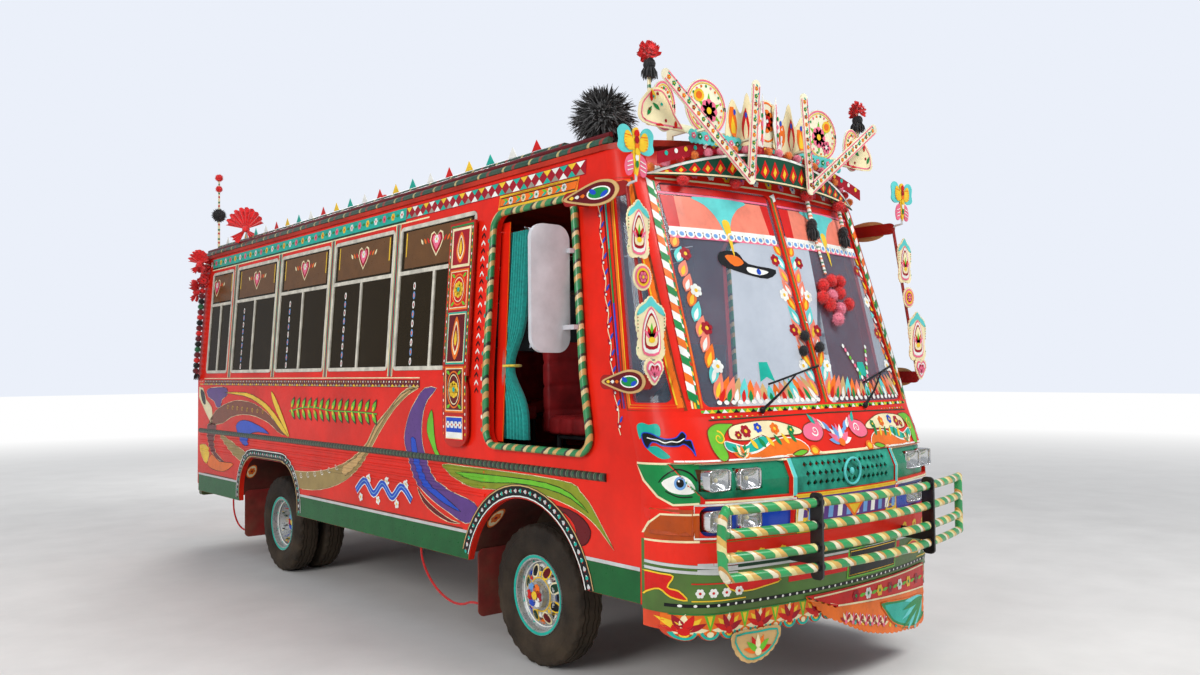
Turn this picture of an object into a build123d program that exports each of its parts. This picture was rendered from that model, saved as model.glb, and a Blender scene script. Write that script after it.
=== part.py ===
from build123d import *
from math import atan2, cos, degrees, hypot, pi, radians, sin, sqrt, tan
import os

# Decorated minibus on a light-truck chassis, right-hand drive. Millimetres, +Z up, the front faces -Y.
# The origin lies on the ground under the middle of the length and the width. "ahead" and "behind" are
# distances from the front axle. The vehicle's right side is at -X and its left side at +X.

os.makedirs("parts", exist_ok=True)

# Whole vehicle
wheelbase = 3535
front_reach = 1600        # front axle to the face of the bull bar
rear_overhang = 1965      # rear axle to the face of the rear bumper
front_axle_y = (front_reach - wheelbase - rear_overhang) / 2
rear_axle_y = front_axle_y + wheelbase
seat_gap = 0.3            # paint-thick gap where curved or loose pieces rest on each other

# Body shell
body_w = 2103
wall_t = 38
skirt_z = 514
deck_top_z = 1000
deck_t = 60
sill_z = 1610
head_z = 2606             # top of the window openings
gutter_z = 2757
tumblehome = 4.15         # lean of the walls above the sill, degrees
tail_y = rear_axle_y + 1870
tail_low_z = 580
rear_wall_t = 38

# Windows
bay_pitch = 1009
bay_start = 515           # first pillar behind the front axle
bay_count = 4
pillar_w = 70
tail_window = (4610, 5170)
window_radius = 45
frame_w = 26
frame_t = 24
glass_t = 5
transom_z = 2290

# Doorways and passenger door
doorway = ((340, 1205), (340, 2545), (-400, 2545), (-610, 1205))
doorway_radius = 90
entry = (620, 1420)
entry_top_z = 2545
door_gap = 8
door_t = 34

# Wheels
tyre_r = 388
tyre_w = 190
tread_half = 76
bead_half = 64
tyre_facets = 60
rim_r = 203
front_tyre_x = 890
twin_outer_x = 895
twin_pitch = 225
kingpin_x = 790
arch_r = 560
arch_z = 365
arch_shift = 20
rear_arch_w = 1240
rear_arch_top = 912
rear_arch_y = 125          # middle of the rear arch behind the rear axle
rear_arch_radius = 330

# Chassis
rail_x = 385
rail_w = 60
rail_z = 540
rail_h = 200
rail_t = 8
spring_w = 60

# Front sections, heights and distances ahead of the front axle
# z, nose, corner x, corner ahead, side ahead
low_rows = ((830, 1400, 780, 1310, 950), (1100, 1410, 780, 1315, 950), (1400, 1268, 850, 1176, 866))
top_rows = (
    (1400, 1268, 850, 1176, 866),
    (1610, 1204, 853, 1114, 823),
    (2606, 895, 830, 800, 640),
    (2757, 852, 820, 756, 610),
)
front_t = 30
shell_back = 1            # the front shells run this far past their side edge
seam = shell_back + seat_gap
bumper_rows = ((500, 1380, 780, 1290, 950), (830, 1412, 792, 1322, 950))


def half_w(z):
    """Half the body's width at a height."""
    return body_w / 2 - max(0, z - sill_z) * tan(radians(tumblehome))


def behind(y):
    """Place on Y of a distance behind the front axle."""
    return front_axle_y + y


def facing_x(x):
    """Plane across X whose sketch axes are Y and Z."""
    return Plane(origin=(x, 0, 0), x_dir=(0, 1, 0), z_dir=(1, 0, 0))


def facing_y(y):
    """Plane across Y whose sketch axes are X and Z; it faces the front."""
    return Plane(origin=(0, y, 0), x_dir=(1, 0, 0), z_dir=(0, -1, 0))


def leaning(side, y, z, out):
    """Plane on a wall above the sill, facing outwards and out from the wall's face."""
    lean = radians(tumblehome)
    origin = (side * (half_w(z) + out * cos(lean)), y, z + out * sin(lean))
    return Plane(origin=origin, x_dir=(0, side, 0), z_dir=(side * cos(lean), 0, sin(lean)))


def save(piece, name):
    """Label a piece and write its file."""
    piece.label = name
    export_step(piece, f"parts/{name}.step")


def front_outline(row, inset, back):
    """Plan outline of the front at one height, inset from the outer face and run back past the side edge."""
    z, nose, corner_x, corner, side = row
    side_x = half_w(z) - inset
    cx = corner_x - inset * 0.5
    bow = -(nose - inset)
    edge = -(corner - inset)
    start = -side + back
    mid_x = cx + (side_x - cx) * 0.72
    mid_y = -side + (edge + side) * 0.72
    with BuildSketch(Plane((0, front_axle_y, z))) as outline:
        with BuildLine():
            ThreePointArc((-cx, edge), (0, bow), (cx, edge))
            ThreePointArc((cx, edge), (mid_x, mid_y), (side_x, -side))
            Polyline((side_x, -side), (side_x, start), (-side_x, start), (-side_x, -side))
            ThreePointArc((-side_x, -side), (-mid_x, mid_y), (-cx, edge))
        make_face()
    return outline.sketch


def front_shell(rows, outer, inner):
    """Curved front sheet between two insets."""
    with BuildPart() as shell:
        loft(sections=[front_outline(row, outer, shell_back) for row in rows], ruled=True)
        loft(sections=[front_outline(row, inner, 60) for row in rows], ruled=True, mode=Mode.SUBTRACT)
    return shell.part


def front_face(rows, z, x):
    """Distance ahead of the front axle of the outer face at a height and a place on X."""
    lower = [r for r in rows if r[0] <= z][-1]
    upper = [r for r in rows if r[0] >= z][0]
    share = 0 if upper[0] == lower[0] else (z - lower[0]) / (upper[0] - lower[0])
    nose, cx, corner, side = (a + (b - a) * share for a, b in zip(lower[1:], upper[1:]))
    if abs(x) <= cx:
        return nose - (nose - corner) * (x / cx) ** 2
    across = (abs(x) - cx) / (half_w(z) - cx)
    return side + (corner - side) * sqrt(max(0, 1 - across**2))


# Side walls

def bay(index):
    """Edges of a window opening behind the front axle."""
    start = bay_start + bay_pitch * index
    return start + pillar_w / 2, start + bay_pitch - pillar_w / 2


right_windows = [bay(i) for i in range(bay_count)] + [tail_window]
left_windows = [bay(i) for i in range(1, bay_count)] + [tail_window]
window_low_z = sill_z + 30
wall_sides = (("right", -1, right_windows), ("left", 1, left_windows))


def wall_outline(side, windows):
    """Side view of a wall with its arches, windows and doorways cut out."""
    rear = tail_y - rear_wall_t
    with BuildSketch(facing_x(0)) as outline:
        with BuildLine():
            front = [(behind(-r[4] + seam), r[0]) for r in low_rows + top_rows[1:]]
            Polyline(
                (front[0][0], skirt_z),
                *front,
                (rear, gutter_z),
                (rear, skirt_z),
                (front[0][0], skirt_z),
            )
        make_face()
        with Locations((behind(arch_shift), arch_z)):
            Circle(arch_r, mode=Mode.SUBTRACT)
        rear_arch_h = 2 * (rear_arch_top - skirt_z)
        with Locations((rear_axle_y + rear_arch_y, skirt_z)):
            RectangleRounded(rear_arch_w, rear_arch_h, rear_arch_radius, mode=Mode.SUBTRACT)
        for start, end in windows:
            with Locations((behind((start + end) / 2), (window_low_z + head_z) / 2)):
                RectangleRounded(end - start, head_z - window_low_z, window_radius, mode=Mode.SUBTRACT)
        with BuildLine():
            corners = [(behind(y), z) for y, z in doorway]
            FilletPolyline(*corners, radius=doorway_radius, close=True)
        make_face(mode=Mode.SUBTRACT)
        if side > 0:
            with Locations((behind(sum(entry) / 2), (skirt_z + entry_top_z) / 2 - 50)):
                Rectangle(entry[1] - entry[0], entry_top_z - skirt_z + 100, mode=Mode.SUBTRACT)
    return outline.sketch


def wall_band(side, out, depth, low, high):
    """Sheet on the wall's section between two heights, out from the wall's face, over the whole length."""
    heights = [low] + [z for z in (sill_z,) if low < z < high] + [high]
    outer = [(side * (half_w(z) + out), z) for z in heights]
    inner = [(side * (half_w(z) + out - depth), z) for z in reversed(heights)]
    with BuildPart() as band:
        with BuildSketch(facing_y(tail_y - rear_wall_t)):
            with BuildLine():
                Polyline(*outer, *inner, outer[0])
            make_face()
        extrude(amount=tail_y - rear_wall_t - behind(-960))
    return band.part


swage_zs = (910, 955, 1000, 1045)
swage_h = 22
swage_out = 7
for name, side, windows in wall_sides:
    with BuildPart() as side_wall:
        add(wall_band(side, 0, wall_t, skirt_z, gutter_z))
        for z in swage_zs:
            with BuildSketch(facing_y(tail_y - rear_wall_t - 60)):
                with BuildLine():
                    face_x = side * body_w / 2
                    Polyline(
                        (face_x, z - swage_h / 2),
                        (face_x + side * swage_out, z - swage_h / 4),
                        (face_x + side * swage_out, z + swage_h / 4),
                        (face_x, z + swage_h / 2),
                        (face_x, z - swage_h / 2),
                    )
                make_face()
            extrude(amount=tail_y - rear_wall_t - 60 - behind(380))
        outline = wall_outline(side, windows)
        extrude(outline, amount=body_w, both=True, mode=Mode.INTERSECT)
    save(side_wall.part, f"side_wall_{name}")

# Rub rail along each wall, cut at the arches' line and at the passenger door
rub_z = 1094
rub_h = 44
rub_out = 16
rub_runs = {"right": ((-700, 5330),), "left": ((-700, 600), (1440, 5330))}
with BuildPart() as rub_rails:
    for name, side, windows in wall_sides:
        for start, end in rub_runs[name]:
            with BuildSketch(facing_y(behind(end))):
                with BuildLine():
                    low = (side * body_w / 2, rub_z - rub_h / 2)
                    high = (side * body_w / 2, rub_z + rub_h / 2)
                    ThreePointArc(low, (side * (body_w / 2 + rub_out), rub_z), high)
                    Line(high, low)
                make_face()
            extrude(amount=end - start)
save(rub_rails.part, "rub_rails")

# Window frames: an outer frame, a transom and a post between the two lower sliding panes
pane_gap = seat_gap
frame_h = (head_z - window_low_z) / cos(radians(tumblehome)) - 2 * frame_t * tan(radians(tumblehome))
frame_h -= 2 * pane_gap
frame_mid_z = (head_z + window_low_z) / 2
transom_up = (transom_z - frame_mid_z) / cos(radians(tumblehome))
frame_in = 30


def window_openings(width):
    """Clear openings of one window frame: middle across, middle up, width, height."""
    low = -frame_h / 2 + frame_w
    high = frame_h / 2 - frame_w
    lower_h = transom_up - frame_w / 2 - low
    upper_h = high - transom_up - frame_w / 2
    lower_w = (width - 3 * frame_w) / 2
    across = (lower_w + frame_w) / 2
    return (
        (-across, low + lower_h / 2, lower_w, lower_h),
        (across, low + lower_h / 2, lower_w, lower_h),
        (0, high - upper_h / 2, width - 2 * frame_w, upper_h),
    )


with BuildPart() as window_frames:
    for name, side, windows in wall_sides:
        for start, end in windows:
            width = end - start - 2 * pane_gap
            with BuildSketch(leaning(side, behind((start + end) / 2), frame_mid_z, 4)):
                RectangleRounded(width, frame_h, window_radius)
                for across, up, w, h in window_openings(width):
                    with Locations((across, up)):
                        Rectangle(w, h, mode=Mode.SUBTRACT)
            extrude(amount=-frame_t)
save(window_frames.part, "window_frames")

with BuildPart() as side_glass:
    for name, side, windows in wall_sides:
        for start, end in windows:
            width = end - start - 2 * pane_gap
            plane = leaning(side, behind((start + end) / 2), frame_mid_z, 4 - frame_t / 2 + glass_t / 2)
            with BuildSketch(plane):
                for across, up, w, h in window_openings(width):
                    with Locations((across, up)):
                        Rectangle(w - 2 * pane_gap, h - 2 * pane_gap)
            extrude(amount=-glass_t)
    rear_pane = (1300, 640, 2180)
    with BuildSketch(facing_y(tail_y - rear_wall_t / 2)):
        with Locations((0, rear_pane[2])):
            RectangleRounded(rear_pane[0] - 2 * pane_gap, rear_pane[1] - 2 * pane_gap, window_radius)
    extrude(amount=glass_t)
save(side_glass.part, "side_glass")

# Rear wall
with BuildPart() as rear_wall:
    with BuildSketch(facing_y(tail_y)):
        with BuildLine():
            lowest = half_w(tail_low_z)
            Polyline(
                (-lowest, tail_low_z),
                (-lowest, sill_z),
                (-half_w(gutter_z), gutter_z),
                (half_w(gutter_z), gutter_z),
                (lowest, sill_z),
                (lowest, tail_low_z),
                (-lowest, tail_low_z),
            )
        make_face()
        with Locations((0, rear_pane[2])):
            RectangleRounded(rear_pane[0], rear_pane[1], window_radius, mode=Mode.SUBTRACT)
    extrude(amount=rear_wall_t)
    fillet(rear_wall.edges().filter_by(Axis.Z).group_by(Axis.Y)[-1], 18)
save(rear_wall.part, "rear_wall")

# Roof with turned-down edges on the walls
roof_t = 28
roof_crown = 60
with BuildPart() as roof_shell:
    edge_x = half_w(gutter_z)
    with BuildSketch(facing_y(tail_y)):
        with BuildLine():
            Polyline((-edge_x + wall_t, gutter_z), (-edge_x - 14, gutter_z), (-edge_x - 14, gutter_z + roof_t))
            ThreePointArc(
                (-edge_x - 14, gutter_z + roof_t),
                (0, gutter_z + roof_t + roof_crown),
                (edge_x + 14, gutter_z + roof_t),
            )
            Polyline((edge_x + 14, gutter_z + roof_t), (edge_x + 14, gutter_z), (edge_x - wall_t, gutter_z))
            ThreePointArc(
                (edge_x - wall_t, gutter_z),
                (0, gutter_z + roof_crown),
                (-edge_x + wall_t, gutter_z),
            )
        make_face()
    extrude(amount=tail_y - behind(-900))
    roof_row = (0, 870, 830, 775, 600)
    with BuildSketch(Plane((0, front_axle_y, 0))):
        with BuildLine():
            nose, cx, corner, side_start = roof_row[1:]
            ThreePointArc((-cx, -corner), (0, -nose), (cx, -corner))
            ThreePointArc((cx, -corner), (cx + 110, -side_start - 100), (edge_x + 14, -side_start))
            back = tail_y - front_axle_y
            Polyline(
                (edge_x + 14, -side_start),
                (edge_x + 14, back),
                (-edge_x - 14, back),
                (-edge_x - 14, -side_start),
            )
            ThreePointArc((-edge_x - 14, -side_start), (-cx - 110, -side_start - 100), (-cx, -corner))
        make_face()
    extrude(amount=gutter_z + roof_crown + 2 * roof_t, mode=Mode.INTERSECT)
save(roof_shell.part, "roof_shell")


def roof_top(x):
    """Height of the roof's outer face at a place on X."""
    return gutter_z + roof_t + roof_crown * (1 - (x / (half_w(gutter_z) + 14)) ** 2)



# Front mask with grille and lamp openings
grille_open = (840, 172, 1108)      # width, height, middle height
lamp_zs = (1110, 925)
lamp_xs = (690, 862)
lamp_size = (150, 100)


def lamp_pockets(inset):
    """Front view of the four lamp pockets: the upper ones taper to a point at the corner."""
    with BuildSketch(facing_y(0)) as pockets:
        for side in (-1, 1):
            with BuildLine():
                Polyline(
                    (side * 450, 1196),
                    (side * 1025, 1190),
                    (side * 985, 1090),
                    (side * 930, 1025),
                    (side * 450, 1022),
                    (side * 450, 1196),
                )
            make_face()
            with Locations((side * 695, 925)):
                RectangleRounded(510, 138, 36)
        if inset:
            offset(amount=-inset, mode=Mode.REPLACE)
    return pockets.sketch.faces()


with BuildPart() as front_mask:
    add(front_shell(low_rows, 0, front_t))
    with BuildSketch(facing_y(0)):
        with Locations((0, grille_open[2])):
            Rectangle(grille_open[0], grille_open[1])
    extrude(amount=4000, mode=Mode.SUBTRACT)
    for pocket in lamp_pockets(0):
        extrude(pocket, amount=4000, mode=Mode.SUBTRACT)
save(front_mask.part, "front_mask")

with BuildPart() as lamp_panels:
    add(front_shell(low_rows, 20, 28))
    extrude(lamp_pockets(seat_gap), amount=4000, mode=Mode.INTERSECT)
    for z in lamp_zs:
        for x in lamp_xs:
            for side in (-1, 1):
                with BuildSketch(facing_y(front_axle_y)):
                    with Locations((side * x, z)):
                        Rectangle(lamp_size[0] + 2 * seat_gap, lamp_size[1] + 2 * seat_gap)
                extrude(amount=4000, mode=Mode.SUBTRACT)
save(lamp_panels.part, "lamp_panels")

with BuildPart() as headlamps:
    for z in lamp_zs:
        for x in lamp_xs:
            ahead = front_face(low_rows, z, x) - 6
            for side in (-1, 1):
                with BuildSketch(facing_y(behind(-ahead + 75))):
                    with Locations((side * x, z)):
                        Rectangle(lamp_size[0], lamp_size[1])
                extrude(amount=75)
    fillet(headlamps.faces().filter_by(Axis.Y).group_by(Axis.Y)[0].edges(), 8)
save(headlamps.part, "headlamps")

with BuildPart() as grille:
    add(front_shell(low_rows, 8, 20))
    with BuildSketch(facing_y(0)):
        with Locations((0, grille_open[2])):
            Rectangle(grille_open[0] - 2 * seat_gap, grille_open[1] - 2 * seat_gap)
    extrude(amount=4000, mode=Mode.INTERSECT)
    mesh_pitch = 44
    with BuildSketch(facing_y(0)):
        with Locations((0, grille_open[2])):
            with GridLocations(mesh_pitch, mesh_pitch, 16, 3):
                Rectangle(mesh_pitch * 0.56, mesh_pitch * 0.56, rotation=45)
    extrude(amount=4000, mode=Mode.SUBTRACT)
save(grille.part, "grille")

# Windscreen surround: two panes, a middle post and a corner pane on each side
screen_low_z = 1445
screen_top_z = 2585
screen_post = 44


def screen_panes(inset):
    """Front view of the two windscreen openings."""
    with BuildSketch(facing_y(0)) as panes:
        for side in (-1, 1):
            with BuildLine():
                FilletPolyline(
                    (side * (screen_post / 2 + inset), screen_low_z + inset),
                    (side * (screen_post / 2 + inset), screen_top_z - inset),
                    (side * (805 - inset), screen_top_z - inset),
                    (side * (838 - inset), screen_low_z + inset),
                    radius=45,
                    close=True,
                )
            make_face()
    return panes.sketch


def corner_panes(inset):
    """Side view of the corner window openings."""
    with BuildSketch(facing_x(0)) as panes:
        with BuildLine():
            FilletPolyline(
                (behind(-1095 + inset), screen_low_z + 25 + inset),
                (behind(-752 + inset), screen_top_z - 20 - inset),
                (behind(-690 - inset), screen_top_z - 20 - inset),
                (behind(-900 - inset), screen_low_z + 25 + inset),
                radius=24,
                close=True,
            )
        make_face()
    return panes.sketch


with BuildPart() as windscreen_surround:
    add(front_shell(top_rows, 0, front_t))
    extrude(screen_panes(0), amount=4000, mode=Mode.SUBTRACT)
    extrude(corner_panes(0), amount=body_w, both=True, mode=Mode.SUBTRACT)
save(windscreen_surround.part, "windscreen_surround")

with BuildPart() as screen_glass:
    add(front_shell(top_rows, 12, 18))
    extrude(screen_panes(seat_gap), amount=4000, mode=Mode.INTERSECT)
with BuildPart() as corner_glass:
    add(front_shell(top_rows, 12, 18))
    extrude(corner_panes(seat_gap), amount=body_w, both=True, mode=Mode.INTERSECT)
front_glass = Compound(children=list(screen_glass.part.solids()) + list(corner_glass.part.solids()))
save(front_glass, "front_glass")

# Signal lamps: amber corner lenses on the mask and red clusters on the rear wall
with BuildPart() as corner_lens:
    add(front_shell(low_rows, -9, -seat_gap))
    with BuildSketch(Plane((0, behind(-1120), 0))):
        with Locations((-1000, 0), (1000, 0)):
            Rectangle(130, 200)
    extrude(amount=2000, mode=Mode.INTERSECT)
    with BuildSketch(Plane((0, 0, 862))):
        Rectangle(3000, 8000)
    extrude(amount=118, mode=Mode.INTERSECT)
tail_lamp_size = (110, 260, 22)
with BuildPart() as tail_lamps:
    with BuildSketch(facing_y(tail_y + tail_lamp_size[2] + seat_gap)):
        with Locations((-960, 900), (960, 900)):
            RectangleRounded(tail_lamp_size[0], tail_lamp_size[1], 14)
    extrude(amount=tail_lamp_size[2])
signal_lamps = Compound(children=list(corner_lens.part.solids()) + list(tail_lamps.part.solids()))
save(signal_lamps, "signal_lamps")

# Front bumper and the scalloped fringe panel under it
with BuildPart() as front_bumper:
    loft(sections=[front_outline(row, 0, shell_back) for row in bumper_rows], ruled=True)
    loft(sections=[front_outline(row, 26, 60) for row in bumper_rows], ruled=True, mode=Mode.SUBTRACT)
save(front_bumper.part, "front_bumper")

fringe_z = (400, 500)
scallop_pitch = 90
with BuildPart() as fringe_panel:
    row_low = (fringe_z[0] - 40,) + bumper_rows[0][1:]
    row_high = (fringe_z[1],) + bumper_rows[0][1:]
    loft(sections=[front_outline(r, 6, shell_back) for r in (row_low, row_high)], ruled=True)
    loft(sections=[front_outline(r, 14, 60) for r in (row_low, row_high)], ruled=True, mode=Mode.SUBTRACT)
    with BuildSketch(facing_y(0)):
        with Locations((0, (fringe_z[0] + fringe_z[1]) / 2 + 10)):
            Rectangle(body_w + 100, fringe_z[1] - fringe_z[0] - 20)
        with Locations((0, fringe_z[0] + 20)):
            with GridLocations(scallop_pitch, 1, 23, 1):
                Circle(scallop_pitch * 0.49)
    extrude(amount=4000, mode=Mode.INTERSECT)
save(fringe_panel.part, "fringe_panel")

# Bull bar: an outer loop, two inner tubes and two upright plates on arms to the bumper
bar_d = 44
bar_knob = 1.5      # the welded ball joints stand this far over the tubes
bar_x = 980
bar_zs = (700, 790, 895, 1000)
bar_bow = front_reach - bar_d / 2
bar_end = 1430
bar_plate_x = 480
bar_plate = (12, 70, 640, 1045)     # thickness, depth, lowest and highest
with BuildPart() as bull_bar:
    for z in bar_zs:
        with BuildLine() as bar_line:
            ThreePointArc((-bar_x, behind(-bar_end), z), (0, behind(-bar_bow), z), (bar_x, behind(-bar_end), z))
        with BuildSketch(Plane(origin=bar_line.line @ 0, z_dir=bar_line.line % 0)):
            Circle(bar_d / 2)
        sweep(path=bar_line.line)
    for side in (-1, 1):
        with BuildSketch(Plane.XY.offset(bar_zs[0])):
            with Locations((side * bar_x, behind(-bar_end))):
                Circle(bar_d / 2)
        extrude(amount=bar_zs[-1] - bar_zs[0])
        with Locations([(side * bar_x, behind(-bar_end), z) for z in bar_zs]):
            Sphere(bar_d / 2 + bar_knob)
        plate_y = behind(-1540)
        with BuildSketch(facing_x(side * bar_plate_x - bar_plate[0] / 2)):
            with Locations((plate_y, (bar_plate[2] + bar_plate[3]) / 2)):
                RectangleRounded(bar_plate[1], bar_plate[3] - bar_plate[2], 24)
        extrude(amount=bar_plate[0])
        arm_back = behind(-front_face(bumper_rows, 740, bar_plate_x) - 5)
        with BuildSketch(facing_y(arm_back)):
            with Locations((side * bar_plate_x, 740)):
                Rectangle(bar_plate[0], 60)
        extrude(amount=arm_back - plate_y)
save(bull_bar.part, "bull_bar")

# Visor: a crescent board above the windscreen
visor_t = 9
visor_rim = ((-900, 2610), (-550, 2735), (0, 2795), (550, 2735), (900, 2610))
with BuildPart() as visor:
    with BuildSketch(Plane((0, front_axle_y, 2560))):
        with BuildLine():
            ThreePointArc((-905, -805), (0, -965), (905, -805))
            Line((905, -805), (905, -805 + visor_t))
            ThreePointArc((905, -805 + visor_t), (0, -965 + visor_t), (-905, -805 + visor_t))
            Line((-905, -805 + visor_t), (-905, -805))
        make_face()
    extrude(amount=300)
    with BuildSketch(facing_y(0)):
        with BuildLine():
            ThreePointArc(visor_rim[0], visor_rim[2], visor_rim[4])
            ThreePointArc(visor_rim[4], (0, 2640), visor_rim[0])
        make_face()
    extrude(amount=4000, mode=Mode.INTERSECT)
    for x in (-550, 0, 550):
        visor_back = 965 - 160 * (x / 905) ** 2 - visor_t / 2
        header = front_face(top_rows, 2680, x) + 2
        with BuildSketch(facing_y(behind(-header))):
            with Locations((x, 2690)):
                Rectangle(30, 16)
        extrude(amount=visor_back - header)
save(visor.part, "visor")

# Crown of painted boards on a rail above the visor
crown_t = 8
crown_y = behind(-880)
crown_rail_z = 2868
crown_ovals = ((490, 3005, 310, 300), (0, 3005, 200, 250), (800, 2960, 170, 260))   # x, z, width, height
crown_ribbons = (           # x and z of the two ends, width
    (255, 2640, 880, 3080, 62),
    (255, 2640, 205, 3150, 62),
)
ribbon_out = 105
with BuildPart() as crown_boards:
    with BuildSketch(facing_y(crown_y)):
        with Locations((0, crown_rail_z)):
            Rectangle(1840, 40)
    extrude(amount=-crown_t)
    with BuildSketch(facing_y(crown_y)):
        for side in (-1, 1):
            for x, z, w, h in crown_ovals:
                if x > 0 or side > 0:
                    with Locations((side * x, z)):
                        Ellipse(w / 2, h / 2)
    extrude(amount=-crown_t)
    with BuildSketch(facing_y(crown_y - ribbon_out)):
        for side in (-1, 1):
            for x1, z1, x2, z2, w in crown_ribbons:
                length = hypot(x2 - x1, z2 - z1)
                turn = degrees(atan2(z2 - z1, side * (x2 - x1)))
                with Locations((side * (x1 + x2) / 2, (z1 + z2) / 2)):
                    SlotOverall(length + w, w, rotation=turn)
    extrude(amount=-crown_t)
    with BuildSketch(Plane((0, crown_y - ribbon_out / 2, crown_rail_z - 14))):
        with Locations((-579, 0), (-233, 0), (233, 0), (579, 0)):
            Rectangle(24, ribbon_out)
    extrude(amount=10)
    for x in (-640, 640):
        brace_z = roof_top(abs(x) - 6) + seat_gap
        with BuildSketch(facing_x(x - 6)):
            with BuildLine():
                Polyline(
                    (crown_y + crown_t, crown_rail_z - 20),
                    (crown_y + crown_t, crown_rail_z + 20),
                    (crown_y + 140, crown_rail_z + 20),
                    (crown_y + 140, brace_z),
                    (crown_y + 100, brace_z),
                    (crown_y + 100, crown_rail_z - 20),
                    (crown_y + crown_t, crown_rail_z - 20),
                )
            make_face()
        extrude(amount=12)
save(crown_boards.part, "crown_boards")

# Roof rack: side rails on posts, cross bars
rack_x = 900
rack_z = 2872
rack_d = 28
rack_start = -200
rack_end = 5250
rack_posts = 7
rack_pitch = (rack_end - rack_start) / (rack_posts - 1)
with BuildPart() as roof_rack:
    for side in (-1, 1):
        with BuildSketch(facing_y(behind(rack_end))):
            with Locations((side * rack_x, rack_z)):
                Circle(rack_d / 2)
        extrude(amount=rack_end - rack_start)
    for i in range(rack_posts):
        y = behind(rack_start + rack_pitch * i)
        with BuildSketch(facing_x(-rack_x)):
            with Locations((y, rack_z)):
                Circle(rack_d / 2 - 1)
        extrude(amount=2 * rack_x)
        roof_z = roof_top(rack_x - rack_d / 2) + seat_gap
        with BuildSketch(Plane((0, 0, roof_z))):
            with Locations((-rack_x, y), (rack_x, y)):
                Circle(rack_d / 2 - 2)
        extrude(amount=rack_z - roof_z)
save(roof_rack.part, "roof_rack")

# Poles with pompoms standing on the rack
pole_d = 16
pole_rows = (           # place on Y, x, base, top, ball heights and radii
    (crown_y + crown_t + pole_d / 2 + seat_gap, 885, crown_rail_z - 15, 3270, ((3240, 62), (3140, 52))),
    (behind(rack_end), rack_x, rack_z + rack_d / 2 + seat_gap, 3600, ((3560, 45), (3450, 40), (3190, 80))),
)
with BuildPart() as roof_poles:
    for y, x, base_z, top, balls in pole_rows:
        for side in (-1, 1):
            with BuildSketch(Plane((0, 0, base_z))):
                with Locations((side * x, y)):
                    Circle(pole_d / 2)
            extrude(amount=top - base_z)
            for ball_z, ball_r in balls:
                with Locations((side * x, y, ball_z)):
                    Sphere(ball_r)
save(roof_poles.part, "roof_poles")

# Soft balls on the roof behind the crown and the pompom row over the visor
feather_r = 190
feather_x = 800
feather_y = -410
with BuildPart() as feather_balls:
    for side in (-1, 1):
        with Locations((side * feather_x, behind(feather_y), roof_top(feather_x) + feather_r * 1.006 + seat_gap)):
            Sphere(feather_r)
save(feather_balls.part, "feather_balls")

# Tubes round the open doorways, on the face of the walls
tube_d = 40
tube_off = tube_d / 2 + seat_gap


def on_wall(side, y, z):
    """Middle of a doorway tube on the face of a wall."""
    return (side * (half_w(z) + tube_off), behind(y), z)


with BuildPart() as doorway_tubes:
    for side in (-1, 1):
        rear, low = doorway[0]
        top = doorway[1][1]
        front_top = doorway[2][0]
        front_low = doorway[3][0]
        front_sill = front_low + (front_top - front_low) * (sill_z - low) / (top - low)
        rear_bend = on_wall(side, rear, sill_z)
        front_bend = on_wall(side, front_sill, sill_z)
        upper = (rear_bend, on_wall(side, rear, top), on_wall(side, front_top, top), front_bend)
        lower = (front_bend, on_wall(side, front_low, low), on_wall(side, rear, low), rear_bend)
        for half in (upper, lower):
            with BuildLine() as tube_line:
                FilletPolyline(*half, radius=doorway_radius)
            with BuildSketch(Plane(origin=tube_line.line @ 0, z_dir=tube_line.line % 0)):
                Circle(tube_d / 2)
            sweep(path=tube_line.line)
        for bend in (rear_bend, front_bend):
            with Locations(bend):
                Sphere(tube_d / 2)
save(doorway_tubes.part, "doorway_tubes")

# Painted board beside the driver's doorway
board_y = (520, 800)
board_z = (1180, 2540)
board_t = 14
with BuildPart() as side_board:
    with BuildSketch(facing_x(-body_w / 2 - rub_out - 2)):
        with Locations((behind(sum(board_y) / 2), 1395)):
            RectangleRounded(board_y[1] - board_y[0], 430, 100)
    extrude(amount=-board_t)
    with BuildSketch(leaning(-1, behind(sum(board_y) / 2), 2070, rub_out + 2)):
        Rectangle(board_y[1] - board_y[0], 940)
    extrude(amount=board_t)
    for z in (1230, 1560):
        with BuildSketch(facing_x(-body_w / 2)):
            with Locations((behind(sum(board_y) / 2), z)):
                Rectangle(180, 30)
        extrude(amount=-rub_out - 2)
save(side_board.part, "side_board")

# Mirror arms: an upper and a lower flat arm on each side with a rod between their ends
arm_t = 12
rod_d = 18
arm_top = (-500, -950, 2500)
arm_low = (-780, -1100, 1570)
rod_x = 1120
with BuildPart() as mirror_arms:
    for side in (-1, 1):
        for start, end, z in (arm_top, arm_low):
            with BuildSketch(facing_x(side * (rod_x - arm_t / 2))):
                with Locations((behind((start + end) / 2 + 12), z)):
                    SlotOverall(start - end + 46, 70)
            extrude(amount=side * arm_t)
            foot_x = half_w(z - 20) + seat_gap
            with BuildSketch(facing_x(side * foot_x)):
                with Locations((behind(start + 10), z)):
                    Rectangle(40, 40)
            extrude(amount=side * (rod_x - foot_x))
        with BuildLine() as rod_line:
            Line((side * rod_x, behind(arm_top[1]), arm_top[2]), (side * rod_x, behind(arm_low[1]), arm_low[2]))
        with BuildSketch(Plane(origin=rod_line.line @ 0, z_dir=rod_line.line % 0)):
            Circle(rod_d / 2)
        sweep(path=rod_line.line)
save(mirror_arms.part, "mirror_arms")

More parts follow.
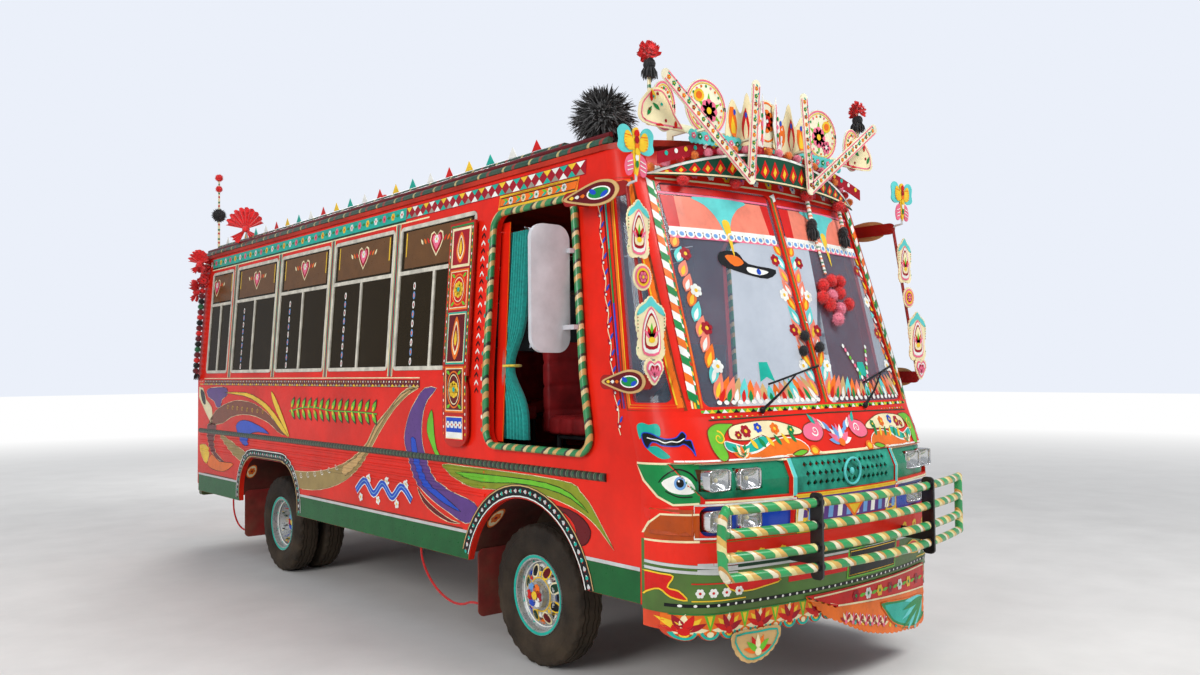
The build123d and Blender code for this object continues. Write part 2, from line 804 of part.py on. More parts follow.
# Boards hanging on the rods: middle height, width, height
hanging_rows = ((2290, 155, 290), (2060, 120, 130), (1820, 200, 310), (1620, 130, 140))
board_plate_t = 8
with BuildPart() as hanging_boards:
    for side in (-1, 1):
        for z, w, h in hanging_rows:
            rod_y = arm_low[1] + (arm_top[1] - arm_low[1]) * (z - arm_low[2]) / (arm_top[2] - arm_low[2])
            slope = (arm_top[1] - arm_low[1]) / (arm_top[2] - arm_low[2])
            reach = rod_d / 2 + h / 2 * slope + 4
            with BuildSketch(facing_y(behind(rod_y - reach))):
                with Locations((side * rod_x, z)):
                    Ellipse(w / 2, h / 2)
            extrude(amount=board_plate_t)
            with BuildSketch(facing_y(behind(rod_y - rod_d / 2 - seat_gap - 4 * slope))):
                with Locations((side * rod_x, z)):
                    Rectangle(16, 8)
            extrude(amount=reach - rod_d / 2 - seat_gap - 4 * slope)
        wing_y = behind(arm_top[1] - 60)
        with BuildSketch(facing_y(wing_y)):
            with Locations((side * (rod_x - 55), 2690), (side * (rod_x + 55), 2690)):
                Ellipse(60, 85)
            with Locations((side * (rod_x - 35), 2600), (side * (rod_x + 35), 2600)):
                Ellipse(32, 55)
            with Locations((side * rod_x, 2640)):
                Ellipse(32, 115)
        extrude(amount=board_plate_t)
        with BuildSketch(facing_y(behind(arm_top[1] - 11 - seat_gap))):
            with Locations((side * rod_x, 2517)):
                Rectangle(12, 55)
        extrude(amount=60 - 11 - seat_gap)
save(hanging_boards.part, "hanging_boards")

# Flat mirrors on the doorway's front tubes
mirror_size = (250, 660, 25)
mirror_z = 2050
with BuildPart() as door_mirrors:
    for side in (-1, 1):
        inner_x = half_w(mirror_z) + tube_d + 2 * seat_gap + 20
        with BuildSketch(facing_y(behind(-405))):
            with Locations((side * (inner_x + mirror_size[0] / 2 - 22), mirror_z)):
                RectangleRounded(mirror_size[0], mirror_size[1], 80)
        extrude(amount=mirror_size[2])
        for z in (mirror_z - 200, mirror_z + 200):
            share = (doorway[2][1] - z) / (doorway[2][1] - doorway[3][1])
            tube_y = doorway[2][0] + (doorway[3][0] - doorway[2][0]) * share
            clip_x = half_w(z - 12) + tube_d + 2 * seat_gap
            with BuildSketch(facing_y(behind(-405))):
                with Locations((side * (clip_x + 15), z)):
                    Rectangle(30, 24)
            extrude(amount=-405 - tube_y + 10)
save(door_mirrors.part, "door_mirrors")

# Floor deck on cross bearers
bearer_rows = (-700, 700, 1300, 1900, 2500, 3000, 4340, 4760, 5250)
deck_in = body_w / 2 - wall_t
with BuildPart() as floor_deck:
    deck_front = behind(-850)
    deck_back = tail_y - rear_wall_t
    with BuildSketch(Plane((0, 0, rail_z + rail_h))):
        for y in bearer_rows:
            with Locations((0, behind(y))):
                Rectangle(1880, 60)
        with Locations((0, behind(-450))):
            Rectangle(600, 1000, mode=Mode.SUBTRACT)
    extrude(amount=deck_top_z - deck_t - rail_z - rail_h)
    with BuildSketch(Plane((0, (deck_front + deck_back) / 2, deck_top_z - deck_t))):
        Rectangle(2 * deck_in, deck_back - deck_front)
    extrude(amount=deck_t)
    with BuildSketch(Plane((0, 0, rail_z + rail_h))):
        with Locations((deck_in - 140, behind(sum(entry) / 2))):
            Rectangle(280.01, entry[1] - entry[0] - 20)
    extrude(amount=600, mode=Mode.SUBTRACT)
save(floor_deck.part, "floor_deck")

# Chassis: two channel rails and cross members
rail_front = -1250
rail_back = 5260
cross_rows = (-1180, 680, 1900, 3000, 4200, 5200)
with BuildPart() as chassis_frame:
    for side in (-1, 1):
        with BuildSketch(facing_y(behind(rail_back))):
            with Locations((side * (rail_x - rail_w / 2), rail_z + rail_h / 2)):
                Rectangle(rail_w, rail_h)
            with Locations((side * (rail_x - rail_w / 2 - rail_t / 2), rail_z + rail_h / 2)):
                Rectangle(rail_w - rail_t + 0.01, rail_h - 2 * rail_t, mode=Mode.SUBTRACT)
        extrude(amount=rail_back - rail_front)
    with BuildSketch(facing_x(-rail_x + rail_t)):
        for y in cross_rows:
            with Locations((behind(y), rail_z + rail_h / 2)):
                Rectangle(50, rail_h - 2 * rail_t)
    extrude(amount=2 * (rail_x - rail_t))
    front_inner = behind(-front_face(bumper_rows, 640, rail_x) + 36)
    with BuildSketch(facing_y(behind(rail_front))):
        with Locations((-rail_x + rail_w / 2, 640), (rail_x - rail_w / 2, 640)):
            Rectangle(rail_w, 120)
    extrude(amount=behind(rail_front) - front_inner)
save(chassis_frame.part, "chassis_frame")

# Rear bumper on the rails' ends
with BuildPart() as rear_bumper:
    bumper_back = rear_axle_y + rear_overhang
    with BuildSketch(facing_y(bumper_back)):
        with Locations((0, 510)):
            RectangleRounded(2000, 110, 20)
    extrude(amount=70)
    with BuildSketch(facing_y(bumper_back - 70)):
        with Locations((-rail_x + rail_w / 2, rail_z - 20), (rail_x - rail_w / 2, rail_z - 20)):
            Rectangle(rail_w, 40)
    extrude(amount=bumper_back - 70 - behind(rail_back) + 120)
save(rear_bumper.part, "rear_bumper")

# Rear ladder up to the rack
ladder_x = (560, 880)
ladder_d = 30
ladder_y = tail_y + 60
ladder_z = (640, 2850)
rung_pitch = 290
with BuildPart() as rear_ladder:
    with BuildSketch(Plane.XY.offset(ladder_z[0])):
        with Locations((ladder_x[0], ladder_y), (ladder_x[1], ladder_y)):
            Circle(ladder_d / 2)
    extrude(amount=ladder_z[1] - ladder_z[0])
    with BuildSketch(facing_x(ladder_x[0])):
        for i in range(int((ladder_z[1] - ladder_z[0] - 80) / rung_pitch) + 1):
            with Locations((ladder_y, ladder_z[0] + 60 + rung_pitch * i)):
                Circle(ladder_d / 2 - 3)
    extrude(amount=ladder_x[1] - ladder_x[0])
    with BuildSketch(facing_y(ladder_y)):
        for x in ladder_x:
            for z in (760, 1500, 2500):
                with Locations((x, z)):
                    Circle(ladder_d / 2 - 4)
    extrude(amount=ladder_y - tail_y)
save(rear_ladder.part, "rear_ladder")

# Garland at the right rear corner
garland_r = 38
garland_z = (1620, 2740)
with BuildPart() as corner_garland:
    with BuildLine() as garland_line:
        Line(*[(-half_w(z) - garland_r - 0.4, tail_y - 60, z) for z in garland_z])
    with BuildSketch(Plane(origin=garland_line.line @ 0, z_dir=garland_line.line % 0)):
        Circle(garland_r)
    extrude(amount=garland_z[1] - garland_z[0])
save(corner_garland.part, "corner_garland")

# Arch liners and mud flaps
liner_t = 5
liner_x = (620, body_w / 2 - wall_t)
flap_t = 8
with BuildPart() as arch_liners:
    for side in (-1, 1):
        with BuildSketch(facing_x(side * liner_x[0])):
            with Locations((behind(arch_shift), arch_z)):
                Circle(arch_r)
                Circle(arch_r - liner_t, mode=Mode.SUBTRACT)
            with Locations((behind(arch_shift), 0)):
                Rectangle(2 * arch_r + 100, 2 * 560, mode=Mode.SUBTRACT)
        extrude(amount=side * (liner_x[1] - liner_x[0]))
        with BuildSketch(facing_x(side * 560)):
            with Locations((rear_axle_y + rear_arch_y, skirt_z)):
                RectangleRounded(rear_arch_w, 2 * (rear_arch_top - skirt_z), rear_arch_radius)
                RectangleRounded(
                    rear_arch_w - 2 * liner_t,
                    2 * (rear_arch_top - skirt_z) - 2 * liner_t,
                    rear_arch_radius - liner_t,
                    mode=Mode.SUBTRACT,
                )
            with Locations((rear_axle_y + rear_arch_y, 280)):
                Rectangle(rear_arch_w + 100, 560, mode=Mode.SUBTRACT)
        extrude(amount=side * (liner_x[1] - 560))
save(arch_liners.part, "arch_liners")

# Flaps hang behind each wheel from the liners
flap_tops = (575, 600)
flap_lows = (175, 190)
flap_x = (700, 1005)
flap_seats = (
    arch_shift + sqrt((arch_r - liner_t) ** 2 - (flap_tops[0] - arch_z) ** 2) - seat_gap,
    wheelbase + rear_arch_y + rear_arch_w / 2 - liner_t - 2 * seat_gap,
)
with BuildPart() as mud_flaps:
    for back, low, high in zip(flap_seats, flap_lows, flap_tops):
        for side in (-1, 1):
            with BuildSketch(facing_y(behind(back))):
                with Locations((side * sum(flap_x) / 2, (low + high) / 2)):
                    RectangleRounded(flap_x[1] - flap_x[0], high - low, 40)
            extrude(amount=flap_t)
save(mud_flaps.part, "mud_flaps")

# Power train: engine block, gearbox and propeller shaft
shaft_z = 500
with BuildPart() as power_train:
    with BuildSketch(Plane((0, behind(-450), 560))):
        Rectangle(520, 900)
    extrude(amount=370)
    with BuildSketch(Plane((0, behind(-450), rail_z + rail_t + seat_gap))):
        Rectangle(2 * (rail_x - rail_t - 4), 90)
    extrude(amount=60)
    with BuildSketch(facing_y(behind(0))):
        with Locations((0, 620)):
            Rectangle(340, 300)
    with BuildSketch(facing_y(behind(600))):
        with Locations((0, 560)):
            Rectangle(200, 180)
    loft()
    with BuildSketch(facing_y(behind(wheelbase - 170))):
        with Locations((0, shaft_z)):
            Circle(40)
    extrude(amount=wheelbase - 170 - 600)
save(power_train.part, "power_train")

# Exhaust under the left rail's inner side
with BuildPart() as exhaust:
    with BuildSketch(facing_y(behind(5300))):
        with Locations((250, 470)):
            Circle(28)
    extrude(amount=5300 - 100)
    with BuildSketch(facing_y(behind(2750))):
        with Locations((250, 470)):
            Circle(95)
    extrude(amount=700)
    with BuildSketch(facing_x(250)):
        for y in (900, 2250, 4600):
            with Locations((behind(y), 505)):
                Rectangle(24, 70)
    extrude(amount=rail_x - rail_w / 2 - 250)
save(exhaust.part, "exhaust")

# Fuel tank on the right rail
tank = (430, 700, 200)
with BuildPart() as fuel_tank:
    with BuildSketch(facing_y(behind(2450))):
        with Locations((-rail_x - 20 - tank[0] / 2, rail_z + 60)):
            RectangleRounded(tank[0], tank[2], 50)
    extrude(amount=tank[1])
    with BuildSketch(facing_x(-rail_x)):
        with Locations((behind(1900), rail_z + 60), (behind(2300), rail_z + 60)):
            Rectangle(50, 120)
    extrude(amount=-30)
save(fuel_tank.part, "fuel_tank")


# Axles with their leaf springs

def leaf_pack(axle_y, side, seat_z, end_z, half):
    """One pack of leaves in side view: long leaves above short ones, with hangers up to the rail."""
    leaf_t = 11
    with BuildPart() as pack:
        for i in range(4):
            reach = half - i * half * 0.2
            rise = (end_z - seat_z) * (reach / half) ** 2
            top = seat_z + 44 - i * leaf_t
            with BuildSketch(facing_x(side * (rail_x - rail_w / 2) - spring_w / 2)):
                with BuildLine():
                    ThreePointArc((axle_y - reach, top + rise), (axle_y, top), (axle_y + reach, top + rise))
                    Line((axle_y + reach, top + rise), (axle_y + reach, top + rise - leaf_t))
                    ThreePointArc(
                        (axle_y + reach, top + rise - leaf_t),
                        (axle_y, top - leaf_t),
                        (axle_y - reach, top + rise - leaf_t),
                    )
                    Line((axle_y - reach, top + rise - leaf_t), (axle_y - reach, top + rise))
                make_face()
            extrude(amount=spring_w)
        with BuildSketch(facing_x(side * (rail_x - rail_w / 2) - spring_w / 2)):
            for way in (-1, 1):
                with Locations((axle_y + way * (half - 20), (end_z + 20 + rail_z) / 2)):
                    Rectangle(44, rail_z - end_z - 20)
        extrude(amount=spring_w)
    return pack.part


beam_z = 370
eye_h = 70
pin_r = 14
with BuildPart() as front_axle:
    with BuildSketch(facing_x(-kingpin_x + 40)):
        with Locations((front_axle_y, beam_z)):
            Rectangle(70, 70)
            with Locations((-24, 0), (24, 0)):
                Rectangle(24, 44, mode=Mode.SUBTRACT)
    extrude(amount=2 * kingpin_x - 80)
    for side in (-1, 1):
        with BuildSketch(Plane.XY.offset(beam_z - eye_h / 2)):
            with Locations((side * kingpin_x, front_axle_y)):
                Circle(38)
                Circle(pin_r + seat_gap, mode=Mode.SUBTRACT)
            with Locations((side * (kingpin_x - 50), front_axle_y)):
                Rectangle(60, 60)
            with Locations((side * kingpin_x, front_axle_y)):
                Circle(pin_r + seat_gap, mode=Mode.SUBTRACT)
        extrude(amount=eye_h)
        add(leaf_pack(front_axle_y, side, beam_z + 35, rail_z - 60, 620))
save(front_axle.part, "front_axle")

axle_tube_r = 52
with BuildPart() as rear_axle:
    with BuildSketch(facing_x(-600)):
        with Locations((rear_axle_y, tyre_r)):
            Circle(axle_tube_r)
    extrude(amount=1200)
    with BuildSketch(facing_x(-90)):
        with Locations((rear_axle_y, tyre_r)):
            Circle(165)
    extrude(amount=180)
    with BuildSketch(facing_y(rear_axle_y)):
        with Locations((0, tyre_r + 40)):
            Circle(80)
    extrude(amount=168)
    with BuildSketch(facing_x(-700)):
        with Locations((rear_axle_y, tyre_r)):
            Circle(38)
    extrude(amount=1400)
    for side in (-1, 1):
        add(leaf_pack(rear_axle_y, side, tyre_r + axle_tube_r - 2, rail_z - 60, 640))
save(rear_axle.part, "rear_axle")

# Steering knuckles: a yoke over and under the beam's eye, the pin through it, a spindle and a back plate
spindle_r = 26
plate_x = kingpin_x + 52
for name, side in (("right", -1), ("left", 1)):
    with BuildPart() as knuckle:
        for z in (beam_z - eye_h / 2 - 2 - 24, beam_z + eye_h / 2 + 2):
            with BuildSketch(Plane.XY.offset(z)):
                with Locations((side * kingpin_x, front_axle_y)):
                    Circle(34)
                with Locations((side * (kingpin_x + 26), front_axle_y)):
                    Rectangle(52, 56)
            extrude(amount=24)
        with BuildSketch(Plane.XY.offset(beam_z - eye_h / 2 - 20)):
            with Locations((side * kingpin_x, front_axle_y)):
                Circle(pin_r)
        extrude(amount=eye_h + 40)
        with BuildSketch(facing_x(side * (kingpin_x + 42))):
            with Locations((front_axle_y, beam_z)):
                Circle(95)
        extrude(amount=side * 10)
        with BuildSketch(facing_x(side * plate_x)):
            with Locations((front_axle_y, tyre_r)):
                Circle(spindle_r)
        extrude(amount=side * 60)
    save(knuckle.part, f"knuckle_{name}")


def tyre_ring(x, y):
    """Solid tyre about an axle at X and Y, in flat facets, one of them on the ground."""
    outline = (         # distance along the axle, radius to the flats
        (-bead_half, rim_r + 20),
        (-tyre_w / 2, tyre_r - 92),
        (-tread_half, tyre_r),
        (tread_half, tyre_r),
        (tyre_w / 2, tyre_r - 92),
        (bead_half, rim_r + 20),
        (bead_half, rim_r + seat_gap),
        (-bead_half, rim_r + seat_gap),
    )
    half_turn = 180 / tyre_facets
    rings = []
    for i in range(tyre_facets):
        angle = radians((2 * i + 1) * half_turn)
        ring = []
        for out, flat_r in outline:
            r = flat_r / cos(radians(half_turn))
            ring.append(Vector(x + out, y + r * sin(angle), tyre_r + r * cos(angle)))
        rings.append(ring)
    faces = []
    for ring, following in zip(rings, rings[1:] + rings[:1]):
        for j in range(len(outline)):
            k = (j + 1) % len(outline)
            facet = Wire.make_polygon([ring[j], ring[k], following[k], following[j]])
            faces.append(Face(facet))
    return Solid(Shell(faces))


def wheel_rim(x, y, side, disc, hub, holes):
    """Rim with its disc and hub: disc and hub are distances outwards from the tyre's middle."""
    shell = 8
    with BuildPart() as rim:
        with BuildSketch(Plane(origin=(0, y, tyre_r), x_dir=(1, 0, 0), z_dir=(0, -1, 0))):
            with BuildLine():
                Polyline(
                    (x - 76, rim_r + 17),
                    (x - 68, rim_r + 17),
                    (x - 66, rim_r),
                    (x - 62 + 20, rim_r),
                    (x - 30, rim_r - 20),
                    (x + 30, rim_r - 20),
                    (x + 42, rim_r),
                    (x + 66, rim_r),
                    (x + 68, rim_r + 17),
                    (x + 76, rim_r + 17),
                    (x + 72, rim_r - shell),
                    (x + 38, rim_r - shell),
                    (x + 26, rim_r - 20 - shell),
                    (x - 26, rim_r - 20 - shell),
                    (x - 38, rim_r - shell),
                    (x - 72, rim_r - shell),
                    (x - 76, rim_r + 17),
                )
            make_face()
        revolve(axis=Axis((0, y, tyre_r), (1, 0, 0)))
        disc_x = x + side * disc
        well = rim_r - 20 - shell
        rise = 0 if disc > 0 else 12
        with BuildSketch(Plane(origin=(0, y, tyre_r), x_dir=(1, 0, 0), z_dir=(0, -1, 0))):
            with BuildLine():
                Polyline(
                    (disc_x, 70),
                    (disc_x, 118 - rise),
                    (x + side * 24, well + 2 - rise),
                    (x + side * 12, well + 2),
                    (disc_x - side * 10, 112 + rise / 2),
                    (disc_x - side * 10, 70),
                    (disc_x, 70),
                )
            make_face()
        revolve(axis=Axis((0, y, tyre_r), (1, 0, 0)))
        with BuildSketch(facing_x(disc_x - side * 60)):
            with Locations((y, tyre_r)):
                with PolarLocations(143, holes):
                    SlotOverall(46, 30, rotation=90)
        extrude(amount=side * 120, mode=Mode.SUBTRACT)
        with BuildSketch(facing_x(disc_x - side * 12)):
            with Locations((y, tyre_r)):
                Circle(74)
        extrude(amount=side * (hub + 12))
    return rim.part


for name, side in (("right", -1), ("left", 1)):
    front_rim = wheel_rim(side * front_tyre_x, front_axle_y, side, 52, 40, 8)
    with BuildPart() as rim_front:
        add(front_rim)
        with BuildSketch(facing_x(side * (plate_x + 12))):
            with Locations((front_axle_y, tyre_r)):
                Circle(160)
                Circle(150, mode=Mode.SUBTRACT)
        extrude(amount=side * 46)
        with BuildSketch(facing_x(side * (plate_x + 58))):
            with Locations((front_axle_y, tyre_r)):
                Circle(160)
        extrude(amount=side * 8)
        with BuildSketch(facing_x(side * (plate_x + 30))):
            with Locations((front_axle_y, tyre_r)):
                Circle(60)
        extrude(amount=side * (front_tyre_x + 42 - plate_x - 30))
        with BuildSketch(facing_x(side * (plate_x + 20))):
            with Locations((front_axle_y, tyre_r)):
                Circle(spindle_r + seat_gap)
        extrude(amount=side * 41, mode=Mode.SUBTRACT)
    save(rim_front.part, f"rim_front_{name}")
    save(tyre_ring(side * front_tyre_x, front_axle_y), f"tyre_front_{name}")
    outer_x = twin_outer_x
    inner_x = twin_outer_x - twin_pitch
    with BuildPart() as rims_rear:
        add(wheel_rim(side * outer_x, rear_axle_y, side, -twin_pitch / 2 + 10, 90, 8))
        add(wheel_rim(side * inner_x, rear_axle_y, -side, -twin_pitch / 2 + 10, 20, 8))
        with BuildSketch(facing_x(side * 612)):
            with Locations((rear_axle_y, tyre_r)):
                Circle(165)
        extrude(amount=side * 150)
        with BuildSketch(facing_x(side * 600)):
            with Locations((rear_axle_y, tyre_r)):
                Circle(38 + seat_gap)
        extrude(amount=side * 101, mode=Mode.SUBTRACT)
    save(rims_rear.part, f"rims_rear_{name}")
    with BuildPart() as tyres_rear:
        add(tyre_ring(side * outer_x, rear_axle_y))
        add(tyre_ring(side * inner_x, rear_axle_y))
    save(tyres_rear.part, f"tyres_rear_{name}")

# Passenger door on the left, hinged at its front edge, with the wall's bend at the sill
door_y = (entry[0] + door_gap, entry[1] - door_gap)
door_z = (skirt_z + 10, entry_top_z - door_gap)
door_window = (110, 110, 1640, 2440)
hinge_x = body_w / 2 + 12
hinge_y = behind(entry[0] + door_gap / 2)
hinge_r = 9
hinge_pin_r = 4
hinge_zs = (690, 1470)
hinge_leaf = (4, 66)
hinge_rows = ((0, 30), (70, 100))       # the wall's barrels, the door's barrel fills the gap between them
with BuildPart() as door_hinges:
    for z in hinge_zs:
        for low, high in hinge_rows:
            with BuildSketch(Plane.XY.offset(z + low)):
                with Locations((hinge_x, hinge_y)):
                    Circle(hinge_r)
                with Locations((body_w / 2 + hinge_leaf[0] / 2, hinge_y - hinge_leaf[1] / 2)):
                    Rectangle(hinge_leaf[0], hinge_leaf[1])
                with Locations((body_w / 2 + 6, hinge_y - 8)):
                    Rectangle(12, 8)
            extrude(amount=high - low)
        with BuildSketch(Plane.XY.offset(z)):
            with Locations((hinge_x, hinge_y)):
                Circle(hinge_pin_r)
        extrude(amount=hinge_rows[1][1])
save(door_hinges.part, "door_hinges")

with BuildPart() as passenger_door:
    add(wall_band(1, 0, door_t, door_z[0], door_z[1]))
    with BuildSketch(facing_x(0)):
        with Locations((behind(sum(door_y) / 2), sum(door_z) / 2)):
            Rectangle(door_y[1] - door_y[0], door_z[1] - door_z[0])
        with Locations((behind(sum(door_y) / 2), (door_window[2] + door_window[3]) / 2)):
            RectangleRounded(
                door_y[1] - door_y[0] - door_window[0] - door_window[1],
                door_window[3] - door_window[2],
                window_radius,
                mode=Mode.SUBTRACT,
            )
    extrude(amount=2 * body_w, mode=Mode.INTERSECT)
    for z in hinge_zs:
        with BuildSketch(Plane.XY.offset(z + hinge_rows[0][1] + seat_gap)):
            with Locations((hinge_x, hinge_y)):
                Circle(hinge_r)
            with Locations((body_w / 2 + hinge_leaf[0] / 2, hinge_y + hinge_leaf[1] / 2 + 4)):
                Rectangle(hinge_leaf[0], hinge_leaf[1])
            with Locations((body_w / 2 + 6, hinge_y + 8)):
                Rectangle(12, 8)
            with Locations((hinge_x, hinge_y)):
                Circle(hinge_pin_r + seat_gap, mode=Mode.SUBTRACT)
        extrude(amount=hinge_rows[1][0] - hinge_rows[0][1] - 2 * seat_gap)
save(passenger_door.part, "passenger_door")

with BuildPart() as door_glass:
    mid_z = (door_window[2] + door_window[3]) / 2
    with BuildSketch(leaning(1, behind(sum(door_y) / 2), mid_z, -door_t / 2)):
        RectangleRounded(
            door_y[1] - door_y[0] - door_window[0] - door_window[1] - 2 * seat_gap,
            (door_window[3] - door_window[2]) / cos(radians(tumblehome)) - 4,
            window_radius,
        )
    extrude(amount=glass_t)
save(door_glass.part, "door_glass")

# Seats: driver's seat on the right and benches in rows
seat_rows = [1150 + 800 * i for i in range(5)]
with BuildPart() as seats:
    for y in seat_rows:
        for x, w in ((-600, 760), (620, 700)):
            if x > 0 and y < 1500:
                continue
            with BuildSketch(Plane((x, behind(y), deck_top_z))):
                Rectangle(w - 120, 320)
            extrude(amount=300)
            with BuildSketch(Plane((x, behind(y), deck_top_z + 300))):
                Rectangle(w, 430)
            extrude(amount=110)
            with BuildSketch(Plane((x, behind(y + 210), deck_top_z + 300))):
                Rectangle(w, 80)
            extrude(amount=520)
    for x in (-560, 560):
        with BuildSketch(Plane((x, behind(-60), deck_top_z))):
            Rectangle(340, 340)
        extrude(amount=260)
        with BuildSketch(Plane((x, behind(-60), deck_top_z + 260))):
            Rectangle(460, 460)
        extrude(amount=110)
        with BuildSketch(Plane((x, behind(170), deck_top_z + 260))):
            Rectangle(460, 90)
        extrude(amount=560)
save(seats.part, "seats")

# Dashboard with the steering wheel on the right
wheel_tilt = 38
with BuildPart() as dashboard:
    with BuildSketch(facing_x(-940)):
        with BuildLine():
            Polyline(
                (behind(-1080), 1180),
                (behind(-1080), 1390),
                (behind(-860), 1400),
                (behind(-760), 1340),
                (behind(-820), 1180),
                (behind(-1080), 1180),
            )
        make_face()
    extrude(amount=1880)
    with BuildSketch(facing_x(-deck_in + seat_gap)):
        with Locations((behind(-790), 1270)):
            Rectangle(30, 40)
    extrude(amount=2 * (deck_in - seat_gap))
    column_base = Vector(-560, behind(-800), 1330)
    column_dir = Vector(0, sin(radians(90 - wheel_tilt)), cos(radians(90 - wheel_tilt)))
    with BuildSketch(Plane(origin=column_base, z_dir=column_dir)):
        Circle(22)
    extrude(amount=260)
    with BuildSketch(Plane(origin=column_base + column_dir * 250, z_dir=column_dir)):
        Circle(215)
        Circle(190, mode=Mode.SUBTRACT)
        Rectangle(400, 30)
        Circle(45)
    extrude(amount=24)
save(dashboard.part, "dashboard")

# Slack cords from under the skirt to the mud flaps' rear faces on the right side: x, behind, height
cord_d = 15
cord_routes = {
    "cord_front": (
        (-1030, 1150, skirt_z - seat_gap),
        (-1030, 1150, 462),
        (-1028, 1112, 390),
        (-1024, 1050, 322),
        (-1018, 970, 266),
        (-1010, 880, 228),
        (-1002, 790, 210),
        (-994, 705, 218),
        (-990, 625, 250),
        (-990, flap_seats[0] + seat_gap, 250),
    ),
    "cord_rear": (
        (-1030, 4482, skirt_z - seat_gap),
        (-1030, 4482, 450),
        (-1027, 4466, 380),
        (-1019, 4432, 318),
        (-1008, 4384, 272),
        (-996, 4328, 250),
        (-996, flap_seats[1] + seat_gap, 250),
    ),
}
for name, route in cord_routes.items():
    points = [Vector(x, behind(y), z) for x, y, z in route]
    radii = []
    for before, here, after in zip(points, points[1:], points[2:]):
        turn = (here - before).get_angle(after - here)
        shorter = min((here - before).length, (after - here).length)
        radii.append(0.45 * shorter / tan(radians(turn / 2)))
    print(name, "radii", [round(r) for r in radii])
    with BuildPart() as cord:
        with BuildLine() as cord_line:
            FilletPolyline(*points, radius=radii)
        with BuildSketch(Plane(origin=cord_line.line @ 0, z_dir=cord_line.line % 0)):
            Circle(cord_d / 2)
        sweep(path=cord_line.line)
    length = sum(edge.length for edge in cord_line.edges())
    print(name, "length", round(length), "volume share", cord.part.volume / (pi * (cord_d / 2) ** 2 * length))
    save(cord.part, name)
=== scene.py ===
import bpy
import bmesh
import random
from math import cos, exp, pi, radians, sin, sqrt, tan
from mathutils import Matrix, Vector
from mathutils.bvhtree import BVHTree
from mathutils.geometry import tessellate_polygon


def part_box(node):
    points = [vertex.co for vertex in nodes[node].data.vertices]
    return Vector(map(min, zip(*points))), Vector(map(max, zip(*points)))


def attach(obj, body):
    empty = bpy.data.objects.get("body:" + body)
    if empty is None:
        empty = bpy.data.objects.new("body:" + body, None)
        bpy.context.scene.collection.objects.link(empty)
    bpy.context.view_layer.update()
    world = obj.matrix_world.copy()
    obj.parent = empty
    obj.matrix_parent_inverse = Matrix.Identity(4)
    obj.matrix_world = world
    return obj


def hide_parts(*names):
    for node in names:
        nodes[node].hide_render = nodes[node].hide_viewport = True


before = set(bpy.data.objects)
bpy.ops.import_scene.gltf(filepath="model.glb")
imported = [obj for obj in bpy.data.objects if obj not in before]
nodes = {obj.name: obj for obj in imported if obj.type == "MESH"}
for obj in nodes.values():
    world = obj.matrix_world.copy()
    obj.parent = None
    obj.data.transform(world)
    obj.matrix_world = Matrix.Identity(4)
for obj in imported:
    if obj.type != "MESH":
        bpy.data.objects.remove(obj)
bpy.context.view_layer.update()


rng = random.Random(7)
scene = bpy.context.scene

# Camera at the photograph's place: metres in the frame of the part
yaw, pitch, roll = radians(40.4058), radians(2.0429), radians(-0.5513)
cam_place = Vector((-4.2066, -6.3166, 1.6181))
focal_pixels, photo_width, sensor = 971.04, 1200, 36
cam_data = bpy.data.cameras.new("camera")
cam_data.sensor_width = sensor
cam_data.lens = focal_pixels / photo_width * sensor
cam = bpy.data.objects.new("camera", cam_data)
scene.collection.objects.link(cam)
look = Vector((sin(yaw) * cos(pitch), cos(yaw) * cos(pitch), sin(pitch)))
right = Vector((cos(yaw), -sin(yaw), 0))
up = right.cross(look)
right_r = right * cos(roll) + up * sin(roll)
up_r = up * cos(roll) - right * sin(roll)
cam.matrix_world = Matrix((
    (right_r.x, up_r.x, -look.x, cam_place.x),
    (right_r.y, up_r.y, -look.y, cam_place.y),
    (right_r.z, up_r.z, -look.z, cam_place.z),
    (0, 0, 0, 1),
))
scene.camera = cam

# Main sizes in metres; the sides lean inwards above the sill
front_axle_y, rear_axle_y = -1.95, 1.585
wheel_radius = 0.388
body_half_width, sill_z, side_lean = 1.0515, 1.61, tan(radians(4.15))
arm_x = 1.12
# Window bays in millimetres behind the front axle: start of the first and length of each
bay_start, bay_length = 515, 1009


def at(y):
    """Place on Y, in metres, of a distance in millimetres behind the front axle."""
    return front_axle_y + y / 1000


def half_w(z):
    """Half the body's width at a height, metres."""
    return body_half_width - max(0, z - sill_z) * side_lean


# Slack cords on the vehicle's right side, metres
cord_routes = {
    "slack_cord_front": (
        (-1.030, at(1150), 0.5137),
        (-1.030, at(1150), 0.462),
        (-1.028, at(1112), 0.390),
        (-1.024, at(1050), 0.322),
        (-1.018, at(970), 0.266),
        (-1.010, at(880), 0.228),
        (-1.002, at(790), 0.210),
        (-0.994, at(705), 0.218),
        (-0.990, at(625), 0.250),
        (-0.990, at(533.8), 0.250),
    ),
    "slack_cord_rear": (
        (-1.030, at(4482), 0.5137),
        (-1.030, at(4482), 0.450),
        (-1.027, at(4466), 0.380),
        (-1.019, at(4432), 0.318),
        (-1.008, at(4384), 0.272),
        (-0.996, at(4328), 0.250),
        (-0.996, at(4274.7), 0.250),
    ),
}


# Materials

def lin(c):
    """A colour written as 0-255 in screen values, as the shader's linear value."""
    out = []
    for v in c[:3]:
        v = v / 255
        out.append(v / 12.92 if v <= 0.04045 else ((v + 0.055) / 1.055) ** 2.4)
    return (*out, 1.0)


def shade(c, k):
    """A lighter or darker colour."""
    return tuple(max(0, min(255, v * k)) for v in c)


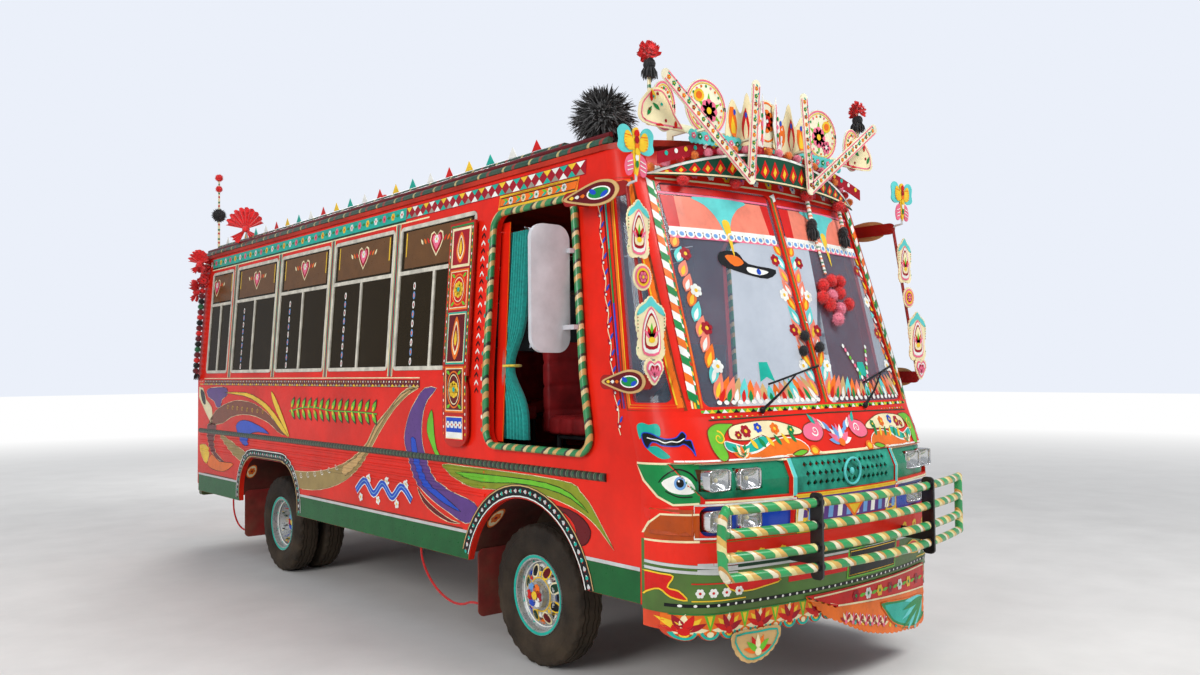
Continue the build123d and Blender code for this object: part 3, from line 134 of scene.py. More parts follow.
def blank(name):
    """A material with its tree, shader and object coordinates."""
    m = bpy.data.materials.new(name)
    m.use_nodes = True
    tree = m.node_tree
    shader = tree.nodes["Principled BSDF"]
    co = tree.nodes.new("ShaderNodeTexCoord").outputs["Object"]
    return m, tree, shader, co


def noise(tree, co, scale, detail=4, rough=0.6):
    """Share of a noise texture."""
    n = tree.nodes.new("ShaderNodeTexNoise")
    n.inputs["Scale"].default_value = scale
    n.inputs["Detail"].default_value = detail
    n.inputs["Roughness"].default_value = rough
    tree.links.new(co, n.inputs["Vector"])
    return n.outputs["Fac"]


def ramp(tree, fac, stops, constant=False):
    """Colours by a share, smooth or in bands."""
    r = tree.nodes.new("ShaderNodeValToRGB")
    r.color_ramp.interpolation = "CONSTANT" if constant else "LINEAR"
    el = r.color_ramp.elements
    while len(el) < len(stops):
        el.new(0.5)
    for e, (pos, colour) in zip(el, stops):
        e.position = pos
        e.color = lin(colour)
    tree.links.new(fac, r.inputs["Fac"])
    return r.outputs["Color"]


def feed(tree, socket, value):
    """A link where the value is a socket, otherwise a setting."""
    if isinstance(value, (int, float, tuple)):
        socket.default_value = value
    else:
        tree.links.new(value, socket)


def map_range(tree, value, from_low, from_high, low=0, high=1):
    """A value moved from one range to another."""
    n = tree.nodes.new("ShaderNodeMapRange")
    settings = (("Value", value), ("From Min", from_low), ("From Max", from_high), ("To Min", low),
                ("To Max", high))
    for name, setting in settings:
        feed(tree, n.inputs[name], setting)
    return n.outputs["Result"]


def sums(tree, operation, a, b=0, clamp=False):
    """Result of a sum on one or two values."""
    n = tree.nodes.new("ShaderNodeMath")
    n.operation = operation
    n.use_clamp = clamp
    feed(tree, n.inputs[0], a)
    feed(tree, n.inputs[1], b)
    return n.outputs[0]


def spread(tree, fac, low, high):
    """Map a noise of about 0.3-0.7 to a range."""
    return map_range(tree, fac, 0.3, 0.7, low, high)


def mixed(tree, fac, a, b):
    """One colour over another by a share."""
    n = tree.nodes.new("ShaderNodeMix")
    n.data_type = "RGBA"
    for value, slot in ((fac, 0), (a, 6), (b, 7)):
        feed(tree, n.inputs[slot], value)
    return n.outputs[2]


def bumped(tree, shader, height, strength, distance=0.002):
    """Relief on a shader from a share."""
    b = tree.nodes.new("ShaderNodeBump")
    b.inputs["Strength"].default_value = strength
    b.inputs["Distance"].default_value = distance
    tree.links.new(height, b.inputs["Height"])
    tree.links.new(b.outputs["Normal"], shader.inputs["Normal"])


def axes_of(tree, co):
    """X, Y and Z of a place."""
    n = tree.nodes.new("ShaderNodeSeparateXYZ")
    tree.links.new(co, n.inputs[0])
    return n.outputs


def dusted(tree, co, colour, low, high, most):
    """Road dust on the lower parts, broken up by noise."""
    depth = map_range(tree, axes_of(tree, co)[2], high, low, 0, most)
    share = sums(tree, "MULTIPLY", depth, spread(tree, noise(tree, co, 5), 0.25, 1.0))
    return mixed(tree, share, colour, lin(dust_colour))


def finish_surface(tree, shader, co, colour, rough, metal=0.0, coat=0.0, bump=0.05, grain=70, dust=0.0):
    """Colour, gloss and relief of a surface, with dust on its lower parts."""
    if dust:
        colour = dusted(tree, co, colour, dust_low, dust_high, dust)
    tree.links.new(colour, shader.inputs["Base Color"])
    fine = noise(tree, co, grain, 3)
    tree.links.new(spread(tree, fine, rough - rough_drift, rough + rough_drift), shader.inputs["Roughness"])
    shader.inputs["Metallic"].default_value = metal
    shader.inputs["Coat Weight"].default_value = coat
    shader.inputs["Coat Roughness"].default_value = 0.12
    if bump:
        bumped(tree, shader, fine, bump)


made = {}
dust_colour, dust_low, dust_high = (150, 126, 98), 0.25, 1.15
rough_drift = 0.08


def paint(name, colour, rough=0.38, coat=0.25, vary=0.10, scale=4.0, metal=0.0, bump=0.04, grain=70,
          dust=0.0):
    """Brushed gloss paint whose colour drifts a little."""
    if name in made:
        return made[name]
    m, tree, shader, co = blank(name)
    drift = noise(tree, co, scale, 5)
    tone = ramp(tree, drift, ((0.3, shade(colour, 1 - vary)), (0.7, shade(colour, 1 + vary))))
    finish_surface(tree, shader, co, tone, rough, metal, coat, bump, grain, dust)
    shader.inputs["Specular IOR Level"].default_value = 0.28
    shader.inputs["IOR"].default_value = 1.36
    made[name] = m
    return m


def along(tree, co, axis, pitch):
    """0-1 share of a repeat along an axis."""
    dot = tree.nodes.new("ShaderNodeVectorMath")
    dot.operation = "DOT_PRODUCT"
    dot.inputs[1].default_value = tuple(a / pitch for a in axis)
    tree.links.new(co, dot.inputs[0])
    return sums(tree, "FRACT", dot.outputs["Value"])


def candy(name, axis, pitch, stops, rough=0.35, coat=0.3, dust=0.0, wobble=0.0):
    """Painted bands along an axis, as on striped tube."""
    if name in made:
        return made[name]
    m, tree, shader, co = blank(name)
    where = co
    if wobble:
        shift = tree.nodes.new("ShaderNodeVectorMath")
        shift.operation = "MULTIPLY_ADD"
        drift = tree.nodes.new("ShaderNodeTexNoise")
        drift.inputs["Scale"].default_value = 14
        tree.links.new(co, drift.inputs["Vector"])
        tree.links.new(drift.outputs["Color"], shift.inputs[0])
        shift.inputs[1].default_value = (wobble, wobble, wobble)
        tree.links.new(co, shift.inputs[2])
        where = shift.outputs[0]
    tone = ramp(tree, along(tree, where, axis, pitch), stops, constant=True)
    worn = spread(tree, noise(tree, co, 30), -0.1, 0.22)
    tone = mixed(tree, worn, tone, lin((120, 96, 70)))
    finish_surface(tree, shader, co, tone, rough, 0.0, coat, 0.05, 90, dust)
    made[name] = m
    return m


def fibre(name, colour, sheen=0.4, vary=0.18, rough=0.85):
    """Yarn or dyed fibre."""
    if name in made:
        return made[name]
    m, tree, shader, co = blank(name)
    tone = ramp(tree, noise(tree, co, 60, 3),
                ((0.3, shade(colour, 1 - vary)), (0.7, shade(colour, 1 + vary))))
    finish_surface(tree, shader, co, tone, rough, 0.0, 0.0, 0.25, 320)
    shader.inputs["Sheen Weight"].default_value = sheen
    made[name] = m
    return m


def glass(name, tint, alpha, rough=0.03, dirt=0.15, gloss=0.8, index=1.5):
    """Flat glass as a see-through gloss sheet with a film of dust."""
    if name in made:
        return made[name]
    m, tree, shader, co = blank(name)
    film = spread(tree, noise(tree, co, 3.5, 6), -0.05, dirt)
    tone = mixed(tree, film, lin(tint), lin((168, 150, 126)))
    tree.links.new(tone, shader.inputs["Base Color"])
    tree.links.new(spread(tree, noise(tree, co, 7), rough, rough + 0.05), shader.inputs["Roughness"])
    tree.links.new(sums(tree, "ADD", film, alpha, clamp=True), shader.inputs["Alpha"])
    shader.inputs["Specular IOR Level"].default_value = gloss
    shader.inputs["IOR"].default_value = index
    made[name] = m
    return m


red = (222, 34, 16)
cream = (246, 232, 200)

body_red = paint("body_red", red, 0.36, 0.12, 0.09, 2.2, dust=0.12)
roof_red = paint("roof_red", (176, 44, 26), 0.5, 0.1, 0.18, 3.0)
skirt_green = paint("skirt_green", (20, 76, 34), 0.40, 0.2, 0.15, 3, dust=0.5)
bumper_green = paint("bumper_green", (70, 112, 44), 0.40, 0.25, 0.15, 3, dust=0.2)
chassis_black = paint("chassis_black", (22, 21, 20), 0.7, 0.0, 0.3, 6, bump=0.2, dust=0.75)
aluminium = paint("aluminium", (214, 208, 192), 0.38, 0.1, 0.12, 12, metal=0.15, bump=0.1, grain=160)
chrome = paint("chrome", (214, 214, 216), 0.14, 0.0, 0.05, 8, metal=1.0, bump=0.03)
iron = paint("iron", (34, 31, 29), 0.62, 0.0, 0.35, 9, metal=0.3, bump=0.5, grain=45, dust=0.7)
rubber = paint("rubber", (20, 20, 21), 0.72, 0.0, 0.22, 9, bump=0.2, grain=120, dust=0.55)
flap = paint("flap", (120, 18, 26), 0.58, 0.05, 0.2, 7, bump=0.15, dust=0.3)
liner = paint("liner", (70, 14, 16), 0.66, 0.0, 0.25, 7, bump=0.2, dust=0.3)
plank = paint("plank", (128, 92, 58), 0.7, 0.0, 0.25, 10, bump=0.4, grain=30)
dash = paint("dash", (36, 34, 36), 0.6, 0.0, 0.15, 20, bump=0.3, grain=220)
seat_red = paint("seat_red", (122, 26, 28), 0.5, 0.0, 0.16, 9, bump=0.3, grain=140)
mirror_back = paint("mirror_back", (196, 196, 200), 0.34, 0.1, 0.07, 5)
lamp_teal = paint("lamp_teal", (8, 128, 92), 0.32, 0.4, 0.14, 5)
amber = paint("amber", (172, 66, 14), 0.2, 0.5, 0.12, 12)
mesh_teal = paint("mesh_teal", (40, 140, 118), 0.42, 0.1, 0.2, 12, bump=0.2)
candy_door = candy(
    "candy_door", (0, 1, 1), 0.19,
    ((0.0, (24, 138, 78)), (0.32, (206, 162, 92)), (0.5, (24, 128, 70)), (0.74, (222, 196, 140)),
     (0.9, (30, 44, 30))),
    wobble=0.02,
)
candy_bar = candy(
    "candy_bar", (1, 0, 1), 0.24,
    ((0.0, (30, 160, 86)), (0.26, (236, 222, 150)), (0.40, (222, 176, 84)), (0.54, (28, 146, 80)),
     (0.80, (238, 228, 196)), (0.92, (206, 150, 70))),
    wobble=0.03,
)


def overpaint(material, axis, steps, colour):
    """Another colour where sums on one axis give 1."""
    tree = material.node_tree
    share = axes_of(tree, tree.nodes.new("ShaderNodeTexCoord").outputs["Object"])[axis]
    for operation, value in steps:
        share = sums(tree, operation, share, value)
    base = tree.nodes["Principled BSDF"].inputs["Base Color"]
    tree.links.new(mixed(tree, share, base.links[0].from_socket, lin(colour)), base)


# Black plates of the bull bar, 48 mm wide, and the lower lamp recesses, which are blue
bar_plate_x, bar_plate_half, upper_recess_foot = 0.48, 0.024, 1.003
beside_plate = (("ABSOLUTE", 0), ("SUBTRACT", bar_plate_x), ("ABSOLUTE", 0), ("LESS_THAN", bar_plate_half))
overpaint(candy_bar, 0, beside_plate, (18, 18, 20))
overpaint(lamp_teal, 2, (("LESS_THAN", upper_recess_foot),), (22, 66, 176))
candy_rack = candy(
    "candy_rack", (0.4, 1, 1), 0.26,
    ((0.0, (18, 72, 52)), (0.42, (150, 40, 30)), (0.52, (20, 80, 60)), (0.82, (196, 180, 120)),
     (0.9, (20, 66, 50))),
)
rub_trim = candy(
    "rub_trim", (0, 1, 0), 0.045,
    ((0.0, (14, 22, 16)), (0.55, (34, 96, 60)), (0.75, (12, 18, 14)), (0.9, (120, 140, 110))), rough=0.5,
)
window_glass = glass("window_glass", (44, 34, 16), 0.93, 0.03, 0.02, 0.4, 1.18)
front_pane = glass("front_pane", (120, 140, 160), 0.24, 0.02, 0.06)
lamp_lens = glass("lamp_lens", (214, 220, 214), 0.72, 0.08, 0.1)

looks = {
    "side_wall_right": body_red, "side_wall_left": body_red, "rear_wall": body_red, "front_mask": body_red,
    "windscreen_surround": body_red, "passenger_door": body_red, "roof_shell": roof_red,
    "front_bumper": bumper_green, "fringe_panel": paint("fringe_orange", (216, 70, 34), 0.4),
    "lamp_panels": lamp_teal, "grille": mesh_teal, "headlamps": lamp_lens, "signal_lamps": amber,
    "front_glass": front_pane, "window_frames": aluminium, "side_glass": window_glass,
    "door_glass": window_glass, "rub_rails": rub_trim, "bull_bar": candy_bar,
    "visor": paint("visor_green", (12, 74, 52), 0.42, 0.2), "crown_boards": paint("crown_cream", cream, 0.45),
    "roof_poles": paint("pole", (196, 176, 130), 0.5), "roof_rack": candy_rack, "doorway_tubes": candy_door,
    "side_board": paint("board_red", (178, 36, 20), 0.4), "mirror_arms": paint("arm_red", (150, 26, 20), 0.4),
    "hanging_boards": paint("hang_cream", cream, 0.42), "door_mirrors": mirror_back, "floor_deck": plank,
    "chassis_frame": chassis_black, "rear_bumper": skirt_green, "rear_ladder": chrome,
    "arch_liners": liner, "mud_flaps": flap, "power_train": iron, "exhaust": iron, "fuel_tank": chassis_black,
    "front_axle": iron, "rear_axle": iron, "door_hinges": chrome, "dashboard": dash,
    "knuckle_right": iron, "knuckle_left": iron, "seats": seat_red, "feather_balls": rubber,
    "corner_garland": flap,
}
for name, node in nodes.items():
    look_m = looks.get(name)
    if look_m is None:
        if name.startswith("tyre"):
            look_m = rubber
        elif name.startswith("rim"):
            look_m = paint("rim_silver", (176, 178, 176), 0.3, 0.2, 0.1, 8, metal=0.5)
        else:
            look_m = body_red
    node.data.materials.clear()
    node.data.materials.append(look_m)


# Pieces and cords

def add_piece(name, verts, faces, mats, indices=None, body="root", smooth=False):
    """A new mesh piece from plain lists."""
    mesh = bpy.data.meshes.new(name)
    mesh.from_pydata([tuple(v) for v in verts], [], faces)
    for m in mats:
        mesh.materials.append(m)
    if indices:
        mesh.polygons.foreach_set("material_index", indices)
    if smooth:
        mesh.polygons.foreach_set("use_smooth", [True] * len(faces))
    mesh.update()
    obj = bpy.data.objects.new(name, mesh)
    scene.collection.objects.link(obj)
    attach(obj, body)
    return obj


class Heap:
    """Collects vertices, faces and their materials for one joined piece."""

    def __init__(self):
        self.verts, self.faces, self.index, self.mats = [], [], [], []

    def slot(self, mat):
        if mat not in self.mats:
            self.mats.append(mat)
        return self.mats.index(mat)

    def add(self, verts, faces, mat):
        base = len(self.verts)
        self.verts += [Vector(v) for v in verts]
        self.faces += [tuple(base + i for i in f) for f in faces]
        self.index += [self.slot(mat)] * len(faces)

    def done(self, name, body="root", smooth=False, slot="body_paint"):
        return add_piece(name, self.verts, self.faces, self.mats, self.index, body, smooth)


def cord_curve(name, points, radius, mat):
    """A smooth curve on a route's points."""
    curve = bpy.data.curves.new(name, "CURVE")
    curve.dimensions = "3D"
    curve.bevel_depth = radius
    curve.bevel_resolution = 5
    curve.resolution_u = 10
    curve.use_fill_caps = True
    spline = curve.splines.new("NURBS")
    spline.points.add(len(points) - 1)
    for p, q in zip(spline.points, points):
        p.co = (*q, 1)
    spline.order_u = 3
    spline.use_endpoint_u = True
    curve.materials.append(mat)
    obj = bpy.data.objects.new(name, curve)
    scene.collection.objects.link(obj)
    return obj


cord_red = fibre("cord_red", (190, 20, 18), 0.3)
cord_radius = 0.0075
for name, node, length in (("slack_cord_front", "cord_front", 0.772),
                           ("slack_cord_rear", "cord_rear", 0.386)):
    points = cord_routes[name]
    obj = cord_curve(name, points, cord_radius, cord_red)
    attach(obj, "root")
    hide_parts(node)
    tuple(points[0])


# Painted ornament: 2-D outlines in millimetres, cast on the surface that carries them
first_lift, layer_lift = 0.0012, 0.0006     # metres above the surface, and more for each layer
most_bulge = 0.02       # metres that a face's middle may stand off its corners


def rect(u0, u1, v0, v1):
    return [(u0, v0), (u1, v0), (u1, v1), (u0, v1)]


def oval(u, v, ru, rv, turn=0, n=22):
    """Outline of an ellipse, turned by degrees."""
    c, s = cos(radians(turn)), sin(radians(turn))
    out = []
    for i in range(n):
        a = 2 * pi * i / n
        x, y = ru * cos(a), rv * sin(a)
        out.append((u + x * c - y * s, v + x * s + y * c))
    return out


def leaf(u, v, length, width, turn=0, n=6):
    """Pointed leaf that starts at a point and runs out along its turn."""
    c, s = cos(radians(turn)), sin(radians(turn))
    half = [(length * i / n, width / 2 * sin(pi * (i / n) ** 0.8)) for i in range(n + 1)]
    side = half + [(x, -y) for x, y in reversed(half[1:-1])]
    return [(u + x * c - y * s, v + x * s + y * c) for x, y in side]


def heart(u, v, r):
    """Heart with its tip down."""
    shape = ((0, -1.1), (0.62, -0.42), (1.0, 0.2), (0.86, 0.72), (0.46, 0.88), (0, 0.5),
             (-0.46, 0.88), (-0.86, 0.72), (-1.0, 0.2), (-0.62, -0.42))
    return [(u + r * x, v + r * y) for x, y in shape]


def smooth(points, n=4, closed=True):
    """Catmull-Rom curve through points."""
    out = []
    count = len(points)
    last = count if closed else count - 1
    for i in range(last):
        if closed:
            p0, p1, p2, p3 = (points[(i + k) % count] for k in (-1, 0, 1, 2))
        else:
            p0, p1, p2, p3 = (points[min(max(i + k, 0), count - 1)] for k in (-1, 0, 1, 2))
        for j in range(n):
            t = j / n
            a, b, c, d = -t + 2 * t**2 - t**3, 2 - 5 * t**2 + 3 * t**3, t + 4 * t**2 - 3 * t**3, t**3 - t**2
            out.append(tuple((a * w + b * x + c * y + d * z) / 2 for w, x, y, z in zip(p0, p1, p2, p3)))
    if not closed:
        out.append(tuple(points[-1]))
    return out


def place_front(u, v):
    """A start for casting from ahead: u across and v up."""
    return Vector((u / 1000, -4.4, v / 1000))


def from_side(hand):
    """Starts for casting from one side: u behind the front axle and v up."""
    return lambda u, v: Vector((hand * 1.9, at(u), v / 1000))


def front_of(tree, x, z, start=-4):
    """Foremost point of a search tree at X and a height, or None."""
    return tree.ray_cast(Vector((x, start, z)), Vector((0, 1, 0)), 4)[0]


def skin(names):
    """Search tree over the faces of CAD nodes."""
    verts, faces = [], []
    for name in names:
        mesh = nodes[name].data
        base = len(verts)
        verts += [v.co.copy() for v in mesh.vertices]
        faces += [[base + i for i in p.vertices] for p in mesh.polygons]
    return BVHTree.FromPolygons(verts, faces)


class Art(Heap):
    """Paint laid on a surface from one direction, cut at a step and at the surface's own rows and columns."""

    def __init__(self, names, place, toward, rows=(), cols=(), step=110, jump=0.05):
        super().__init__()
        self.tree = skin(names)
        self.place = place
        self.toward = Vector(toward).normalized()
        self.rows, self.cols, self.step, self.jump = rows, cols, step, jump

    def cast(self, u, v, lift=0.0):
        """Point of the surface under u and v, and its distance."""
        hit, normal, _, reach = self.tree.ray_cast(self.place(u, v), self.toward, 6)
        if hit is None:
            return None
        if normal.dot(self.toward) > 0:
            normal = -normal
        return hit + normal * lift, reach

    def put(self, outline, mat, layer=0, step=None):
        """A filled outline on the surface; faces over an edge or a hole are left out."""
        points = [Vector((u, v, 0)) for u, v in outline]
        us, vs = [p.x for p in points], [p.y for p in points]
        bm = bmesh.new()
        corners_2d = [bm.verts.new(p) for p in points]
        for tri in tessellate_polygon([points]):
            a, b, c = (points[i] for i in tri)
            if abs((b - a).cross(c - a).z) > 0.05:
                bm.faces.new([corners_2d[i] for i in tri])
        step = step or self.step
        for axis, low, high, extra in ((0, min(us), max(us), self.cols), (1, min(vs), max(vs), self.rows)):
            lines = [step * k for k in range(int(low // step) + 1, int(high // step) + 1)] + list(extra)
            for value in lines:
                if low < value < high:
                    co, no = [0, 0, 0], [0, 0, 0]
                    co[axis], no[axis] = value, 1
                    geom = bm.verts[:] + bm.edges[:] + bm.faces[:]
                    bmesh.ops.bisect_plane(bm, geom=geom, dist=0.001, plane_co=co, plane_no=no)
        lift = first_lift + layer_lift * layer
        bm.verts.index_update()
        where = [self.cast(v.co.x, v.co.y, lift) for v in bm.verts]
        verts, faces, index = [], [], {}
        for face in bm.faces:
            ids = [v.index for v in face.verts]
            if any(where[i] is None for i in ids):
                continue
            depth = [where[i][1] for i in ids]
            mid = face.calc_center_median()
            middle = self.cast(mid.x, mid.y)
            if middle is None or max(depth) - min(depth) > self.jump:
                continue
            if min(depth) - middle[1] > most_bulge or middle[1] - max(depth) > most_bulge:
                continue
            ring = []
            for i in ids:
                if i not in index:
                    index[i] = len(verts)
                    verts.append(where[i][0])
                ring.append(index[i])
            a, b, c = (verts[i] for i in ring[:3])
            if (b - a).cross(c - b).dot(self.toward) > 0:
                ring.reverse()
            faces.append(ring)
        bm.free()
        self.add(verts, faces, mat)

    def stroke(self, points, width, mat, layer=0, closed=False, taper=(1, 1)):
        """A painted line of a width along points."""
        path = [Vector((u, v)) for u, v in points]
        if closed:
            path += path[:2]
        left, right_side = [], []
        last = len(path) - 1
        for i, p in enumerate(path):
            along_path = path[min(i + 1, last)] - path[max(i - 1, 0)]
            if along_path.length < 1e-6:
                along_path = Vector((1, 0))
            across = Vector((-along_path.y, along_path.x)).normalized()
            share = i / max(1, last)
            reach = width / 2 * (taper[0] * (1 - share) + taper[1] * share)
            left.append(p + across * reach)
            right_side.append(p - across * reach)
        for i in range(0, last, 2):
            j = min(i + 2, last)
            ring = left[i:j + 1] + right_side[i:j + 1][::-1]
            self.put([(q.x, q.y) for q in ring], mat, layer)

    def flower(self, u, v, r, count, petal, centre, layer=0, turn=0):
        """Oval petals round a centre."""
        for i in range(count):
            a = turn + 360 * i / count
            du, dv = 0.58 * r * cos(radians(a)), 0.58 * r * sin(radians(a))
            self.put(oval(u + du, v + dv, 0.46 * r, 0.42 * r, a, 10), petal, layer)
        self.put(oval(u, v, 0.3 * r, 0.3 * r, 0, 10), centre, layer + 1)

    def beads(self, points, pitch, r, mats, layer=0):
        """Dots at a pitch along points."""
        path = [Vector((u, v)) for u, v in points]
        gone, k = pitch / 2, 0
        for a, b in zip(path, path[1:]):
            run = (b - a).length
            while gone < run:
                p = a.lerp(b, gone / run)
                self.put(oval(p.x, p.y, r, r, 0, 8), mats[k % len(mats)], layer)
                gone += pitch
                k += 1
            gone -= run

    def teeth(self, start, end, height, count, mats, layer=0):
        """A row of triangles from start to end, pointing to the left of that way."""
        a, b = Vector(start), Vector(end)
        step = (b - a) / count
        rise = Vector((-step.y, step.x)).normalized() * height
        for i in range(count):
            p = a + step * i
            ring = [p, p + step, p + step / 2 + rise]
            self.put([(q.x, q.y) for q in ring], mats[i % len(mats)], layer)

    def lotus(self, u, v, r, turn, mats, layer=0, count=7, wide=150):
        """A fan of petals that opens along its turn."""
        for i in range(count):
            a = turn - wide / 2 + wide * i / (count - 1)
            self.put(leaf(u, v, r, r * 0.34, a), mats[i % len(mats)], layer + (i % 2))
        self.put(oval(u, v, r * 0.22, r * 0.22, 0, 10), mats[-1], layer + 2)

    def curl(self, u, v, r, turn, width, mat, layer=0, hand=1):
        """A tapering spiral."""
        path = []
        for i in range(15):
            t = i / 14
            a = radians(turn) + hand * t * 1.3 * 2 * pi
            q = r * (1 - 0.86 * t)
            path.append((u + q * cos(a), v + q * sin(a)))
        self.stroke(path, width, mat, layer, taper=(1, 0.4))


def enamel(name, colour):
    """Hand-laid gloss enamel."""
    return paint("enamel_" + name, colour, 0.34, 0.14, 0.07, 9)


e_white = enamel("white", (238, 238, 230))
e_cream = enamel("cream", (244, 226, 180))
e_yellow = enamel("yellow", (242, 196, 46))
e_orange = enamel("orange", (236, 112, 28))
e_red = enamel("red", (206, 26, 20))
e_crimson = enamel("crimson", (160, 14, 34))
e_pink = enamel("pink", (238, 110, 140))
e_green = enamel("green", (20, 132, 66))
e_leaf = enamel("leaf", (106, 186, 44))
e_olive = enamel("olive", (132, 144, 34))
e_dark = enamel("dark", (16, 56, 34))
e_teal = enamel("teal", (26, 172, 152))
e_aqua = enamel("aqua", (96, 204, 200))
e_blue = enamel("blue", (30, 74, 190))
e_sky = enamel("sky", (110, 160, 214))
e_purple = enamel("purple", (92, 58, 128))
e_khaki = enamel("khaki", (158, 134, 78))
e_tan = enamel("tan", (206, 168, 110))
e_brown = enamel("brown", (122, 56, 26))
e_maroon = enamel("maroon", (98, 14, 22))
e_black = enamel("black", (16, 16, 18))
e_grey = enamel("grey", (150, 146, 132))
e_film = enamel("film", (104, 68, 32))
e_salmon = enamel("salmon", (236, 132, 108))
e_silver = paint("enamel_silver", (198, 200, 198), 0.34, 0.2, 0.06, 9)

# Heights of the swages' folds, and the edges of the entry door
swage_rows = [z + d for z in (910, 955, 1000, 1045) for d in (-11.6, -10.4, -7, -3.5, 0, 3.5, 7, 10.4, 11.6)]
door_rows, door_cols = [516, 525, 2536, 2546], [619, 629, 1411, 1421]

# Large painted sweeps of the sides: layer, enamel, outline (behind the front axle, height)
side_sweeps = (
    (1, e_khaki, ((3417, 808), (3122, 737), (2763, 738), (2454, 781), (2187, 856), (1979, 955), (1846, 1056),
                  (1674, 1215), (1467, 1380), (1270, 1485), (1143, 1526), (1235, 1533), (1364, 1493),
                  (1548, 1378),
                  (1737, 1263), (1846, 1147), (2024, 1045), (2234, 969), (2504, 908), (2844, 870),
                  (3152, 860),
                  (3418, 862))),
    (2, e_tan, ((2187, 890), (1990, 985), (1850, 1090), (1690, 1240), (1480, 1400), (1270, 1500),
                (1180, 1526),
                (1364, 1485), (1540, 1366), (1725, 1250), (1840, 1130), (2015, 1030), (2225, 950))),
    (1, e_brown, ((5072, 1157), (4953, 1257), (4796, 1323), (4493, 1382), (4240, 1399), (3930, 1373),
                  (3669, 1310),
                  (3450, 1225), (3269, 1137), (3419, 1155), (3605, 1220), (3896, 1267), (4204, 1277),
                  (4492, 1243),
                  (4698, 1184))),
    (1, e_maroon, ((5113, 1156), (4872, 1164), (4929, 998), (4849, 893), (4636, 825), (4868, 851),
                   (5070, 963))),
    (2, e_yellow, ((4644, 1464), (4136, 1469), (3831, 1422), (3606, 1357), (3420, 1268), (3270, 1178),
                   (3196, 1123),
                   (3299, 1148), (3450, 1219), (3637, 1317), (3897, 1396), (4170, 1439))),
    (2, e_yellow, ((3550, 1487), (3451, 1418), (3330, 1301), (3226, 1186), (3190, 1123), (3299, 1195),
                   (3450, 1322),
                   (3544, 1429))),
    (3, e_blue, ((4363, 1169), (4238, 1222), (4065, 1224), (3896, 1202), (3732, 1173), (3604, 1129),
                 (3829, 1138),
                 (4064, 1103), (4070, 1014), (4194, 1014), (4272, 1068))),
    (1, e_purple, ((5118, 1490), (4876, 1512), (4606, 1507), (4587, 1441), (4719, 1399), (4757, 1330),
                   (4874, 1328),
                   (4934, 1382), (5096, 1421))),
    (1, e_cream, ((5413, 1502), (5242, 1503), (5149, 1392), (4994, 1318), (4992, 1174), (5156, 1266),
                  (5282, 1362),
                  (5390, 1445))),
    (2, e_black, ((5306, 1489), (5200, 1454), (5165, 1350), (5240, 1362), (5292, 1425))),
    (1, e_khaki, ((4773, 1080), (4489, 1032), (4272, 978), (4028, 927), (4130, 870), (4270, 868), (4451, 922),
                  (4638, 998))),
    (1, e_yellow, ((5327, 950), (5110, 958), (5060, 880), (5141, 785), (5266, 848))),
    (2, e_orange, ((5108, 794), (4988, 885), (4790, 828), (4487, 834), (4450, 810), (4673, 742),
                   (4986, 747))),
    (1, e_purple, ((1064, 1527), (1178, 1446), (1259, 1361), (1318, 1242), (1319, 1161), (1260, 1060),
                   (1203, 960),
                   (1113, 888), (960, 823), (791, 774), (590, 725), (436, 779), (492, 856), (688, 891),
                   (852, 932),
                   (959, 978), (1034, 1074), (1089, 1172), (1100, 1274), (1077, 1377), (1021, 1457),
                   (916, 1528))),
    (2, e_blue, ((1240, 1200), (1215, 1090), (1160, 1000), (1085, 915), (960, 862), (800, 815), (640, 790),
                 (850, 870), (1010, 930), (1090, 1010), (1150, 1110), (1180, 1200))),
    (2, e_leaf, ((977, 1393), (1022, 1333), (1033, 1254), (979, 1167), (915, 1098), (851, 1085), (914, 1148),
                 (944, 1235), (956, 1335))),
    (1, e_olive, ((851, 1058), (708, 986), (511, 949), (269, 954), (8, 971), (-203, 961), (-387, 931),
                  (-532, 891),
                  (-643, 832), (-753, 744), (-671, 840), (-616, 905), (-561, 962), (-491, 1010), (-425, 1045),
                  (-100, 1060), (300, 1062), (650, 1064))),
    (2, e_leaf, ((700, 1020), (420, 985), (100, 1005), (-200, 1000), (-420, 965), (-560, 905), (-420, 990),
                 (-200, 1030), (150, 1034), (480, 1030))),
    (1, e_maroon, ((1158, 890), (1069, 835), (917, 772), (750, 729), (650, 719), (792, 714), (960, 751),
                   (1091, 810))),
    (2, e_maroon, ((-249, 916), (-401, 907), (-517, 872), (-576, 815), (-551, 757), (-501, 734), (-436, 739),
                   (-461, 784), (-444, 836), (-371, 884))),
)
front_arch = [(20 + 602 * cos(radians(a)), 365 + 602 * sin(radians(a))) for a in range(166, 12, -7)]
rear_arch = (
    [(4320, 540)]
    + [(3950 + 370 * cos(radians(a)), 582 + 370 * sin(radians(a))) for a in range(0, 91, 9)]
    + [(3800, 952), (3660, 952), (3520, 952)]
    + [(3370 + 370 * cos(radians(a)), 582 + 370 * sin(radians(a))) for a in range(90, 181, 9)]
    + [(3000, 540)]
)


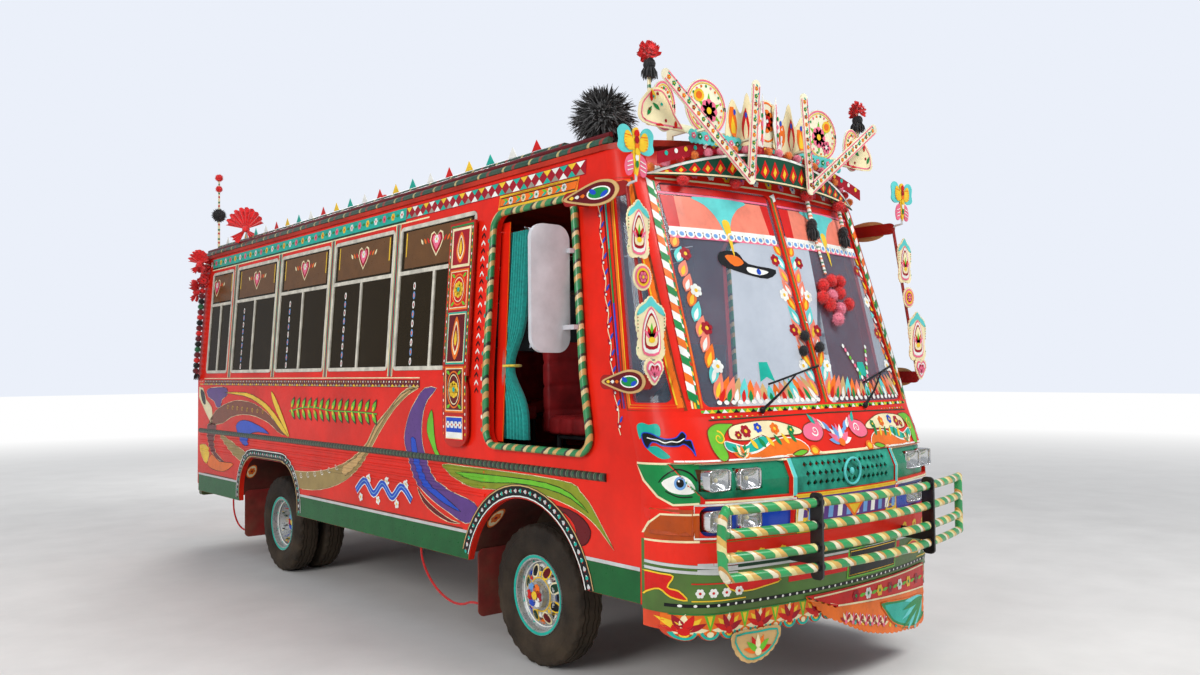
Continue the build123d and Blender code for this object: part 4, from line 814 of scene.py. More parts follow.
def paint_side(art, right_side):
    """Everything painted on one side of the body."""
    skirt = enamel("skirt", (20, 92, 44)) if right_side else e_green
    art.put(rect(-760, 5440, 690, 696), e_dark, 2)
    # Skirt and its rail, in finer steps beside the arches
    for u0, u1, fine in ((-962, -500, 20), (540, 900, 20), (900, 2780, 400), (2780, 3080, 20),
                         (4250, 4700, 20),
                         (4700, 5100, 400), (5100, 5470, 20)):
        art.put(rect(u0, u1, 515, 668), skirt, 0, fine)
        art.put(rect(u0, u1, 669, 687), e_silver, 2, fine)
    art.put(rect(1122, 5374, 1530, 1580), e_maroon, 0)
    art.teeth((1130, 1534), (5370, 1534), 18, 90, (e_tan, e_yellow, e_grey), 1)
    art.beads([(1130, 1567), (5370, 1567)], 38, 7, (e_white, e_tan), 1)
    art.put(rect(1122, 5374, 1590, 1597), e_cream, 1)
    for layer, mat, outline in side_sweeps:
        art.put(smooth(outline, 3), mat, layer, 50)
        art.stroke(smooth(outline, 2), 5, e_cream if layer == 1 else e_black, layer, closed=True)
    # Leaf row and ribbon scroll above and below the rub rail
    stem = smooth([(3180, 1330), (2800, 1372), (2400, 1352), (2000, 1352), (1700, 1345)], 6, closed=False)
    art.stroke(stem, 14, e_dark, 4)
    art.stroke(stem, 8, e_leaf, 5)
    for i in range(14):
        u = 3150 - i * 106
        for hand in (1, -1):
            for shape, mat, layer in ((1.0, e_dark, 4), (0.82, e_leaf, 5), (0.4, e_yellow, 6)):
                turn = 180 - hand * 52
                art.put(leaf(u - 4, 1356 + hand * 4, 112 * shape, 52 * shape, turn), mat, layer)
    scroll = smooth([(2010, 800), (1880, 880), (1750, 800), (1620, 880), (1490, 800), (1360, 880),
                     (1230, 800)], 6, closed=False)
    art.stroke(scroll, 58, e_white, 4)
    art.stroke(scroll, 44, e_blue, 5)
    art.stroke(scroll, 8, e_sky, 6)
    for i, (u, v) in enumerate(((1940, 760), (1815, 900), (1685, 760), (1555, 900), (1425, 760),
                                (1295, 900))):
        art.flower(u, v, 30, 5, e_white, e_yellow, 5, turn=20 * i)
    # White loops trailing along the sweeps
    for i in range(9):
        u = 3330 - i * 126
        v = 800 + 0.00012 * (3330 - u) ** 2
        art.curl(u, v + 22, 26, 200, 6, e_white, 6)
    for i in range(8):
        art.curl(4560 - i * 118, 1330 - 3 * i, 22, 160, 5, e_yellow, 6, hand=-1)
    # Arch trims
    for path in (front_arch, rear_arch):
        art.stroke(path, 74, e_black, 3)
        for off, width, mat in ((30, 7, e_tan), (-30, 7, e_white)):
            line = []
            for i, p in enumerate(path):
                q0, q1 = Vector(path[max(i - 1, 0)]), Vector(path[min(i + 1, len(path) - 1)])
                n = (q1 - q0).normalized()
                line.append((p[0] - n.y * off, p[1] + n.x * off))
            art.stroke(line, width, mat, 4)
        art.beads(path, 46, 12, (e_silver, e_teal), 4)
        art.beads(path, 23, 4, (e_red, e_white), 5)
    # Strips under the gutter
    art.put(rect(1430, 5440, 2655, 2738), e_teal, 1)
    art.put(rect(1430, 5440, 2640, 2655), e_dark, 1)
    for i in range(32):
        u = 1490 + i * 125
        art.flower(u, 2698, 26, 6, (e_white, e_yellow, e_pink)[i % 3], e_red, 2)
        art.put(leaf(u + 34, 2698, 54, 22, 0), e_green, 2)
    art.put(rect(-470, 1430, 2655, 2738), e_crimson, 1)
    art.teeth((-460, 2660), (1425, 2660), 34, 26, (e_grey, e_teal, e_white), 2)
    art.teeth((1425, 2733), (-460, 2733), 34, 26, (e_yellow, e_white, e_teal), 2)
    # Pale lines beside the panes
    for i in range(6):
        u = bay_start + bay_length * i
        if 1100 < u < 5400:
            for off, mat in ((-30, e_cream), (-15, e_teal), (0, e_crimson), (15, e_teal), (30, e_cream)):
                art.put(rect(u + off - 5, u + off + 5, 1602, 2636), mat, 1)
    art.put(rect(1122, 5380, 2630, 2640), e_cream, 1)
    # Header over the driver's door and the front pillar
    header = ((-420, 2648), (316, 2648), (330, 2578), (-400, 2578))
    art.put(header, e_orange, 1)
    art.stroke(header, 12, e_yellow, 2, closed=True)
    art.stroke([(u * 0.96 - 2, 2613 + (v - 2613) * 0.66) for u, v in header], 6, e_dark, 2, closed=True)
    for i in range(5):
        art.flower(-290 + i * 124, 2613, 22, 8, (e_white, e_cream)[i % 2], e_green, 2)
        for turn, mat in ((20, e_leaf), (-20, e_teal)):
            art.put(leaf(-262 + i * 124, 2613, 50, 16, turn), mat, 2)


for hand, node, name, body in (
    (-1, "side_wall_right", "side_paint_right", "root"),
    (1, "side_wall_left", "side_paint_left", "root"),
    (1, "passenger_door", "door_paint", "entry_door"),
):
    art = Art([node], from_side(hand), (-hand, 0, 0), swage_rows + door_rows, door_cols, step=400)
    paint_side(art, hand < 0)
    art.done(name, body)


# Fluffy and hanging pieces
golden_angle = 2.399963


def sphere_points(n):
    """Evenly spread directions."""
    out = []
    for i in range(n):
        z = 1 - 2 * (i + 0.5) / n
        a = i * golden_angle
        r = sqrt(1 - z * z)
        out.append(Vector((r * cos(a), r * sin(a), z)))
    return out


def tube(heap, points, radius, mat, sides=10, twist=None):
    """Round tube along points; radius is one number or one for each point."""
    path = [Vector(p) for p in points]
    last = len(path) - 1
    rings = []
    side_dir = None
    for i, p in enumerate(path):
        way = (path[min(i + 1, last)] - path[max(i - 1, 0)]).normalized()
        if side_dir is None:
            side_dir = way.orthogonal().normalized()
        side_dir = (side_dir - way * side_dir.dot(way)).normalized()
        other = way.cross(side_dir)
        r = radius[i] if isinstance(radius, (list, tuple)) else radius
        rings.append([p + (side_dir * cos(2 * pi * k / sides) + other * sin(2 * pi * k / sides)) * r
                      for k in range(sides)])
    verts = [v for ring in rings for v in ring]
    faces = []
    for i in range(last):
        for k in range(sides):
            j = (k + 1) % sides
            faces.append((i * sides + k, i * sides + j, (i + 1) * sides + j, (i + 1) * sides + k))
    faces.append(tuple(range(sides))[::-1])
    faces.append(tuple(last * sides + k for k in range(sides)))
    heap.add(verts, faces, mat)


def ball(heap, centre, r, mat, rings=8, sides=12, squash=(1, 1, 1), rough=0.0):
    """Closed ball, lumpy where rough is above nothing."""
    c = Vector(centre)
    verts = [c + Vector((0, 0, r * squash[2]))]
    for i in range(1, rings):
        a = pi * i / rings
        for k in range(sides):
            b = 2 * pi * (k + 0.5 * (i % 2)) / sides
            q = r * (1 + rng.uniform(-rough, rough))
            verts.append(c + Vector((q * sin(a) * cos(b) * squash[0], q * sin(a) * sin(b) * squash[1],
                                     q * cos(a) * squash[2])))
    verts.append(c - Vector((0, 0, r * squash[2])))
    end = len(verts) - 1
    faces = [(0, 1 + k, 1 + (k + 1) % sides) for k in range(sides)]
    for i in range(rings - 2):
        for k in range(sides):
            j = (k + 1) % sides
            p, q = 1 + i * sides, 1 + (i + 1) * sides
            faces.append((p + k, q + k, q + j, p + j))
    p = 1 + (rings - 2) * sides
    faces += [(end, p + (k + 1) % sides, p + k) for k in range(sides)]
    heap.add(verts, faces, mat)


def pompom(heap, centre, r, mat, spikes=150, squash=(1, 1, 1)):
    """Ball of yarn ends."""
    ball(heap, centre, r * 0.74, mat, 7, 12, squash, 0.06)
    c = Vector(centre)
    for d in sphere_points(spikes):
        d = Vector([d[axis] + rng.uniform(-0.12, 0.12) for axis in range(3)])
        d.normalize()
        side_dir = d.orthogonal().normalized()
        other = d.cross(side_dir)
        reach = r * rng.uniform(0.86, 1.0)
        w = r * 0.085
        base = [c + (d * r * 0.62 + (side_dir * cos(a) + other * sin(a)) * w) for a in (0, 2.1, 4.2)]
        tip = c + d * reach
        verts = [c + Vector([(p - c)[axis] * squash[axis] for axis in range(3)]) for p in base + [tip]]
        heap.add(verts, [(0, 1, 3), (1, 2, 3), (2, 0, 3)], mat)


def petal_rose(heap, centre, r, mat, facing, layers=3, per=7):
    """Ruffled cloth flower of overlapping cupped petals."""
    c = Vector(centre)
    n = Vector(facing).normalized()
    a_dir = n.orthogonal().normalized()
    b_dir = n.cross(a_dir)
    ball(heap, c, r * 0.34, mat, 6, 10, rough=0.1)
    for layer in range(layers):
        size = r * (1 - 0.26 * layer)
        lift = r * (0.12 + 0.26 * layer)
        for i in range(per):
            a = 2 * pi * (i + 0.5 * layer) / per
            out = a_dir * cos(a) + b_dir * sin(a)
            across = n.cross(out)
            grid = []
            for u in range(5):
                t = u / 4
                w = size * 0.42 * sin(pi * (0.18 + 0.7 * t))
                for k in range(-2, 3):
                    ruffle = 0.09 * r * (1 if k % 2 else -1) * t
                    grid.append(c + out * size * (0.15 + 0.85 * t) + across * w * k / 2
                                + n * (lift + size * 0.30 * t * t + ruffle))
            faces = []
            for u in range(4):
                for k in range(4):
                    p = u * 5 + k
                    faces.append((p, p + 1, p + 6, p + 5))
            heap.add(grid, faces, mat)


def tassel(heap, top, length, r, mat, cap=None, strands=26):
    """Tied head with a skirt of hanging strands."""
    t = Vector(top)
    ball(heap, t - Vector((0, 0, r * 0.6)), r * 0.62, cap or mat, 6, 10, (1, 1, 1.15), 0.05)
    for i in range(strands):
        a = golden_angle * i
        q = sqrt((i + 0.5) / strands)
        out = Vector((cos(a), sin(a), 0))
        start = t - Vector((0, 0, r)) + out * r * 0.42 * q
        run = length * rng.uniform(0.84, 1.0) - r
        mid = start + out * r * 0.42 * q - Vector((0, 0, run * 0.45))
        tip = start + out * r * rng.uniform(0.4, 0.62) * q - Vector((0, 0, run))
        tube(heap, [start, mid, tip], [r * 0.10, r * 0.12, r * 0.05], mat, 3)


y_red = fibre("yarn_red", (208, 20, 18))
y_black = fibre("yarn_black", (16, 15, 17), 0.25)
y_orange = fibre("yarn_orange", (236, 112, 26))
y_pink = fibre("yarn_pink", (238, 120, 140))
y_yellow = fibre("yarn_yellow", (240, 196, 60))
y_maroon = fibre("yarn_maroon", (104, 12, 26))
y_green = fibre("yarn_green", (24, 104, 60))
plume = fibre("plume", (24, 20, 19), 0.5, 0.5)

# Feather balls: blades that grow from a lumpy heart and droop at their tips
low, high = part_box("feather_balls")
ball_z = (low[2] + high[2]) / 2
ball_y = (low[1] + high[1]) / 2
ball_r = (high[2] - low[2]) / 2
blades, blade_joints = 1700, 5
heap = Heap()
for side in (-1, 1):
    heart_c = Vector((side * 0.8, ball_y, ball_z))
    ball(heap, heart_c - Vector((0, 0, 0.02)), ball_r * 0.62, plume, 10, 16, (1, 1, 1.0), 0.12)
    ball(heap, heart_c - Vector((0, 0, ball_r * 0.78)), ball_r * 0.22, plume, 6, 10, (1.3, 1.3, 1.0), 0.1)
    for d in sphere_points(blades):
        if d.z < -0.86:
            continue
        d = (d + Vector([rng.uniform(-0.34, 0.34) for _ in range(3)])).normalized()
        across = d.cross(Vector((0, 0, 1)) if abs(d.z) < 0.9 else Vector((1, 0, 0))).normalized()
        across = (across + d.cross(across) * rng.uniform(-0.8, 0.8)).normalized()
        bend = (Vector((0, 0, -1)) * rng.uniform(0.04, 0.34) + across.cross(d) * rng.uniform(-0.3, 0.3))
        reach = ball_r * rng.uniform(0.76, 1.04)
        verts, faces = [], []
        for i in range(blade_joints + 1):
            t = i / blade_joints
            p = heart_c + d * (ball_r * 0.45 + (reach - ball_r * 0.45) * t) + bend * ball_r * 0.5 * t * t
            w = 0.0048 * sin(pi * (0.12 + 0.84 * t)) + 0.0006
            verts += [p - across * w, p + d * 0.004 + bend * 0.002, p + across * w]
        for i in range(blade_joints):
            a = i * 3
            faces += [(a, a + 1, a + 4, a + 3), (a + 1, a + 2, a + 5, a + 4)]
        heap.add(verts, faces, plume)
obj = heap.done("feather_plumes", smooth=True, slot="feather")
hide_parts("feather_balls")

# Poles with cloth flowers and black tassels
crown_face = at(-880)
pole_facts = (      # X of both poles, Y, base, top, then height, radius and yarn of each ball
    (0.885, crown_face + 0.0163, 2.853, 3.27, ((3.24, 0.062, y_red), (3.14, 0.052, y_black))),
    (0.90, at(5250) + 0.018, 2.872, 3.60,
     ((3.56, 0.045, y_red), (3.45, 0.040, y_red), (3.19, 0.080, y_black))),
)
pole_candy = candy("pole_candy", (0, 0, 1), 0.09,
                   ((0.0, (226, 210, 160)), (0.4, (190, 40, 30)), (0.6, (230, 214, 170)),
                                                   (0.8, (30, 110, 60))), wobble=0.01)
heap = Heap()
poles = [(hand * x, *rest) for x, *rest in pole_facts for hand in (-1, 1)]
for x, y, base, top, balls in poles:
    tube(heap, [(x, y, base), (x, y, (base + top) / 2), (x, y, top - 0.02)], [0.011, 0.010, 0.007],
         pole_candy, 10)
    for z, r, yarn in balls:
        if yarn is y_red and x * x < 0.8:
            petal_rose(heap, (x, y, z - 0.02), r * 0.95, yarn, (x * 0.4, -1, 0.6))
            petal_rose(heap, (x, y, z - 0.02), r * 0.9, yarn, (-x * 0.2, 1, 0.5), 2)
        elif yarn is y_black and r < 0.06:
            ball(heap, (x, y, z + 0.03), 0.02, yarn, 6, 10)
            for off, length, share in ((-0.012, 0.11, 0.8), (0.012, 0.10, 0.7)):
                tassel(heap, (x, y + off, z + 0.045), length, r * share, yarn)
        else:
            pompom(heap, (x, y, z), r, yarn, 170)
obj = heap.done("pole_flowers", slot="pompom")
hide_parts("roof_poles")

# Garland of tufts down the right rear corner, with a bow at its head
low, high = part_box("corner_garland")
garland_y = (low[1] + high[1]) / 2
heap = Heap()
tuft_z = low[2] + 0.05
tuft_row = (y_maroon, y_black, y_red, y_maroon, y_green, y_black, y_maroon, y_red)
k = 0
while tuft_z < high[2] - 0.04:
    tuft_x = half_w(tuft_z) + 0.0385
    pompom(heap, (-tuft_x - 0.001, garland_y, tuft_z), 0.040, tuft_row[k % len(tuft_row)], 110,
           (0.94, 1, 0.9))
    tuft_z += 0.052
    k += 1
top_x = -half_w(high[2]) - 0.03
tube(heap, [(-half_w(low[2]) - 0.036, garland_y, low[2] + 0.02), (top_x, garland_y, high[2] - 0.01)], 0.006,
     y_black, 6)
for drop, r, tilt in ((0.06, 0.085, 0.3), (0.20, 0.075, 0.1)):
    petal_rose(heap, (top_x, garland_y, high[2] - drop), r, y_red, (-0.6, -0.7, tilt))
tassel(heap, (-half_w(low[2]) - 0.03, garland_y, low[2] + 0.06), 0.10, 0.032, y_black, y_red)
obj = heap.done("corner_tufts", slot="garland")
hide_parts("corner_garland")

# Tyres with ribs, shoulder lugs and sidewall rings
tread = (       # distance from the middle of the width, radius
    (-64, 206), (-68, 218), (-74, 226), (-82, 240), (-90, 262), (-94.5, 290), (-95, 304), (-93, 322),
    (-90, 330),
    (-89, 338), (-88, 340), (-84, 362), (-78, 378), (-70, 384.5),
    (-52, 387.4), (-50, 380), (-45, 380), (-43, 387.6), (-25, 388), (-23, 380.5), (-19, 380.5), (-17, 388),
    (0, 388),
)
tread = tread + tuple((-x, r) for x, r in reversed(tread[:-1]))


def road_tyre(heap, cx, cy, cz, mat, sides=120):
    """Tyre about an axle in metres: a ring of sections, with lugs at the shoulders."""
    verts = []
    for i in range(sides):
        a = 2 * pi * i / sides
        lug = i % 4 < 2
        for j, (x, r) in enumerate(tread):
            if 350 < r < 386 and abs(x) > 65 and not lug:
                r -= 7
            shift = 3.2 * (1 if (i // 2) % 2 else -1) if abs(x) < 55 and r < 389 else 0
            verts.append((cx + (x + shift) / 1000, cy + r / 1000 * sin(a), cz + r / 1000 * cos(a)))
    n = len(tread)
    faces = []
    for i in range(sides):
        k = (i + 1) % sides
        for j in range(n):
            m = (j + 1) % n
            faces.append((i * n + j, k * n + j, k * n + m, i * n + m))
    heap.add(verts, faces, mat)


tyre_black = paint("tyre_black", (17, 17, 18), 0.66, 0.0, 0.25, 9, bump=0.25, grain=140, dust=0.22)
wheel_places = (        # key, tyre's node, body, X of each wheel, Y of the axle
    ("front_right", "tyre_front_right", "wheel_front_right", (-0.890,), front_axle_y),
    ("front_left", "tyre_front_left", "wheel_front_left", (0.890,), front_axle_y),
    ("rear_right", "tyres_rear_right", "wheels_rear_right", (-0.895, -0.670), rear_axle_y),
    ("rear_left", "tyres_rear_left", "wheels_rear_left", (0.895, 0.670), rear_axle_y),
)
for key, node, body, places, y in wheel_places:
    heap = Heap()
    for x in places:
        road_tyre(heap, x, y, wheel_radius, tyre_black)
    obj = heap.done("road_tyre_" + key, body, slot="tyre")
    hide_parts(node)

# Painted wheels: u runs along Y from the axle and v up from it
for key, node, body, places, y in wheel_places:
    rim_node = ("rims_" if "rear" in key else "rim_") + key
    hand = -1 if places[0] < 0 else 1

    def place(u, v, hand=hand, y=y):
        return Vector((hand * 1.9, y + u / 1000, wheel_radius + v / 1000))

    art = Art([rim_node], place, (-hand, 0, 0), step=45, jump=0.03)
    for r, width, mat, layer in ((211, 15, e_teal, 1), (192, 14, e_teal, 1), (180, 6, e_white, 2)):
        art.stroke(oval(0, 0, r, r, 0, 48), width, mat, layer, closed=True)
    holes = 8
    for i in range(holes):
        a = 360 * i / holes + 22.5
        c, s = cos(radians(a)), sin(radians(a))
        c2, s2 = cos(radians(a + 180 / holes)), sin(radians(a + 180 / holes))
        art.put(oval(132 * c, 132 * s, 38, 33, a, 14), (e_yellow, e_cream)[i % 2], 1)
        art.put(oval(132 * c, 132 * s, 28, 24, a, 14), (e_dark, e_black, e_maroon)[i % 3], 2)
        art.put(oval(150 * c2, 150 * s2, 26, 15, a + 180 / holes + 90, 12),
                (e_blue, e_white, e_orange)[i % 3], 1)
        art.put(leaf(96 * c2, 96 * s2, 60, 26, a + 180 / holes), (e_red, e_yellow, e_white)[i % 3], 1)
    art.stroke(oval(0, 0, 92, 92, 0, 36), 8, e_yellow, 2, closed=True)
    for i in range(6):
        a = 60 * i
        art.put(leaf(0, 0, 84, 62, a), (e_red, e_sky, e_orange, e_crimson, e_white, e_blue)[i], 3, step=30)
    art.put(oval(0, 0, 24, 24, 0, 14), e_yellow, 5, step=15)
    art.done("wheel_paint_" + key, body, slot="wheel_paint")

# Pompom row along the visor's upper edge
visor_skin = skin(["visor"])
row_x = (-845, -762, -680, -598, -512, -428, -342, -256, -170, -85)
row_yarn = (y_orange, y_pink, y_red, y_orange, y_pink, y_pink, y_orange, y_pink, y_red, y_orange, y_pink)
heap = Heap()
for k, x in enumerate([*row_x, 0, *[-v for v in reversed(row_x)]]):
    z = 2.86
    hit = None
    while hit is None and z > 2.55:
        hit = front_of(visor_skin, x / 1000, z)
        z -= 0.002
    pompom(heap, (x / 1000, hit.y + 0.004, z + 0.022), 0.030, row_yarn[k % len(row_yarn)], 90)
heap.done("visor_pompoms", slot="pompom")

# Pompoms and tassels hung from the visor in front of the screen
face_skin = skin(["windscreen_surround", "front_glass", "visor", "front_mask"])


def face_y(x, z, off=0.0):
    """Place on Y just ahead of the front at X and a height."""
    hit = front_of(face_skin, x, z)
    return (hit.y if hit else -2.75) - off


rope_candy = candy("rope_candy", (0.3, 0.3, 1), 0.05,
                   ((0.0, (236, 232, 220)), (0.3, (236, 112, 30)), (0.55, (240, 236, 226)),
                                                       (0.78, (30, 120, 66))), wobble=0.004)
drops = (       # X, top, drop of the rope, radius of the head
    (0.30, 2.62, 0.16, 0.050), (0.66, 2.60, 0.15, 0.050), (-0.30, 2.62, 0.0, 0.040),
    (-0.66, 2.60, 0.0, 0.040),
)
heap = Heap()
for x, z, drop, r in drops:
    y = face_y(x, z, r * 0.8)
    pompom(heap, (x, y, z), r, y_red, 180, (1.15, 0.9, 0.85))
    if drop:
        low_y = face_y(x, z - drop, 0.034)
        tube(heap, [(x, y, z - r * 0.5), (x, (y + low_y) / 2, z - drop * 0.6), (x, low_y, z - drop)], 0.012,
             rope_candy, 8)
        tassel(heap, (x, low_y, z - drop + 0.02), 0.13, 0.048, y_black, strands=44)
        pompom(heap, (x, low_y, z - drop - 0.03), 0.042, y_black, 140, (1, 0.8, 1.2))
cluster = ((0.235, 2.09), (0.33, 2.12), (0.29, 2.03), (0.385, 2.05), (0.25, 1.98), (0.34, 1.96), (0.42, 2.12),
           (0.45, 1.99), (0.29, 1.90), (0.20, 2.02))
for k, (x, z) in enumerate(cluster):
    y = face_y(x, z, 0.036)
    pompom(heap, (x, y, z), 0.048, (y_red, y_red, y_pink)[k % 3], 130, (1, 0.8, 1))
for x, z in ((-0.10, 1.72), (-0.055, 1.80), (0.045, 1.74)):
    pompom(heap, (x, face_y(x, z, 0.03), z), 0.038, y_black, 110, (1, 0.8, 1))
tube(heap, [(0.33, face_y(0.33, z, 0.010), z) for z in (2.60, 2.40, 2.16)], 0.008, rope_candy, 8)
heap.done("screen_pompoms", slot="pompom")


# Painted mask with the lamps' surrounds
e_amber = enamel("amber", (176, 72, 16))
front_rows = [v for z in (2606, 2757) for v in (z - 1, z + 1)]
mask_art = Art(["front_mask", "lamp_panels"], place_front, (0, 1, 0), (830,), step=50, jump=0.12)
mask_shapes = (     # layer, enamel, outline; each has its mirror image
    (1, e_teal, ((-776, 1284), (-732, 1274), (-668, 1259), (-616, 1283), (-551, 1302), (-508, 1289),
                 (-536, 1260),
                 (-609, 1232), (-695, 1225), (-762, 1238), (-783, 1259))),
    (2, e_leaf, ((-853, 1339), (-800, 1366), (-735, 1366), (-700, 1361), (-744, 1335), (-776, 1300),
                 (-789, 1265),
                 (-780, 1229), (-791, 1199), (-827, 1198), (-853, 1239), (-862, 1287))),
    (1, e_cream, ((-721, 1350), (-608, 1369), (-472, 1373), (-376, 1356), (-279, 1323), (-292, 1299),
                  (-397, 1297),
                  (-508, 1289), (-550, 1304), (-628, 1284), (-719, 1288), (-744, 1308))),
    (2, e_orange, ((-716, 1213), (-611, 1227), (-533, 1256), (-482, 1277), (-402, 1287), (-309, 1269),
                   (-267, 1221),
                   (-357, 1184), (-464, 1203), (-599, 1197))),
    (2, e_pink, ((-239, 1341), (-127, 1356), (-118, 1298), (-170, 1262), (-240, 1266), (-272, 1295))),
    (3, e_leaf, ((-395, 1205), (-330, 1225), (-285, 1215), (-340, 1196))),
    (1, e_yellow, ((-424, 955), (-366, 954), (-305, 869), (-317, 814), (-422, 825))),
)
for layer, mat, outline in mask_shapes:
    for sx in (1, -1):
        line = smooth([(sx * u, v) for u, v in outline], 3)
        mask_art.put(line, mat, layer)
        mask_art.stroke(line, 5, e_white if mat in (e_teal, e_orange) else e_brown, layer + 1, closed=True)
for sx in (-1, 1):
    # Light veins and flowers in the band above the lamps
    for i, (u, v, r) in enumerate(((640, 1326, 30), (560, 1340, 24), (455, 1332, 28), (350, 1322, 22),
                                   (690, 1310, 20))):
        mask_art.flower(sx * u, v, r, 6, (e_crimson, e_blue, e_orange, e_green)[i % 4], e_yellow, 4,
                        turn=15 * i)
    for i in range(6):
        mask_art.put(leaf(sx * (600 - 52 * i), 1240 + 4 * i, 62, 24, 60 if sx > 0 else 120),
                     (e_yellow, e_green)[i % 2], 4)
    mask_art.curl(sx * 805, 1300, 34, 90, 9, e_yellow, 4, hand=sx)
    mask_art.curl(sx * 180, 1310, 28, 200, 8, e_white, 4, hand=-sx)
    for i in range(4):
        mask_art.put(leaf(sx * (60 + 32 * i), 1300 + 14 * i, 66, 26, 90 - sx * 35),
                     (e_sky, e_white, e_pink, e_teal)[i], 3)
    # Swags with white and orange leaves beside the grille's band
    for i in range(7):
        a = 20 + 22 * i
        mask_art.put(leaf(sx * 700, 1205, 60 + 6 * (i % 3), 24, a), (e_orange, e_cream, e_green)[i % 3], 3)
    # Lines round the lamp pockets
    rim = [(sx * 940, 1186), (sx * 446, 1186), (sx * 446, 1008), (sx * 930, 1013)]
    mask_art.stroke(rim, 10, e_cream, 2)
    mask_art.stroke([(sx * (446 - 12), 1200), (sx * 1010, 1199)], 8, e_white, 2)
    mask_art.put([(sx * 446, 1190), (sx * 420, 1190), (sx * 420, 1012), (sx * 446, 1012)], e_aqua, 1)
    low_rim = [(sx * 425, 1000), (sx * 968, 1000), (sx * 968, 846), (sx * 425, 846)]
    mask_art.stroke(smooth(low_rim, 1), 9, e_white, 2, closed=True)
    # Pendant under the band: heart flower with a lozenge tail
    px = sx * 235
    for r, mat, layer in ((82, e_cream, 5), (70, e_crimson, 6)):
        mask_art.put(heart(px, 1140, r), mat, layer)
    for a in (30, 90, 150, 210, 270, 330):
        mask_art.put(leaf(px, 1150, 52, 22, a), e_orange, 7)
    mask_art.put(oval(px, 1150, 16, 16), e_yellow, 8)
    for half, top, foot, mat, layer in ((28, 1084, 1010, e_cream, 5), (18, 1074, 1024, e_green, 6)):
        mask_art.put([(px - half, 1052), (px, top), (px + half, 1052), (px, foot)], mat, layer)
    for ru, rv, mat, layer in ((34, 26, e_orange, 5), (20, 15, e_yellow, 6)):
        mask_art.put(oval(px, 1215, ru, rv), mat, layer)
# Bars and triangles between the lamps under the grille
mask_art.put(rect(-418, 418, 878, 1004), e_purple, 1)
for i in range(12):
    u = -396 + i * 72
    mask_art.put([(u - 22, 886), (u + 14, 886), (u + 22, 948), (u - 14, 948)], (e_white, e_sky)[i % 2], 2)
    mask_art.put(oval(u, 972, 11, 11, 0, 10), (e_yellow, e_orange)[i % 2], 2)
mask_art.stroke([(-416, 1002), (416, 1002)], 8, e_yellow, 2)
mask_art.put([(-82, 952), (100, 951), (10, 868)], e_orange, 3)
mask_art.put([(-40, 936), (58, 935), (10, 886)], e_yellow, 4)
# Frame round the grille and its plain ring
mask_art.stroke([(-436, 1202), (436, 1202)], 12, e_cream, 2)
mask_art.stroke([(-428, 1012), (428, 1012)], 10, e_yellow, 2)
# Lower mask between the lamps and the bumper line
for sx in (-1, 1):
    for i in range(5):
        mask_art.flower(sx * (120 + 150 * i), 790, 26, 6, (e_white, e_yellow)[i % 2], e_blue, 2)
        for v, turn, mat in ((796, 0, e_leaf), (784, -10, e_teal)):
            mask_art.put(leaf(sx * (150 + 150 * i), v, 60, 20, turn if sx > 0 else 180 - turn), mat, 2)
# White petals in the middle of the band
for i in range(9):
    a = 10 + 20 * i
    mask_art.put(leaf(0, 1245, 96, 34, a), (e_white, e_pink, e_sky)[i % 3], 4 + i % 2)
mask_art.put(oval(0, 1245, 26, 20), e_orange, 7)
# Row of dots and candy line under the screen
mask_art.beads([(-820, 1398), (-400, 1408), (0, 1412), (400, 1408), (820, 1398)], 34, 8,
               (e_white, e_yellow, e_leaf), 3)
mask_art.stroke([(-830, 1384), (-400, 1392), (0, 1396), (400, 1392), (830, 1384)], 6, e_dark, 2)
mask_art.done("mask_paint")

